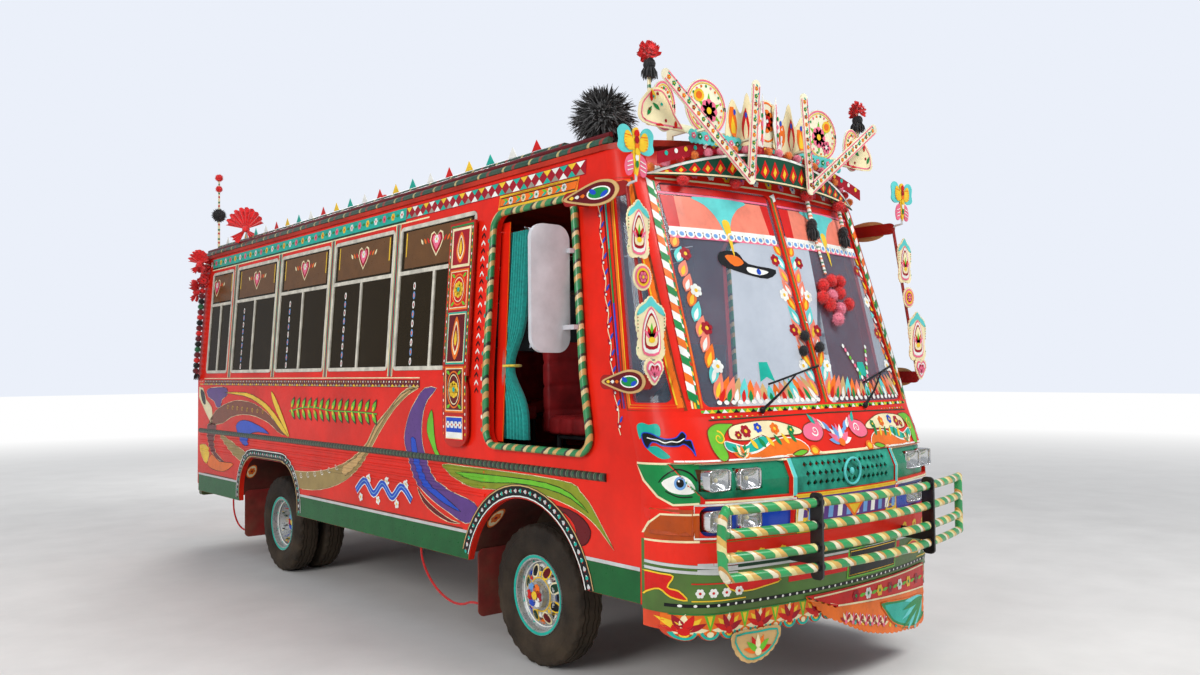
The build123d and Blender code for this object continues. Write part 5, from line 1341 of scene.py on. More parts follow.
# Corners of the mask, painted along the diagonal
for sx, key in ((-1, "right"), (1, "left")):
    diag, way = Vector((-0.7615 * sx, -0.648, 0)), Vector((-0.648 * sx, 0.7615, 0))

    def place(u, v, diag=diag, way=way):
        # u rises towards the middle of the front on both sides
        return diag * (u / 1000) - way * 5 + Vector((0, 0, v / 1000))

    art = Art(["front_mask", "front_bumper", "signal_lamps", "lamp_panels"], place, way, (830,), step=26,
              jump=0.15)
    # Leaf and ribbon over the eye
    art.put(smooth([(1065, 1364), (1088, 1376), (1117, 1367), (1153, 1372), (1170, 1350), (1168, 1314),
                    (1139, 1317),
                    (1107, 1329), (1088, 1325), (1078, 1297), (1067, 1330)], 3), e_teal, 1)
    art.put(smooth([(1087, 1291), (1116, 1266), (1151, 1268), (1182, 1249), (1214, 1218), (1175, 1209),
                    (1131, 1233),
                    (1100, 1265)], 3), e_teal, 1)
    ribbon = smooth([(1088, 1326), (1126, 1327), (1164, 1309), (1203, 1301), (1244, 1309), (1268, 1334),
                     (1288, 1317),
                     (1283, 1296), (1309, 1295), (1319, 1270), (1331, 1223), (1314, 1251), (1279, 1278),
                     (1253, 1269),
                     (1215, 1268), (1176, 1271), (1151, 1284), (1129, 1283), (1112, 1256), (1092, 1285)], 3)
    art.put(ribbon, e_black, 2)
    art.stroke(ribbon, 5, e_blue, 3, closed=True)
    art.stroke(smooth([(1110, 1306), (1135, 1300), (1160, 1296), (1190, 1284), (1220, 1290), (1250, 1288),
                       (1280, 1304)], 4, closed=False), 5, e_white, 4)
    # Painted eye in the lamp panel
    art.put([(1345, 1186), (1066, 1181), (1098, 1105), (1158, 1037), (1225, 1004), (1345, 1010)], e_green, 4,
            9)
    art.put(smooth([(1173, 1100), (1212, 1127), (1250, 1136), (1290, 1123), (1318, 1093), (1324, 1066),
                    (1299, 1052),
                    (1248, 1051), (1204, 1064)], 3), e_white, 7, 9)
    art.put(oval(1256, 1100, 27, 30), e_sky, 9, 9)
    art.put(oval(1256, 1101, 17, 19), e_black, 10, 9)
    art.put(oval(1250, 1110, 5, 5, 0, 8), e_white, 11, 9)
    art.stroke(smooth([(1160, 1100), (1180, 1126), (1212, 1150), (1250, 1161), (1301, 1144), (1334, 1108)], 4,
                      closed=False), 9, e_black, 8, taper=(0.5, 1))
    art.stroke(smooth([(1190, 1062), (1248, 1038), (1310, 1040)], 5, closed=False), 6, e_black, 8)
    # Lines round the panel and the signal lamp
    art.stroke(smooth([(1340, 1190), (1063, 1184), (1095, 1105), (1155, 1035), (1223, 1000), (1340, 1008)], 1,
                      closed=False), 10, e_cream, 7)
    art.stroke([(1076, 838), (1113, 912), (1163, 956), (1340, 958)], 9, e_cream, 2)
    art.stroke([(1070, 828), (1340, 834)], 9, e_cream, 2)
    art.put([(1076, 838), (1113, 912), (1163, 956), (1340, 958), (1340, 838)], e_amber, 1)
    art.put([(1060, 990), (1060, 850), (1076, 840), (1113, 912), (1163, 958), (1250, 960), (1250, 990)],
            body_red, 1)
    # Red band over the strips, chrome double strip, flames and the lower panel
    art.put([(1000, 738), (1144, 734), (1333, 726), (1520, 717), (1520, 829), (1000, 829)], body_red, 1)
    for off in (0, -27):
        art.put([(1000, 738 + off), (1144, 733 + off), (1333, 725 + off), (1520, 716 + off),
                 (1520, 702 + off),
                 (1333, 711 + off), (1144, 719 + off), (1000, 724 + off)], e_silver, 4)
    flame = smooth([(1019, 640), (1080, 680), (1162, 680), (1219, 672), (1193, 620), (1243, 606), (1281, 564),
                    (1205, 576), (1155, 609), (1098, 585), (1066, 551), (1025, 581)], 3)
    art.put(flame, e_red, 2)
    art.stroke(flame, 7, e_yellow, 3, closed=True)
    for i in range(4):
        art.flower(1340 + 62 * i, 596, 22, 6, e_white, e_red, 3)
    art.stroke([(1300, 640), (1560, 640)], 6, e_red, 3)
    art.stroke([(1300, 560), (1560, 560)], 6, e_yellow, 3)
    art.done("corner_paint_" + key)

# Bumper: studded dark line, plain plate in its frame, flames and flowers; scalloped panel below
low_art = Art(["front_bumper", "fringe_panel"], place_front, (0, 1, 0), (500, 502), step=34, jump=0.12)
low_art.put(rect(-960, 960, 722, 829), body_red, 1)
for v, mat in ((728, e_silver), (700, e_silver), (714, e_dark)):
    low_art.put(rect(-960, 960, v - 6, v + 6), mat, 2)
low_art.put(rect(-470, 470, 600, 690), e_red, 1)
low_art.stroke([(-1040, 538), (1040, 538)], 16, e_black, 1)
low_art.beads([(-1030, 538), (1030, 538)], 46, 6.5, (e_white,), 2)
low_art.put(rect(-41, 431, 556, 711), e_leaf, 2)
low_art.put(rect(-30, 420, 564, 702), e_black, 3)
low_art.stroke([(-22, 572), (412, 572), (412, 694), (-22, 694)], 5, e_yellow, 4, closed=True)
for sx in (-1, 1):
    reach = smooth([(sx * 520, 620), (sx * 640, 668), (sx * 760, 640), (sx * 860, 690), (sx * 820, 610),
                    (sx * 720, 590),
                    (sx * 620, 600)], 3)
    low_art.put(reach, e_red, 2)
    low_art.stroke(reach, 6, e_yellow, 3, closed=True)
    for i in range(3):
        low_art.flower(sx * (520 + 130 * i), 760, 26, 7, e_yellow, e_red, 2)
low_art.put(rect(-1040, 1040, 404, 498), e_orange, 1)
for i in range(23):
    u = -990 + 90 * i
    rim = [(u + 35 * cos(radians(a)), 420 + 35 * sin(radians(a))) for a in range(190, 351, 20)]
    low_art.stroke(rim, 12, e_teal, 3)
    low_art.put(oval(u, 404, 15, 13, 0, 10), (e_yellow, e_cream)[i % 2], 3)
for i in range(12):
    u = -990 + 180 * i
    low_art.lotus(u, 418, 84, 90, (e_cream, e_crimson, e_yellow, e_red), 2, 9, 170)
    low_art.put([(u + 66, 492), (u + 114, 492), (u + 90, 412)], e_leaf, 2)
    low_art.put([(u + 78, 488), (u + 102, 488), (u + 90, 440)], e_yellow, 3)
low_art.stroke([(-1030, 497), (1030, 497)], 8, e_green, 3)
low_art.done("bumper_paint")

# Screen surround
frame_art = Art(["windscreen_surround"], place_front, (0, 1, 0), front_rows, step=110, jump=0.1)
for sx in (-1, 1):
    for foot, top, width, mat in ((850, 800, 10, e_orange), (868, 816, 16, e_green), (884, 832, 10, e_yellow),
                                  (898, 846, 9, e_cream)):
        frame_art.stroke([(sx * foot, 1440), (sx * top, 2590)], width, mat, 1)
    for i in range(24):
        z = 1470 + 46 * i
        x = 868 - 52 * (z - 1440) / 1150
        frame_art.put(oval(sx * x, z, 6, 13, 20, 10), (e_yellow, e_red, e_white)[i % 3], 2)
frame_art.stroke([(-9, 1450), (-9, 2590)], 9, e_green, 1)
frame_art.stroke([(4, 1450), (4, 2590)], 9, e_orange, 1)
frame_art.stroke([(-860, 1424), (-400, 1430), (0, 1432), (400, 1430), (860, 1424)], 12, e_leaf, 1)
frame_art.teeth((-850, 1416), (850, 1420), 18, 48, (e_white, e_yellow, e_black), 2)
frame_art.stroke([(-800, 2604), (0, 2616), (800, 2604)], 10, e_cream, 1)
for i in range(15):
    u = -770 + 110 * i
    frame_art.flower(u, 2650, 26, 6, (e_white, e_yellow, e_pink)[i % 3], e_blue, 1)
# Candy bars along the screen's edges and its middle post
candy_mats = (e_green, e_white, e_orange, e_white)
for i in range(26):
    z = 1462 + 43 * i
    edge = 806 + 0.045 * (2585 - z)
    for sx in (-1, 1):
        inner_u, outer_u = sx * (edge + 14), sx * (edge + 52)
        frame_art.put([(inner_u, z), (outer_u, z + 24), (outer_u, z + 67), (inner_u, z + 43)],
                      candy_mats[i % 4], 6)
    frame_art.put([(-24, z), (24, z + 20), (24, z + 63), (-24, z + 43)], candy_mats[i % 4], 6)
frame_art.done("surround_paint")

# Orange frame round the corner panes, stripes and a vine down the post behind them
for key, sx in (("right", -1), ("left", 1)):
    post_art = Art(["windscreen_surround", "side_wall_" + key], from_side(sx), (-sx, 0, 0), step=30, jump=0.1)
    post_art.stroke([(-1120, 1446), (-760, 2584), (-674, 2584), (-880, 1446)], 20, e_orange, 2, closed=True)
    post_art.stroke([(-1136, 1432), (-768, 2600), (-656, 2600), (-864, 1432)], 7, e_brown, 2, closed=True)
    post_art.stroke([(-1107, 1459), (-756, 2574), (-683, 2574), (-890, 1459)], 5, e_yellow, 3, closed=True)

    def beside(off, z):
        """A point behind the pane's rear edge."""
        return -900 + 210 * (z - 1470) / 1095 + off, z

    for top, foot, mat in ((2540, 2240, e_teal), (2240, 1960, e_green), (1960, 1700, e_blue),
                           (1700, 1440, e_purple)):
        post_art.stroke([beside(66, foot), beside(66, top)], 13, mat, 2)
    post_art.stroke([beside(84, 1440), beside(84, 2540)], 7, e_maroon, 2)
    vine = [beside(118 + 9 * sin(z / 26), z) for z in range(1310, 2541, 30)]
    post_art.stroke(vine, 6, e_cream, 2)
    for i in range(15):
        u, z = beside(118, 1340 + 82 * i)
        for off, turn, mat in ((0, 60, e_crimson), (30, 120, e_blue)):
            post_art.put(leaf(u, z + off, 40, 16, turn), mat, 3)
        post_art.put(oval(u, z + 12, 7, 7, 0, 8), e_white, 4)
    post_art.done("post_paint_" + key)

# Small medallions on the rear wall of each arch liner
for key, axle in (("front", 0), ("rear", 3535)):
    liner_art = Art(["arch_liners"], lambda u, v, axle=axle: Vector((u / 1000, at(axle), v / 1000)),
                    (0, 1, 0), step=24,
                    jump=0.12)
    for sx in (-1, 1):
        for ru, rv, mat, layer in ((46, 62, e_orange, 1), (38, 52, e_cream, 2)):
            liner_art.put(oval(sx * 968, 770, ru, rv, 0, 24), mat, layer)
        liner_art.flower(sx * 968, 772, 32, 6, e_orange, e_crimson, 3)
    liner_art.done("liner_medallions_" + key)

# Film and transfers on the screen
pane_art = Art(["front_glass"], place_front, (0, 1, 0), step=110, jump=0.1)
film_bands = (      # top and foot, left and right share at the top, the same at the foot, enamel, layer
    (2575, 2540, 0.01, 0.99, 0.01, 0.99, e_red, 1), (2538, 2526, 0.01, 0.99, 0.01, 0.99, e_pink, 1),
    (2520, 2330, 0.02, 0.13, 0.02, 0.11, e_red, 1), (2520, 2330, 0.13, 0.90, 0.11, 0.93, e_salmon, 1),
    (2520, 2330, 0.90, 0.98, 0.93, 0.98, e_red, 1), (2352, 2330, 0.02, 0.98, 0.02, 0.98, e_white, 2),
)
for x0, x1 in ((-806, -32), (32, 806)):
    def across(t, z, x0=x0, x1=x1):
        """A point on the pane by its share of the way across, where the outer edge leans."""
        lean = 0.045 * (2585 - z) * (1 if x0 > 0 else -1)
        a = x0 - (lean if x0 < 0 else 0)
        b = x1 + (lean if x0 > 0 else 0)
        return a + (b - a) * t, z

    for top, foot, a, b, c, d, mat, layer in film_bands:
        pane_art.put([across(a, top), across(b, top), across(d, foot), across(c, foot)], mat, layer)
    drip = [across(t, z) for t, z in ((0.28, 2524), (0.74, 2524), (0.66, 2480), (0.58, 2420), (0.53, 2340),
                                      (0.51, 2250), (0.48, 2340), (0.43, 2430), (0.36, 2485))]
    pane_art.put(smooth(drip, 3), e_aqua, 2)
    tip = [across(t, z) for t, z in ((0.48, 2400), (0.545, 2400), (0.53, 2300), (0.51, 2210), (0.495, 2300))]
    pane_art.put(smooth(tip, 3), e_yellow, 3)
    for i in range(14):
        u, z = across(0.04 + 0.07 * i, 2318)
        pane_art.put(oval(u, z, 26, 22, 0, 12), e_white, 3)
        pane_art.put(oval(u, z - 2, 14, 12, 0, 10), e_sky, 4)
    pane_art.put([across(0.01, 2306), across(0.99, 2306), across(0.99, 2292), across(0.01, 2292)], e_pink, 3)
    # Flames and foliage along both edges and the foot
    for edge, sx in ((0.0, 1), (1.0, -1)):
        for i in range(11):
            u, z = across(edge, 1480 + 76 * i)
            tall = 150 - 6 * i
            pane_art.put(leaf(u + sx * 8, z, tall, 56, 62 if sx > 0 else 118),
                         (e_salmon, e_aqua, e_orange, e_salmon)[i % 4], 1 + i % 2)
            pane_art.put(leaf(u + sx * 14, z + 8, tall * 0.6, 24, 62 if sx > 0 else 118),
                         (e_yellow, e_white)[i % 2], 3)
        for i in range(4):
            u, z = across(edge, 1640 + 190 * i)
            pane_art.flower(u + sx * 70, z, 34, 6, (e_white, e_crimson)[i % 2], e_yellow, 4, turn=12 * i)
    for i in range(15):
        u, z = across(0.035 + 0.066 * i, 1462)
        tall = 84 + 38 * abs(i - 7) / 7 * 2
        pane_art.put(leaf(u, z, tall, 50, 90 + 5 * (i - 7)), (e_orange, e_salmon, e_tan, e_aqua)[i % 4],
                     1 + i % 2)
        pane_art.put(leaf(u, z, tall * 0.55, 26, 90 + 5 * (i - 7)), (e_red, e_green, e_white)[i % 3], 3)
    for i in range(17):
        u, z = across(0.03 + 0.0588 * i, 1464)
        pane_art.put(oval(u, z, 15, 11, 0, 10), e_white, 5)
    pane_art.put([across(0.46, 1660), across(0.43, 1560), across(0.50, 1585), across(0.57, 1560),
                  across(0.54, 1660)], e_teal, 4)
# Pale garland in a V on the left-hand pane
pane_art.beads([(300, 1760), (455, 1520), (560, 1760)], 26, 12, (e_white, e_pink, e_white, e_leaf), 6)
# Dark painted brows over the left of the driver's pane
brow = smooth([(-497, 2231), (-380, 2238), (-317, 2178), (-116, 2156), (-200, 2103), (-379, 2125),
               (-511, 2167)], 3)
pane_art.put(brow, e_black, 2)
pane_art.put(smooth([(-470, 2212), (-390, 2216), (-350, 2180), (-420, 2160)], 3), e_orange, 3)
pane_art.put(smooth([(-330, 2160), (-240, 2152), (-180, 2140), (-250, 2120), (-330, 2132)], 3), e_white, 3)
pane_art.put(oval(-255, 2138, 16, 16), e_blue, 4)
pane_art.done("screen_transfers")


# Boards of the crown, the arms and the rods

def plate(heap, outline, place_3d, normal, thick, mat):
    """Flat board: an outline placed in space, as thick as given along its normal."""
    n = Vector(normal).normalized() * thick
    front_face = [place_3d(u, v) for u, v in outline]
    back_face = [p - n for p in front_face]
    count = len(outline)
    tris = tessellate_polygon([[Vector((u, v, 0)) for u, v in outline]])
    faces = []
    for a, b, c in tris:
        pa, pb, pc = front_face[a], front_face[b], front_face[c]
        if (pb - pa).cross(pc - pa).dot(n) < 0:
            a, b, c = c, b, a
        faces.append((a, b, c))
        faces.append((count + c, count + b, count + a))
    for i in range(count):
        j = (i + 1) % count
        faces.append((i, j, count + j, count + i))
    heap.add(front_face + back_face, faces, mat)


def scalloped(outline, pitch, depth):
    """An outline with small outward bumps along it."""
    pts = [Vector(p) for p in outline]
    middle = sum(pts, Vector((0, 0))) / len(pts)
    out = []
    for a, b in zip(pts, pts[1:] + pts[:1]):
        run = (b - a).length
        steps = max(1, round(run / pitch)) * 4
        n = Vector(((b - a).y, -(b - a).x)).normalized()
        if n.dot((a + b) / 2 - middle) < 0:
            n = -n
        for i in range(steps):
            t = i / steps
            p = a.lerp(b, t) + n * depth * abs(sin(pi * t * steps / 4))
            out.append((p.x, p.y))
    return out


def art_on(heap_like, place_of, toward, **more):
    """Art cast on a heap of boards instead of on CAD nodes."""
    art = Art([], place_of, toward, **more)
    art.tree = BVHTree.FromPolygons(heap_like.verts, heap_like.faces)
    return art


def paint_pane(pane, u):
    """Heart with sprays on the upper pane, a garland down the lower one."""
    pane.put(rect(u - 404, u + 404, 2276, 2568), e_film, 1, 40)
    for edge in (-392, 380):
        pane.put(rect(u + edge, u + edge + 12, 2300, 2560), e_yellow, 2)
    for v, r, mat, layer in ((2462, 84, e_cream, 2), (2462, 72, e_crimson, 3), (2466, 50, e_pink, 4)):
        pane.put(heart(u, v, r), mat, layer)
    pane.flower(u, 2480, 26, 6, e_white, e_yellow, 5)
    for hand in (-1, 1):
        for k in range(3):
            pane.put(leaf(u + hand * (88 + 40 * k), 2462, 50, 20, 90 - hand * 40),
                     (e_red, e_orange, e_cream)[k], 2)
    for k in range(9):
        z = 1700 + 62 * k
        pane.put(oval(u + 250, z, 15, 26, 0, 12), (e_white, e_sky)[k % 2], 1)
        pane.put(oval(u + 250, z, 7, 14, 0, 10), (e_crimson, e_orange)[k % 2], 2)


boards = Heap()


def on_crown(off):
    """Places on an upright plane, off millimetres ahead of the crown's front."""
    return lambda u, v: Vector((u / 1000, crown_face - off / 1000, v / 1000))


def band_foot(x):
    """Foot of the red band behind the pompoms, millimetres."""
    return 2640 + 158 * (1 - (x / 905) ** 2)


wing = smooth([(-960, 2850), (-985, 2930), (-944, 2990), (-896, 3032), (-830, 3040), (-785, 3003),
               (-750, 2950),
               (-729, 2913), (-672, 2851), (-700, 2846)], 4)
spire = [(60, 2850), (30, 2990), (56, 3150), (84, 2990), (100, 2850)]
petals = smooth([(-330, 2850), (-345, 2960), (-300, 3080), (-230, 3010), (-180, 3135), (-120, 3020),
                 (-40, 3110),
                 (-50, 2960), (-60, 2850)], 4)
strip = scalloped([(-640, 2800), (-250, 2812), (-250, 2866), (-640, 2860)], 30, 8)
for sx in (1, -1):
    for outline, off, mat in ((wing, 16, e_cream), (petals, 14, e_cream), (spire, 22, e_white),
                              (strip, 26, e_aqua)):
        plate(boards, [(sx * u, v) for u, v in outline], on_crown(off), (0, -1, 0), 0.005, mat)
# Red band behind the pompom row
band_low = [(x, band_foot(x)) for x in range(-860, 861, 86)]
band = band_low + [(x, z + 62) for x, z in reversed(band_low)]
plate(boards, band, on_crown(12), (0, -1, 0), 0.004, e_crimson)
boards.done("crown_leaves", slot="board_paint")

crown_art = art_on(boards, place_front, (0, 1, 0), step=200)
for sx in (1, -1):
    inner = [(sx * (-835 + (u + 835) * 0.86), 2935 + (v - 2935) * 0.86) for u, v in wing]
    crown_art.stroke(inner, 7, e_pink, 1, closed=True)
    for i in range(9):
        u, v = -930 + 28 * i, 2890 + 90 * sin(i * 0.9)
        crown_art.put(leaf(sx * u, v, 58, 22, 60 + 30 * i), (e_green, e_red, e_yellow)[i % 3], 2)
        crown_art.put(oval(sx * (u + 14), v + 30, 9, 9, 0, 8), (e_crimson, e_teal)[i % 2], 2)
    for i in range(3):
        crown_art.put(leaf(sx * (-290 + 95 * i), 2862, 210 - 20 * i, 66, 96 - 6 * i),
                      (e_orange, e_red, e_orange)[i], 1)
        crown_art.put(leaf(sx * (-290 + 95 * i), 2862, 130, 34, 96 - 6 * i), (e_yellow, e_cream, e_white)[i],
                      2)
        crown_art.put(oval(sx * (-286 + 92 * i), 3010, 10, 16), e_blue, 3)
    crown_art.stroke([(sx * 64, 2862), (sx * 56, 3110)], 6, e_pink, 1)
    for i in range(5):
        crown_art.put(oval(sx * 66, 2890 + 46 * i, 9, 13), (e_pink, e_green)[i % 2], 2)
    for i in range(8):
        crown_art.flower(sx * (-615 + 48 * i), 2834, 17, 5, (e_pink, e_green)[i % 2], e_white, 2)
for i in range(24):
    x = -800 + 70 * i
    crown_art.put(oval(x, band_foot(x) + 44, 13, 13, 0, 10), (e_teal, e_white, e_yellow)[i % 3], 1)
crown_art.done("crown_leaf_paint")

# Ovals of the crown: the rays start behind the ribbons
oval_art = Art(["crown_boards"], lambda u, v: Vector((u / 1000, -2.89, v / 1000)), (0, 1, 0), step=200)
for sx in (1, -1):
    for x, z, w, h in ((490, 3005, 310, 300), (800, 2960, 170, 260)):
        for inset, width, mat in ((9, 9, e_pink), (22, 6, e_yellow)):
            oval_art.stroke(oval(sx * x, z, w / 2 - inset, h / 2 - inset, 0, 40), width, mat, 1, closed=True)
        for i in range(20):
            a = 2 * pi * i / 20
            oval_art.put(oval(sx * x + (w / 2 - 38) * cos(a), z + (h / 2 - 38) * sin(a), 8, 8, 0, 8),
                         (e_orange, e_pink, e_green)[i % 3], 1)
    oval_art.put(oval(sx * 545, 3062, 40, 34, 20), e_yellow, 2)
    oval_art.put(oval(sx * 545, 3062, 24, 20, 20), e_orange, 3)
    oval_art.flower(sx * 470, 2990, 62, 8, e_pink, e_yellow, 2)
    oval_art.flower(sx * 540, 2940, 40, 6, e_pink, e_white, 2)
    for i in range(6):
        oval_art.put(leaf(sx * 470, 2990, 96, 24, 30 + 60 * i), e_leaf, 1)
    oval_art.flower(sx * 800, 2970, 46, 7, e_orange, e_yellow, 2)
    oval_art.put(leaf(sx * 800, 2900, 60, 26, 90), e_red, 2)
oval_art.stroke(oval(0, 3005, 84, 108, 0, 36), 10, e_orange, 1, closed=True)
oval_art.flower(0, 3010, 64, 8, e_orange, e_yellow, 2)
oval_art.flower(0, 3010, 34, 6, e_red, e_white, 4)
oval_art.done("crown_oval_paint")

# Ribbons of the crown: pink edges, small flowers
ribbon_art = Art(["crown_boards"], lambda u, v: Vector((u / 1000, -3.1, v / 1000)), (0, 1, 0), step=200,
                 jump=0.01)
for sx in (1, -1):
    for x1, z1, x2, z2 in ((255, 2640, 880, 3080), (255, 2640, 205, 3150)):
        a, b = Vector((sx * x1, z1)), Vector((sx * x2, z2))
        along_ribbon = (b - a).normalized()
        n = Vector((-along_ribbon.y, along_ribbon.x))
        for off in (-24, 24):
            p, q = a + n * off, b + n * off
            ribbon_art.stroke([(p.x, p.y), (q.x, q.y)], 7, e_pink, 1)
        count = int((b - a).length // 42)
        for i in range(count):
            p = a.lerp(b, (i + 0.6) / count)
            ribbon_art.flower(p.x, p.y, 13, 5, (e_crimson, e_green, e_orange)[i % 3], e_yellow, 1)
            ribbon_art.put(leaf(p.x + 12, p.y + 10, 22, 9, 45 + 90 * (i % 2)), e_teal, 1)
ribbon_art.done("crown_ribbon_paint")



def visor_edges(x):
    """Heights of the visor's foot and top, millimetres."""
    bow = 1 - (x / 900) ** 2
    return 2612 + 28 * bow, 2610 + 185 * bow


# Visor: lozenges between a white rim and a cream foot
visor_art = Art(["visor"], place_front, (0, 1, 0), step=60)
visor_art.stroke([(x, visor_edges(x)[1] - 9) for x in range(-880, 881, 40)], 13, e_white, 2)
visor_art.stroke([(x, visor_edges(x)[0] + 8) for x in range(-870, 871, 60)], 9, e_cream, 2)
lozenges = (        # half width, then shares of the height for the near side, tip, far side and foot
    (36, 0.30, 0.20, 0.42, 0.12, e_red, 1), (14, 0.36, 0.42, 0.42, 0.22, e_yellow, 2),
)
for i in range(20):
    x = -760 + 80 * i
    foot, top = visor_edges(x)
    tall = top - foot
    for half, near, tip, far, low_tip, mat, layer in lozenges:
        visor_art.put([(x - half, foot + near * tall), (x, top - tip * tall), (x + half, foot + far * tall),
                       (x, foot + low_tip * tall)], mat, layer)
visor_art.done("visor_paint")

# Boards and butterflies hung on the rods before the corner panes
hang_skin = skin(["hanging_boards"])


def hang_y(x, z):
    """Place on Y of the front of the CAD boards."""
    return front_of(hang_skin, x, z, -4.4).y


low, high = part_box("hanging_boards")
ornaments = Heap()
rows = (        # middle height, half width, half height, kind
    (2290, 77, 145, "arch"), (2060, 60, 65, "disc"), (1820, 100, 155, "arch"), (1620, 65, 70, "heart"),
)
arch_shape = ((-0.62, -0.98), (0, -0.92), (0.62, -0.98), (0.92, -0.72), (0.80, -0.34), (0.94, 0.02),
              (0.98, 0.38),
              (0.78, 0.66), (0.40, 0.78), (0, 0.99), (-0.40, 0.78), (-0.78, 0.66), (-0.98, 0.38),
              (-0.94, 0.02),
              (-0.80, -0.34), (-0.92, -0.72))


def sized(shape, u, v, w, h, k=1.0):
    return [(u + x * w * k, v + y * h * k) for x, y in shape]


heart_shape = ((0, -1.0), (0.66, -0.30), (0.98, 0.20), (0.80, 0.72), (0.40, 0.86), (0, 0.62), (-0.40, 0.86),
               (-0.80, 0.72), (-0.98, 0.20), (-0.66, -0.30))
wing_up = ((8, 10), (40, 96), (84, 112), (113, 84), (108, 40), (114, 4), (84, -18), (40, -14))
wing_low = ((10, -20), (52, -34), (70, -78), (58, -122), (30, -118), (14, -70))
for sx in (-1, 1):
    for z, w, h, kind in rows:
        y = hang_y(sx * arm_x, z / 1000)
        rod_y = at(-1100 + 150 * (z - 1570) / 930)
        shape = {"arch": arch_shape, "disc": [(cos(a * pi / 8), sin(a * pi / 8)) for a in range(16)],
                 "heart": heart_shape}[kind]
        edge = scalloped(smooth(sized(shape, 0, 0, w - 5, h - 5), 2), 22, 4.5)
        plate(ornaments, edge, lambda u, v, y=y, z=z,
              sx=sx: Vector((sx * arm_x + u / 1000, y, (z + v) / 1000)),
              (0, -1, 0), 0.007, e_cream)
        tube(ornaments, [(sx * arm_x, y + 0.004, z / 1000), (sx * arm_x, rod_y, z / 1000)], 0.006, e_silver,
             8)
    y = hang_y(sx * arm_x, 2.64)
    for hand in (-1, 1):
        for shape, mat in ((wing_up, e_aqua), (wing_low, e_pink)):
            edge = [(hand * u, v) for u, v in smooth(shape, 4)]
            plate(ornaments, edge,
                  lambda u, v, y=y, sx=sx: Vector((sx * arm_x + u / 1000, y, 2.665 + v / 1000)), (0, -1, 0),
                  0.006, mat)
    body_edge = smooth([(0, 118), (20, 96), (24, 40), (20, -40), (0, -118), (-20, -40), (-24, 40),
                        (-20, 96)], 3)
    plate(ornaments, body_edge, lambda u, v, y=y,
          sx=sx: Vector((sx * arm_x + u / 1000, y - 0.003, 2.655 + v / 1000)),
          (0, -1, 0), 0.012, e_yellow)
    tube(ornaments, [(sx * arm_x, y + 0.004, 2.56), (sx * arm_x, y + 0.004, 2.52),
                     (sx * arm_x, y + 0.05, 2.515),
                     (sx * arm_x, at(-955), 2.505)], 0.007, e_silver, 8)
obj = ornaments.done("hanging_ornaments", slot="board_paint")
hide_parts("hanging_boards")

hang_art = art_on(ornaments, place_front, (0, 1, 0), step=400, jump=0.006)
for sx in (-1, 1):
    cx = sx * 1120
    for z, w, h, kind in rows:
        if kind == "arch":
            hang_art.put(smooth(sized(((-0.9, 0.36), (-0.70, 0.60), (-0.34, 0.74), (0, 0.94), (0.34, 0.74),
                                       (0.70, 0.60),
                                       (0.9, 0.36), (0.5, 0.46), (0, 0.66), (-0.5, 0.46)), cx, z, w, h), 3),
                                       e_aqua, 1)
            for k, mat in ((0.80, e_pink), (0.72, e_white), (0.60, e_crimson), (0.50, e_cream)):
                arch = smooth(sized(((-0.6, -0.9), (0.6, -0.9), (0.72, -0.2), (0.5, 0.42), (0, 0.86),
                                     (-0.5, 0.42),
                                     (-0.72, -0.2)), cx, z - h * 0.06, w, h, k), 3)
                hang_art.put(arch, mat, 2 + (0.80, 0.72, 0.60, 0.50).index(k))
            for i in range(5):
                hang_art.put(leaf(cx, z - h * 0.34, h * (0.5 - 0.04 * abs(i - 2)), w * 0.22,
                                  90 + 24 * (i - 2)),
                             (e_pink, e_red, e_leaf, e_red, e_pink)[i], 6)
            hang_art.put(oval(cx, z - h * 0.36, w * 0.2, h * 0.09), e_yellow, 7)
            for i in range(12):
                t = i / 11
                for hand in (-1, 1):
                    hang_art.put(oval(cx + hand * w * 0.84, z - h * 0.7 + h * 1.1 * t, 3.6, 3.6, 0, 6),
                                 (e_crimson, e_green)[i % 2], 2)
        elif kind == "disc":
            for k, mat in ((0.82, e_pink), (0.66, e_yellow), (0.48, e_crimson)):
                hang_art.put(oval(cx, z, w * k, h * k, 0, 18), mat, 2 + int((0.82 - k) * 10))
            hang_art.flower(cx, z, w * 0.42, 6, e_pink, e_yellow, 6)
        else:
            for k, mat in ((0.80, e_pink), (0.62, e_white), (0.46, e_crimson)):
                hang_art.put(smooth(sized(heart_shape, cx, z, w, h, k), 2), mat, 2 + int((0.80 - k) * 10))
            for i in range(5):
                hang_art.put(leaf(cx, z - 26, 56, 15, 90 + 26 * (i - 2)), e_pink, 6)
    for hand in (-1, 1):
        inner = [(cx + hand * u, 2665 + v) for u,
                 v in smooth([(14, 12), (36, 76), (66, 84), (78, 40), (64, 4), (34, -6)],
                                                                 3)]
        hang_art.put(inner, e_yellow, 2)
        for i in range(5):
            hang_art.stroke([(cx + hand * 26, 2668 + 15 * i), (cx + hand * 72, 2676 + 14 * i)], 5, e_orange,
                            3)
        for i in range(4):
            hang_art.stroke([(cx + hand * 24, 2634 - 20 * i), (cx + hand * 58, 2622 - 20 * i)], 5, e_white, 2)
    for k, (v, mat) in enumerate(((2742, e_red), (2712, e_crimson), (2684, e_orange), (2656, e_yellow),
                                  (2628, e_white),
                                  (2596, e_green))):
        hang_art.put(oval(cx, v, 17 - 1.4 * k, 18, 0, 12), mat, 4 + k % 2)
    for hand in (-1, 1):
        hang_art.put(oval(cx + hand * 9, 2764, 7, 7, 0, 8), e_pink, 6)
hang_art.done("hanging_paint")

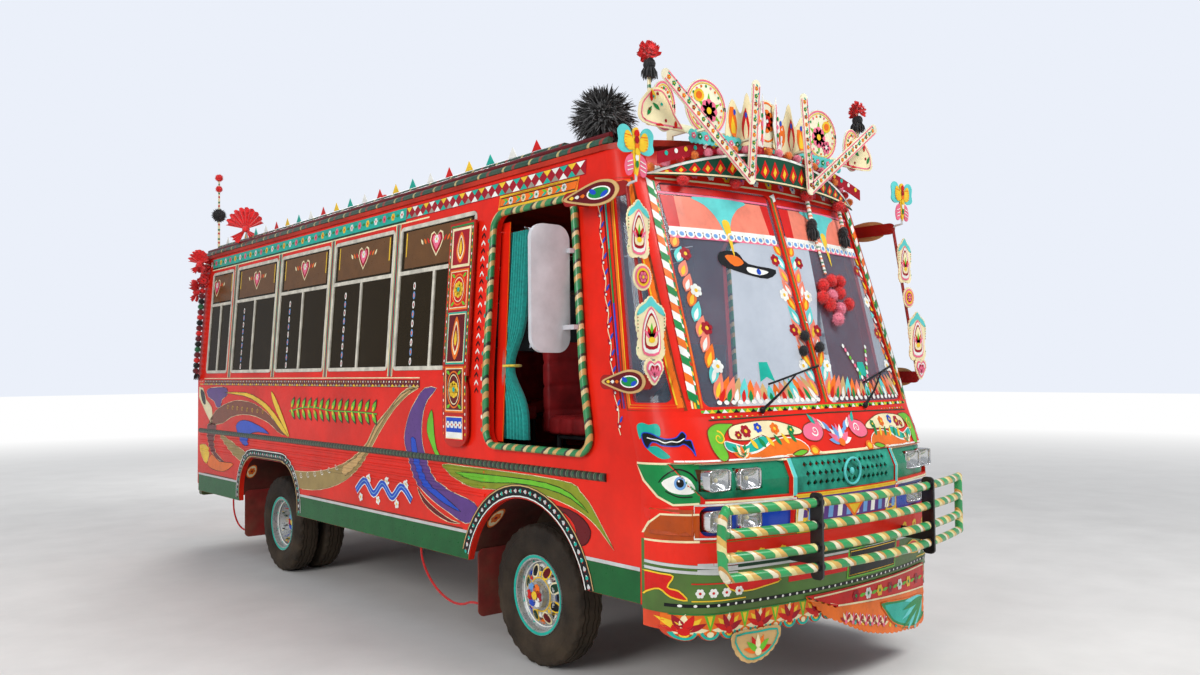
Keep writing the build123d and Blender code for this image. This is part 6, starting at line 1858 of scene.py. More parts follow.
# Leaf boards on the outer faces of the arms
low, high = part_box("mirror_arms")
arm_boards = Heap()
arm_leaves = (      # rear end and front end behind the front axle, height, half height
    (-470, -905, 2500, 62), (-760, -1075, 1572, 56),
)
for sx in (-1, 1):
    face_x = (low[0] - 0.001) if sx < 0 else (high[0] + 0.001)
    for rear_end, front_end, z, tall in arm_leaves:
        mid, half = (rear_end + front_end) / 2, (rear_end - front_end) / 2
        edge = smooth([(mid + half, z), (mid + half * 0.55, z + tall * 0.5), (mid - half * 0.2, z + tall),
                       (mid - half * 0.75, z + tall * 0.8), (mid - half, z),
                       (mid - half * 0.75, z - tall * 0.8),
                       (mid - half * 0.2, z - tall), (mid + half * 0.55, z - tall * 0.5)], 4)
        plate(arm_boards, edge, lambda u, v, x=face_x: Vector((x, at(u), v / 1000)), (sx, 0, 0), 0.005, e_tan)
arm_boards.done("arm_leaf_boards", slot="board_paint")
for sx in (-1, 1):
    art = art_on(arm_boards, from_side(sx), (-sx, 0, 0), step=400, jump=0.2)
    for rear_end, front_end, z, tall in arm_leaves:
        mid, half = (rear_end + front_end) / 2, (rear_end - front_end) / 2
        ring = [(mid + half * 0.86, z), (mid + half * 0.5, z + tall * 0.36),
                (mid - half * 0.2, z + tall * 0.82),
                (mid - half * 0.7, z + tall * 0.62), (mid - half * 0.86, z),
                (mid - half * 0.7, z - tall * 0.62),
                (mid - half * 0.2, z - tall * 0.82), (mid + half * 0.5, z - tall * 0.36)]
        art.put(smooth(ring, 4), e_maroon, 1)
        art.put(oval(mid - half * 0.3, z, half * 0.42, tall * 0.52, 0, 20), e_white, 2)
        art.put(oval(mid - half * 0.3, z, half * 0.36, tall * 0.42, 0, 20), e_green, 3)
        for hand in (-1, 1):
            art.put(oval(mid - half * 0.3 + hand * half * 0.2, z + hand * tall * 0.16, half * 0.13,
                         tall * 0.2, 20 * hand,
                         12), e_blue, 4)
        for i in range(3):
            art.put(leaf(mid + half * (0.18 + 0.2 * i), z, half * 0.18, tall * 0.3, 0),
                    (e_orange, e_white, e_yellow)[i], 2)
    art.done("arm_leaf_paint_" + ("right" if sx < 0 else "left"))

# Side board behind the driver's doorway, and transfers on the windows' panes
for sx, key in ((-1, "right"), (1, "left")):
    place = from_side(sx)
    if sx < 0:
        art = Art(["side_board"], place, (-sx, 0, 0), step=300, jump=0.2)
        art.put(rect(534, 786, 1196, 2526), e_green, 1)
        art.put(rect(546, 774, 1208, 2514), e_crimson, 2)
        for i in range(33):
            art.put(oval(540, 1216 + 40 * i, 5, 9, 0, 8), (e_white, e_yellow)[i % 2], 3)
            art.put(oval(780, 1216 + 40 * i, 5, 9, 0, 8), (e_white, e_orange)[i % 2], 3)
        boxes = (       # lowest, highest, frame, panel, motif
            (1216, 1370, e_red, e_blue, "row"), (1384, 1660, e_orange, e_maroon, "rose"),
            (1674, 1990, e_teal, e_maroon, "drop"), (2004, 2250, e_orange, e_red, "rose"),
            (2264, 2508, e_cream, e_crimson, "drop"),
        )
        for low_z, high_z, frame_mat, panel_mat, motif in boxes:
            mid_z = (low_z + high_z) / 2
            art.put(rect(556, 764, low_z, high_z), frame_mat, 3)
            art.put(rect(566, 754, low_z + 10, high_z - 10), e_cream, 4)
            art.put(rect(572, 748, low_z + 16, high_z - 16), panel_mat, 5)
            if motif == "row":
                art.put(rect(572, 748, low_z + 16, low_z + 50), e_white, 6)
                for i in range(4):
                    art.flower(594 + 44 * i, mid_z + 18, 22, 6, e_white, e_red, 6)
            elif motif == "rose":
                half_h = (high_z - low_z) / 2 - 30
                art.stroke(oval(660, mid_z, 72, half_h, 0, 28), 9, e_orange, 6, closed=True)
                art.stroke(oval(660, mid_z, 56, half_h - 20, 0, 28), 6, e_cream, 6, closed=True)
                art.flower(660, mid_z, 50, 8, e_yellow, e_teal, 7)
                for k in range(4):
                    corner_u, corner_v = (-1, 1)[k % 2], (-1, 1)[k // 2]
                    art.put(leaf(660 + corner_u * 80, mid_z + corner_v * (half_h + 4), 46, 20,
                                 180 * (corner_u > 0) + corner_u * corner_v * 30), e_leaf, 6)
            else:
                half_h = (high_z - low_z) / 2 - 26
                drop = smooth([(660, mid_z + half_h), (700, mid_z + half_h * 0.3),
                               (706, mid_z - half_h * 0.4),
                               (660, mid_z - half_h), (614, mid_z - half_h * 0.4),
                               (620, mid_z + half_h * 0.3)], 4)
                art.put(drop, e_orange, 6)
                inner = [(660 + (u - 660) * 0.72, mid_z + (v - mid_z) * 0.78) for u, v in drop]
                art.put(inner, e_cream, 7)
                inner = [(660 + (u - 660) * 0.52, mid_z + (v - mid_z) * 0.62) for u, v in drop]
                art.put(inner, e_crimson, 8)
                art.put(leaf(660, mid_z - 50, 100, 30, 90), e_yellow, 9)
        art.done("side_board_paint")
    # Transfers on the panes
    spots = [("side_glass", "root", f"pane_transfers_{key}", range(5))]
    if sx > 0:
        spots.append(("door_glass", "entry_door", "door_transfers", (0,)))
    for carrier, body, name, rows in spots:
        pane = Art([carrier], place, (-sx, 0, 0), step=400, jump=0.02)
        for i in rows:
            paint_pane(pane, bay_start + bay_length * (i + 0.5))
        pane.done(name, body)


# Headlamps: bezel, fluted lens, bowl and housing in each box of the CAD node
lamp_skin = skin(["headlamps"])
lens_glass = glass("lens_glass", (226, 232, 228), 0.18, 0.04, 0.05)
heap = Heap()
lamp_w, lamp_h, lamp_probe = 0.075, 0.050, 0.07     # half sizes, and where the front is felt on each side
for z in (1.110, 0.925):
    for x in (-0.862, -0.690, 0.690, 0.862):
        left_y, right_y = (front_of(lamp_skin, x + u, z).y for u in (-lamp_probe, lamp_probe))

        def spot(u, v, depth):
            """A place on the lamp, as deep as given behind its front."""
            y = left_y + (right_y - left_y) * (u + lamp_probe) / (2 * lamp_probe)
            return Vector((x + u, y + depth, z + v))

        # Bezel as a square ring with a rounded lip
        rings = []
        for share, y in ((1.0, 0.055), (1.0, 0.004), (0.985, 0), (0.93, 0), (0.90, 0.006), (0.90, 0.02)):
            loop = []
            for i in range(32):
                a = 2 * pi * i / 32 + pi / 4
                c, s = cos(a), sin(a)
                k = (abs(c) ** 8 + abs(s) ** 8) ** (1 / 8)
                loop.append(spot(lamp_w * share * c / k, lamp_h * share * s / k, y))
            rings.append(loop)
        verts = [p for loop in rings for p in loop]
        faces = []
        for i in range(len(rings) - 1):
            for j in range(32):
                m = (j + 1) % 32
                faces.append((i * 32 + j, i * 32 + m, (i + 1) * 32 + m, (i + 1) * 32 + j))
        heap.add(verts, faces, chrome)
        # Fluted lens and the bowl behind it
        for kind, mat in (("lens", lens_glass), ("bowl", chrome)):
            verts, faces = [], []
            for i in range(25):
                for j in range(9):
                    u, v = (i / 24 - 0.5) * 1.8, (j / 8 - 0.5) * 1.8
                    if kind == "lens":
                        y = 0.010 - 0.006 * (1 - u * u / 0.81) * (1 - v * v / 0.81) + 0.0012 * (i % 2)
                    else:
                        y = 0.014 + 0.034 * max(0, 1 - u * u / 0.81) * max(0, 1 - v * v / 0.81)
                    verts.append(spot(u * lamp_w, v * lamp_h, y))
            for i in range(24):
                for j in range(8):
                    p = i * 9 + j
                    faces.append((p, p + 9, p + 10, p + 1))
            heap.add(verts, faces, mat)
        ball(heap, spot(0, 0, 0.032), 0.011, e_cream, 6, 10)
obj = heap.done("headlamp_units", smooth=True, slot="lamp_glass")
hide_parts("headlamps")

# Plain ring on the grille, wipers, mirror faces
grille_skin = skin(["grille", "lamp_panels", "front_mask"])


def grille_y(x, z):
    """Foremost point of the mesh near a place in front of it."""
    found = []
    for dx in (-0.014, -0.007, 0, 0.007, 0.014):
        for dz in (-0.014, -0.007, 0, 0.007, 0.014):
            spot_hit = front_of(grille_skin, x + dx, z + dz)
            if spot_hit:
                found.append(spot_hit.y)
    return min(found)


heap = Heap()
ring_y = grille_y(0, 1.103) - 0.004
ring_points = [(0.066 * cos(a), ring_y, 1.103 + 0.066 * sin(a)) for a in (2 * pi * i / 36 for i in range(37))]
tube(heap, ring_points, 0.0065, e_aqua, 8)
ball(heap, (0, ring_y + 0.004, 1.103), 0.018, e_aqua, 8, 14, (1, 0.5, 1))
heap.done("grille_ring", slot="chrome_trim")

wiper_black = paint("wiper_black", (20, 20, 22), 0.5, 0.1, 0.15, 20, bump=0.1)
heap = Heap()
for foot_x, tip_x in ((-0.50, -0.20), (0.34, 0.62)):
    foot = Vector((foot_x, face_y(foot_x, 1.425, 0.012), 1.425))
    ball(heap, foot, 0.018, wiper_black, 7, 12, (1, 0.7, 1))
    tip = Vector((tip_x, face_y(tip_x, 1.60, 0.026), 1.60))
    bend = foot.lerp(tip, 0.45) + Vector((0, -0.012, 0))
    tube(heap, [foot, bend, tip], [0.008, 0.006, 0.004], wiper_black, 8)
    line = []
    for i in range(11):
        t = i / 10
        x, z = tip_x - 0.20 + 0.40 * t, 1.55 + 0.09 * t
        line.append((x, face_y(x, z, 0.009), z))
    tube(heap, line, 0.006, wiper_black, 6)
    tube(heap, [tip, Vector(line[5])], 0.004, wiper_black, 6)
heap.done("wipers", slot="dash_plastic")

mirror_glass = paint("mirror_glass", (206, 212, 218), 0.06, 0.0, 0.02, 4, metal=1.0, bump=0.0)
low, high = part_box("door_mirrors")
heap = Heap()
for sx in (-1, 1):
    cx = sx * ((high[0] + (high[0] - 0.250)) / 2)
    edge = smooth([(-0.10, -0.30), (0.10, -0.30), (0.112, -0.25), (0.112, 0.25), (0.10, 0.30), (-0.10, 0.30),
                   (-0.112, 0.25), (-0.112, -0.25)], 2)
    plate_y = at(-405) + 0.0015
    plate(heap, edge, lambda u, v, cx=cx: Vector((cx + u, plate_y, 2.05 + v)), (0, 1, 0), 0.001, mirror_glass)
heap.done("mirror_faces", slot="mirror_black")

# Seats: tube frames, padded cushions and backs
low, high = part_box("seats")
deck = low[2]
frame_heap = Heap()
most_swell = 0.011      # metres that the cloth may swell, left free inside a pad's size
frame_paint = paint("seat_frame", (28, 28, 30), 0.5, 0.1, 0.2, 10, bump=0.1)


def pad_mesh(name, w, d, h, grooves):
    """Rounded block remeshed for its swelling; w, d, h in metres, centred, base at 0."""
    bm = bmesh.new()
    bmesh.ops.create_cube(bm, size=1)
    inner_w, inner_d, inner_h = w - 2 * most_swell, d - 2 * most_swell, h - most_swell
    for v in bm.verts:
        v.co = Vector((v.co.x * inner_w, v.co.y * inner_d, (v.co.z + 0.5) * inner_h))
    bmesh.ops.bevel(bm, geom=bm.edges[:], offset=min(w, d, h) * 0.24, segments=3, affect="EDGES", profile=0.6)
    mesh = bpy.data.meshes.new(name)
    bm.to_mesh(mesh)
    bm.free()
    obj = bpy.data.objects.new(name, mesh)
    scene.collection.objects.link(obj)
    voxels = obj.modifiers.new("voxels", "REMESH")
    voxels.mode = "VOXEL"
    voxels.voxel_size = 0.0125
    graph = bpy.context.evaluated_depsgraph_get()
    mesh = bpy.data.meshes.new_from_object(obj.evaluated_get(graph))
    obj.modifiers.clear()
    obj.data = mesh
    return obj, w, d, h, grooves


pads = (
    pad_mesh("bench_cushion", 0.76, 0.43, 0.11, ("x", (-0.19, 0, 0.19))),
    pad_mesh("bench_back", 0.76, 0.08, 0.52, ("x", (-0.19, 0, 0.19))),
    pad_mesh("driver_cushion", 0.46, 0.46, 0.11, ("y", (-0.11, 0, 0.11))),
    pad_mesh("driver_back", 0.46, 0.09, 0.56, ("z", (0.14, 0.28, 0.42))),
)
started = [[v.co.copy() for v in pad[0].data.vertices] for pad in pads]
for pad in pads:
    cloth = pad[0].modifiers.new("swell", "CLOTH")
    cloth.settings.use_pressure = True
    cloth.settings.uniform_pressure_force = 4
    cloth.settings.effector_weights.gravity = 0
    cloth.point_cache.frame_end = 20
for step in range(1, 21):
    scene.frame_set(step)
graph = bpy.context.evaluated_depsgraph_get()
swollen = [bpy.data.meshes.new_from_object(pad[0].evaluated_get(graph)) for pad in pads]
for pad, mesh in zip(pads, swollen):
    pad[0].modifiers.clear()
    pad[0].data = mesh
scene.frame_set(1)
for pad, start in zip(pads, started):
    obj, w, d, h, (axis, lines) = pad
    for v, was in zip(obj.data.vertices, start):
        moved = v.co - was
        if moved.length > most_swell:
            moved = moved.normalized() * most_swell
        if was.z < 0.02:
            moved.z = max(0, moved.z)
        v.co = was + moved
        value = {"x": v.co.x, "y": v.co.y, "z": v.co.z}[axis]
        sink = sum(exp(-((value - line) / 0.010) ** 2) for line in lines)
        v.co -= v.normal * 0.009 * sink
        v.co.z = max(v.co.z, 0.0)
    obj.data.polygons.foreach_set("use_smooth", [True] * len(obj.data.polygons))


def seat_pad(source, name, where, scale_x=1.0):
    """A copy of a pad in its place, in seat cloth."""
    mesh = source.data.copy()
    mesh.transform(Matrix.Translation(Vector(where)) @ Matrix.Diagonal((scale_x, 1, 1, 1)))
    mesh.materials.clear()
    mesh.materials.append(seat_red)
    piece = bpy.data.objects.new(name, mesh)
    scene.collection.objects.link(piece)
    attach(piece, "root")
    return piece


def seat_frame(x, y, w, d, seat_z):
    """Four legs, a ring under the cushion and a rail near the floor on each side."""
    ux, uy = w / 2 - 0.075, d / 2 - 0.06

    def bar(start, end, r):
        ends = [(x + kx * ux, y + ky * uy, z) for kx, ky, z in (start, end)]
        tube(frame_heap, ends, r, frame_paint, 8)

    for sx in (-1, 1):
        for sy in (-1, 1):
            bar((sx, sy, deck), (sx, sy, seat_z), 0.014)
        bar((sx, -1, seat_z - 0.014), (sx, 1, seat_z - 0.014), 0.013)
        bar((sx, -1, deck + 0.08), (sx, 1, deck + 0.08), 0.010)
    for sy in (-1, 1):
        bar((-1, sy, seat_z - 0.014), (1, sy, seat_z - 0.014), 0.013)


first = None
for i in range(5):
    y = at(1150 + 800 * i)
    for x, w, key in ((-0.600, 0.76, "right"), (0.620, 0.70, "left")):
        if x > 0 and i == 0:
            continue
        k = w / 0.76
        piece = seat_pad(pads[0][0], f"bench_seat_{i + 1}_{key}", (x, y, deck + 0.30), k)
        seat_pad(pads[1][0], f"bench_rest_{i + 1}_{key}", (x, y + 0.21, deck + 0.30), k)
        first = first or piece
        seat_frame(x, y, w, 0.43, deck + 0.30)
for x, key in ((-0.56, "right"), (0.56, "left")):
    seat_pad(pads[2][0], "front_seat_" + key, (x, at(-60), deck + 0.26))
    seat_pad(pads[3][0], "front_rest_" + key, (x, at(170), deck + 0.26))
    seat_frame(x, at(-60), 0.46, 0.46, deck + 0.26)
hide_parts("seats")
frame_heap.done("seat_frames", slot="chassis_paint")
for pad in pads:
    bpy.data.objects.remove(pad[0], do_unlink=True)

# Red jamb inside the driver's doorway and the row of chevrons behind it
heap = Heap()
jamb = [(352, 1225), (262, 1225), (262, 2500), (352, 2500)]
plate(heap, jamb, lambda u, v: Vector((-half_w(v / 1000) + 0.046, at(u), v / 1000)), (-1, 0, 0), 0.004,
      body_red)
plate(heap, [(266, 1225), (262, 1225), (262, 2500), (266, 2500)],
      lambda u, v: Vector((-half_w(v / 1000) + 0.044, at(u), v / 1000)), (-1, 0, 0), 0.004, e_orange)
heap.done("door_jamb", slot="body_paint")
right_wall = Art(["side_wall_right"], from_side(-1), (1, 0, 0), step=400)
for i in range(22):
    z = 1500 + 46 * i
    right_wall.put([(446, z), (466, z + 22), (486, z), (486, z + 14), (466, z + 36), (446, z + 14)],
                   (e_black, e_white)[i % 2], 2)
for i in range(16):
    z = 1290 + 74 * i
    right_wall.put(oval(412, z, 7, 13, 0, 10), (e_teal, e_white, e_orange)[i % 3], 2)
right_wall.done("jamb_paint")

# Curtain gathered at the rear side of the driver's doorway, on a short rod
curtain_cloth = fibre("curtain_cloth", (20, 160, 150), 0.3, 0.12, 0.75)
curtain_top, curtain_foot, tie_z = 2.44, 1.24, 1.66
cut_width = 0.62
pleats = 7
cols, rows_n = 84, 64
centre_y = at(212)


def wave_length(width, deep):
    """Length of the pleated line across the curtain."""
    total, last = 0, None
    for i in range(cols + 1):
        t = i / cols
        p = Vector((width * t, deep * sin(2 * pi * pleats * t)))
        if last is not None:
            total += (p - last).length
        last = p
    return total


verts, faces = [], []
for j in range(rows_n + 1):
    z = curtain_top + (curtain_foot - curtain_top) * j / rows_n
    near_tie = exp(-((z - tie_z) / 0.16) ** 2)
    width = 0.17 - 0.10 * near_tie + (0.05 if z < tie_z else 0.0) * (1 - near_tie)
    shallow, deep = 0.0, 0.2
    for _ in range(18):
        mid = (shallow + deep) / 2
        if wave_length(width, mid) > cut_width:
            deep = mid
        else:
            shallow = mid
    wall_x = -half_w(z) + 0.062
    for i in range(cols + 1):
        t = i / cols
        y = centre_y + 0.075 - width / 2 * (1 - near_tie * 0.2) + width * (t - 0.5)
        x = wall_x + deep * (1 + sin(2 * pi * pleats * t))
        verts.append((x, y, z))
for j in range(rows_n):
    for i in range(cols):
        p = j * (cols + 1) + i
        faces.append((p, p + cols + 1, p + cols + 2, p + 1))
heap = Heap()
heap.add(verts, faces, curtain_cloth)
curtain = heap.done("door_curtain", smooth=True, slot="board_paint")
heap = Heap()
rod_x = -half_w(curtain_top) + 0.062 + 0.03
tube(heap, [(rod_x, at(80), curtain_top + 0.004), (rod_x, at(330), curtain_top + 0.004)], 0.007, chrome, 10)
for y in (at(84), at(326)):
    tube(heap, [(rod_x, y, curtain_top + 0.004), (-half_w(curtain_top) + 0.02, y, curtain_top + 0.004)],
         0.005, chrome, 8)
heap.done("curtain_rod", slot="chrome_trim")
tie = Heap()
tie_points = []
tie_y = centre_y + 0.075 - 0.028
for i in range(25):
    a = 2 * pi * i / 24
    tie_points.append((-half_w(tie_z) + 0.062 + 0.042 + 0.052 * cos(a), tie_y - 0.005 + 0.046 * sin(a),
                       tie_z))
tube(tie, tie_points, 0.008, y_yellow, 8)
tie_piece = tie.done("curtain_tie", slot="board_paint")


# End of the bull bar on the driver's side, bowed round the ends of its four bars
bar_ends = [(-0.975, at(-1430), z) for z in (0.700, 0.790, 0.895, 1.000)]
heap = Heap()
bow_line = smooth([(0, 1.000), (0.030, 0.965), (0.040, 0.850), (0.030, 0.735), (0, 0.700)], 5, closed=False)
tube(heap, [(-0.975 - out_by, at(-1430), z) for out_by, z in bow_line], 0.022, candy_bar, 16)
for x, y, z in bar_ends[1:3]:
    tube(heap, [(x, y, z), (x - 0.038, y, z)], 0.0215, candy_bar, 16)
heap.done("bull_bar_end", slot="chrome_trim")

# Roof mouldings along both edges
heap = Heap()
roof_skin = skin(["roof_shell"])
for sx in (-1, 1):
    for x, r, mat, lift in ((0.962, 0.020, candy_rack, 0.0), (0.956, 0.015, e_maroon, 0.033)):
        line = []
        for i in range(25):
            y = -2.60 + 6.02 * i / 24
            hit = roof_skin.ray_cast(Vector((sx * x, y, 4)), Vector((0, 0, -1)), 3)[0]
            line.append((sx * x, y, (hit.z if hit else 2.787) + r - 0.001 + lift))
        tube(heap, line, r, mat, 12)
    # Small pennants that stand on the rack's rail
    for i in range(22):
        y = -1.95 + 0.235 * i
        colour = (e_red, e_white, e_teal, e_yellow)[i % 4]
        plate(heap, [(0, 0), (90, 0), (45, 62)], lambda u, v, y=y,
              sx=sx: Vector((sx * 0.914, y + u / 1000, 2.884 + v / 1000)),
              (sx, 0, 0), 0.003, colour)
heap.done("roof_mouldings", slot="board_paint")

# Bow of red cloth on the roof's edge: a fan, its knot and two tails
y_bow = fibre("bow_cloth", (212, 24, 26), 0.4, 0.2, 0.7)


def fan(heap, centre, face, up, r, start, sweep, folds, deep):
    """Pleated fan round a centre, facing one way."""
    face, up = Vector(face).normalized(), Vector(up).normalized()
    side_way = up.cross(face)
    centre = Vector(centre)
    verts, faces = [], []
    count = folds * 4
    for j in range(6):
        share = 0.10 + 0.90 * j / 5
        for i in range(count + 1):
            t = i / count
            a = radians(start + sweep * t)
            wave = deep * share * sin(2 * pi * folds * t)
            reach = r * share * (1 + 0.06 * sin(2 * pi * folds * t + 1.2) * share)
            ahead = wave + 0.02 * share ** 2
            verts.append(centre + side_way * cos(a) * reach + up * sin(a) * reach + face * ahead)
    for j in range(5):
        for i in range(count):
            p = j * (count + 1) + i
            faces.append((p, p + 1, p + count + 2, p + count + 1))
    heap.add(verts, faces, y_bow)
    heap.add([v - face * 0.003 for v in verts], [tuple(reversed(f)) for f in faces], y_bow)


heap = Heap()
bows = (    # place of the knot, the way it faces, radius of its fan
    ((-0.930, 2.53, 2.960), (-0.8, -0.6, 0), 0.19),
    ((-1.085, 3.30, 2.700), (-0.9, -0.45, 0), 0.13),
    ((-1.085, 3.40, 2.430), (-0.8, 0.6, 0), 0.12),
)
for centre, face, r in bows:
    fan(heap, centre, face, (0, 0, 1), r, 12, 156, 9, 0.018)
    fan(heap, centre, face, (0, 0, 1), r * 0.8, 205, 40, 3, 0.016)
    fan(heap, centre, face, (0, 0, 1), r * 0.8, 295, 40, 3, 0.016)
    ball(heap, centre, 0.034, y_bow, 8, 12, (1, 1, 0.9), rough=0.1)
    top = Vector(centre)
    if centre[2] > 2.9:
        tube(heap, [(-0.914, top.y, 2.884), (-0.918, top.y, top.z)], 0.008, chrome, 8)
    else:
        tube(heap, [(top.x + 0.09, top.y, top.z), tuple(top)], 0.007, chrome, 8)
heap.done("cloth_bows", slot="garland")

# Apron of painted boards that hangs under the front on one side, and a pendant


bumper_skin = skin(["front_bumper"])


def hung(u, v):
    """Follows the bumper's face downwards."""
    x = u / 1000
    return Vector((x, front_of(bumper_skin, x, 0.52).y - 0.008, v / 1000))


def thick_board(name, outlines, thickness):
    """Boards along the curve of the bumper, given a thickness."""
    heap = Heap()
    for outline, mat in outlines:
        bm = bmesh.new()
        points = [Vector((u, v, 0)) for u, v in outline]
        ids = [bm.verts.new(p) for p in points]
        for tri in tessellate_polygon([points]):
            bm.faces.new([ids[i] for i in tri])
        us = [p.x for p in points]
        for k in range(int(min(us) // 60) + 1, int(max(us) // 60) + 1):
            geom = bm.verts[:] + bm.edges[:] + bm.faces[:]
            bmesh.ops.bisect_plane(bm, geom=geom, dist=0.001, plane_co=(60 * k, 0, 0), plane_no=(1, 0, 0))
        bm.verts.index_update()
        front_face = [hung(v.co.x, v.co.y) for v in bm.verts]
        back_face = [p + Vector((0, thickness, 0)) for p in front_face]
        count = len(front_face)
        faces = []
        for face in bm.faces:
            ring = [v.index for v in face.verts]
            if face.normal.z < 0:
                ring.reverse()
            a, b, c = (front_face[i] for i in ring[:3])
            if (b - a).cross(c - a).y > 0:
                ring.reverse()
            faces.append(tuple(ring))
            faces.append(tuple(count + i for i in reversed(ring)))
        for edge in bm.edges:
            if len(edge.link_faces) == 1:
                i, j = (v.index for v in edge.verts)
                faces.append((i, j, count + j, count + i))
        bm.free()
        heap.add(front_face + back_face, faces, mat)
    heap.done(name, slot="board_paint")
    return heap


apron = [(-356, 514), (149, 514), (815, 514), (812, 372), (261, 404), (-118, 428)]
lace = scalloped([(-350, 512), (-118, 430), (261, 406), (812, 374), (801, 190), (690, 176), (566, 194),
                  (410, 208),
                  (254, 236), (120, 268), (5, 312), (-208, 400)], 46, 9)
corner_leaf = smooth([(262, 386), (420, 372), (600, 356), (806, 340), (802, 240), (760, 205), (645, 190),
                      (500, 220),
                      (380, 266), (310, 330)], 2)
pendant = scalloped(smooth([(-800, 396), (-660, 402), (-530, 402), (-538, 340), (-590, 288), (-660, 258),
                            (-735, 262), (-790, 320)], 2), 40, 6)
boards = thick_board("apron_boards", ((lace, e_orange), (pendant, e_tan)), 0.005)
over = thick_board("apron_panel", ((apron, e_red),), 0.004)
heap_all = Heap()
heap_all.add(boards.verts, boards.faces, e_red)
heap_all.add(over.verts, over.faces, e_red)
apron_art = art_on(heap_all, place_front, (0, 1, 0), step=60, jump=0.1)
apron_art.stroke([(-340, 500), (149, 503), (805, 505)], 8, e_cream, 2)
apron_art.stroke([(-330, 497), (-118, 436), (261, 412), (806, 380)], 9, e_cream, 2)
for i in range(7):
    apron_art.flower(30 + 112 * i, 462 - 3 * i, 30, 6, (e_crimson, e_white, e_yellow)[i % 3], e_green, 2)
    apron_art.put(leaf(60 + 112 * i, 456 - 3 * i, 60, 18, 6), e_leaf, 2)
apron_art.put(corner_leaf, e_green, 3)
inner = [(560 + (u - 560) * 0.86, 290 + (v - 290) * 0.80) for u, v in corner_leaf]
apron_art.put(inner, e_teal, 4)
for i in range(7):
    apron_art.put(leaf(790, 330, 330 - 22 * abs(i - 3), 34, 176 + 9 * i), (e_aqua, e_green)[i % 2], 5 + i % 2)
apron_art.stroke(corner_leaf, 6, e_orange, 5, closed=True)
for i in range(7):
    u, v = -60 + 58 * i, 392 - 13 * i
    apron_art.lotus(u, v - 44, 52, 80, (e_cream, e_crimson, e_pink), 2, 5, 140)
    apron_art.put(oval(u + 28, v - 12, 8, 8, 0, 8), e_white, 2)
for i in range(9):
    t = i / 8
    apron_art.put(oval(20 + 540 * t, 330 - 120 * t, 12, 12, 0, 8), (e_teal, e_yellow)[i % 2], 2)
rim = smooth([(-784, 388), (-660, 392), (-546, 390), (-556, 338), (-600, 296), (-660, 272), (-724, 276),
              (-772, 326)], 2)
apron_art.stroke(rim, 9, e_teal, 2, closed=True)
apron_art.lotus(-662, 300, 84, 90, (e_red, e_leaf, e_orange, e_cream), 2, 7, 150)
apron_art.done("apron_paint")

# Rear wall: frame round the pane, medallion, sprays and bands
rear_art = Art(["rear_wall"], lambda u, v: Vector((u / 1000, 4.4, v / 1000)), (0, -1, 0), step=400, jump=0.05)
for off, width, mat in ((24, 22, e_yellow), (46, 12, e_dark), (62, 14, e_teal), (80, 6, e_cream)):
    a, b, c, d = -650 - off, 650 + off, 1860 - off, 2500 + off
    for line in (((a, c), (b, c)), ((a, d), (b, d)), ((a, c), (a, d)), ((b, c), (b, d))):
        rear_art.stroke(line, width, mat, 1)
for i in range(15):
    u = -700 + 100 * i
    rear_art.flower(u, 2660, 34, 8, (e_white, e_yellow, e_pink)[i % 3], e_blue, 2)
    rear_art.put(leaf(u + 42, 2660, 46, 18, 90), e_leaf, 2)
    rear_art.put(leaf(u + 42, 2660, 46, 18, -90), e_teal, 2)
for z in (2716, 2604):
    rear_art.stroke([(-790, z), (790, z)], 10, e_yellow, 1)
for sx in (-1, 1):
    for i in range(11):
        z = 790 + 170 * i
        x = sx * 900
        rear_art.put([(x - 46, z), (x, z + 74), (x + 46, z), (x, z - 74)], (e_teal, e_purple)[i % 2], 1)
        rear_art.put([(x - 28, z), (x, z + 48), (x + 28, z), (x, z - 48)], e_yellow, 2)
        rear_art.put(oval(x, z, 13, 16, 0, 12), e_red, 3)
    for u, width, mat in ((838, 9, e_cream), (824, 7, e_green), (958, 9, e_cream)):
        rear_art.stroke([(sx * u, 700), (sx * u, 2560)], width, mat, 1)
    # Sprays that rise from the foot of the medallion
    for i in range(9):
        a = 90 - sx * (20 + 15 * i)
        rear_art.put(leaf(sx * 150, 900, 640 - 26 * i, 74, a), (e_leaf, e_orange, e_purple, e_teal)[i % 4],
                     1 + i % 2)
        rear_art.put(leaf(sx * 190, 905, 470 - 22 * i, 26, a), (e_yellow, e_cream)[i % 2], 3)
    for i in range(4):
        rear_art.flower(sx * (430 + 96 * i), 1620 - 190 * i, 58, 8, (e_white, e_pink, e_yellow, e_sky)[i],
                        e_crimson, 4)
        rear_art.put(leaf(sx * (430 + 96 * i), 1570 - 190 * i, 90, 30, -90), e_green, 3)
    rear_art.curl(sx * 640, 1680, 80, 90, 16, e_yellow, 3, hand=sx)
    rear_art.curl(sx * 330, 1700, 60, 90, 12, e_white, 3, hand=-sx)
for ru, rv, mat in ((330, 372, e_cream), (312, 354, e_dark), (292, 334, e_sky), (236, 272, e_cream),
                    (222, 258, e_crimson)):
    rear_art.put(oval(0, 1260, ru, rv, 0, 48), mat, 4 + (330 - ru) // 22)
for i in range(24):
    a = 15 * i
    rear_art.put(leaf(236 * cos(radians(a)), 1260 + 272 * sin(radians(a)), 54, 30, a),
                 (e_yellow, e_orange)[i % 2], 12)
for ring_r, count, r, petal in ((190, 16, 70, e_pink), (132, 12, 70, e_white), (74, 8, 62, e_yellow)):
    for i in range(count):
        a = 360 * i / count
        c, s = cos(radians(a)), sin(radians(a))
        rear_art.put(leaf((ring_r - r) * c, 1260 + (ring_r - r) * 1.1 * s, r + 20, 34, a), petal,
                     12 + (190 - ring_r) // 28)
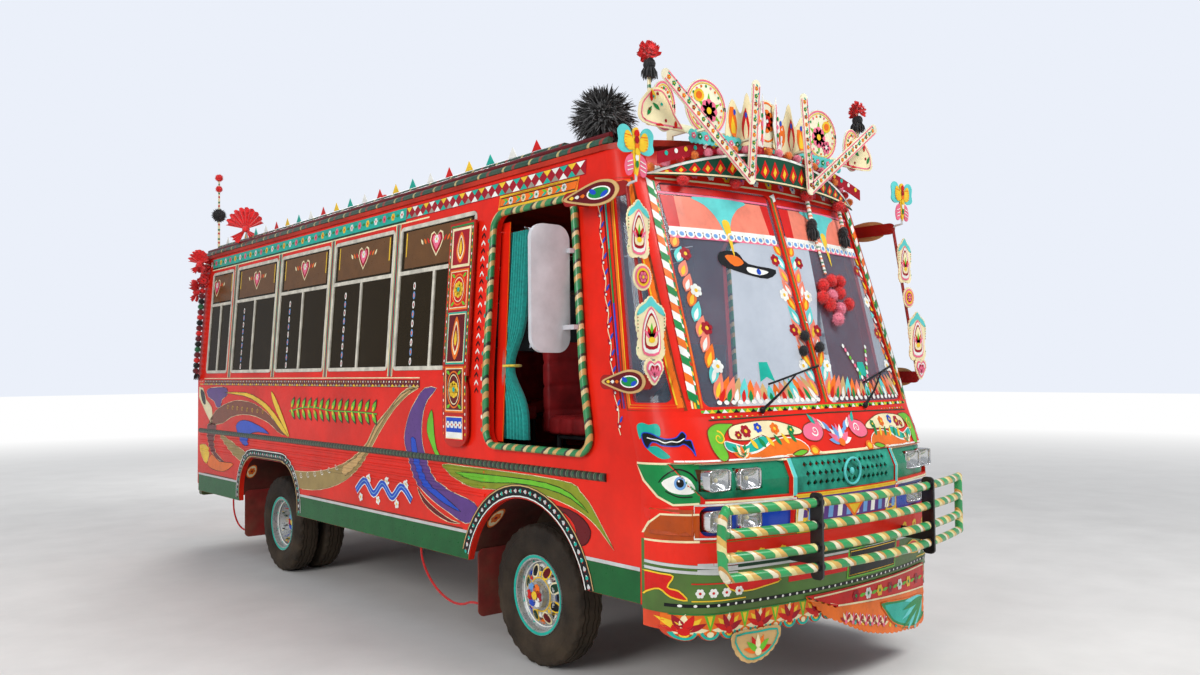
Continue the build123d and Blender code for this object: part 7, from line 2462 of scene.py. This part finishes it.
rear_art.put(oval(0, 1260, 30, 32, 0, 16), e_green, 19)
rear_art.put(rect(-1040, 1040, 590, 668), enamel("skirt", (20, 92, 44)), 0)
rear_art.put(rect(-1030, 1030, 669, 687), e_silver, 2)
rear_art.beads([(-1000, 630), (1000, 630)], 60, 12, (e_white, e_yellow), 2)
rear_art.done("rear_paint")


# Floor, light and background; the floor turns white between two distances from the middle
fade_start, fade_end = 7, 22
floor_mesh = bpy.data.meshes.new("floor")
floor_mesh.from_pydata([(-60, -60, 0), (60, -60, 0), (60, 90, 0), (-60, 90, 0)], [], [(0, 1, 2, 3)])
floor = bpy.data.objects.new("floor", floor_mesh)
scene.collection.objects.link(floor)
m, tree, shader, co = blank("floor")
tone = ramp(tree, noise(tree, co, 1.6, 5), ((0.3, (214, 212, 208)), (0.7, (224, 222, 218))))
tree.links.new(tone, shader.inputs["Base Color"])
shader.inputs["Roughness"].default_value = 0.9
far = tree.nodes.new("ShaderNodeVectorMath")
far.operation = "LENGTH"
tree.links.new(co, far.inputs[0])
fade = map_range(tree, far.outputs["Value"], fade_start, fade_end)
glow = tree.nodes.new("ShaderNodeEmission")
glow.inputs["Color"].default_value = (1, 1, 1, 1)
join = tree.nodes.new("ShaderNodeMixShader")
path = tree.nodes.new("ShaderNodeLightPath").outputs
seen = sums(tree, "MAXIMUM", path["Is Camera Ray"], path["Is Glossy Ray"])
seen = sums(tree, "MAXIMUM", seen, path["Is Transmission Ray"])
tree.links.new(sums(tree, "MULTIPLY", fade, seen), join.inputs[0])
tree.links.new(shader.outputs[0], join.inputs[1])
tree.links.new(glow.outputs[0], join.inputs[2])
tree.links.new(join.outputs[0], tree.nodes["Material Output"].inputs["Surface"])
floor_mesh.materials.append(m)

world = bpy.data.worlds.new("studio")
scene.world = world
world.use_nodes = True
tree = world.node_tree
path = tree.nodes.new("ShaderNodeLightPath").outputs
back = tree.nodes["Background"]
back.inputs["Color"].default_value = lin((235, 240, 250))
seen = sums(tree, "MAXIMUM", path["Is Camera Ray"], path["Is Transmission Ray"])
tree.links.new(map_range(tree, seen, 0, 1, 0.5, 1.0), back.inputs["Strength"])

lamps = (       # name, place, aim, size, watts
    ("key", (2.2, -10.0, 11.0), (0.2, -2.4, 1.3), 6.0, 1080),
    ("side", (-9.0, -3.5, 5.0), (-1.0, 0.5, 1.2), 5.0, 430),
    ("rear", (3.0, 9.5, 7.0), (0.0, 2.0, 1.5), 5.0, 380),
)
for name, place, aim, size, watts in lamps:
    lamp = bpy.data.lights.new(name, "AREA")
    lamp.shape = "DISK"
    lamp.size = size
    lamp.energy = watts
    obj = bpy.data.objects.new(name, lamp)
    obj.location = place
    obj.rotation_euler = (Vector(aim) - Vector(place)).to_track_quat("-Z", "Y").to_euler()
    scene.collection.objects.link(obj)

scene.view_settings.view_transform = "Standard"
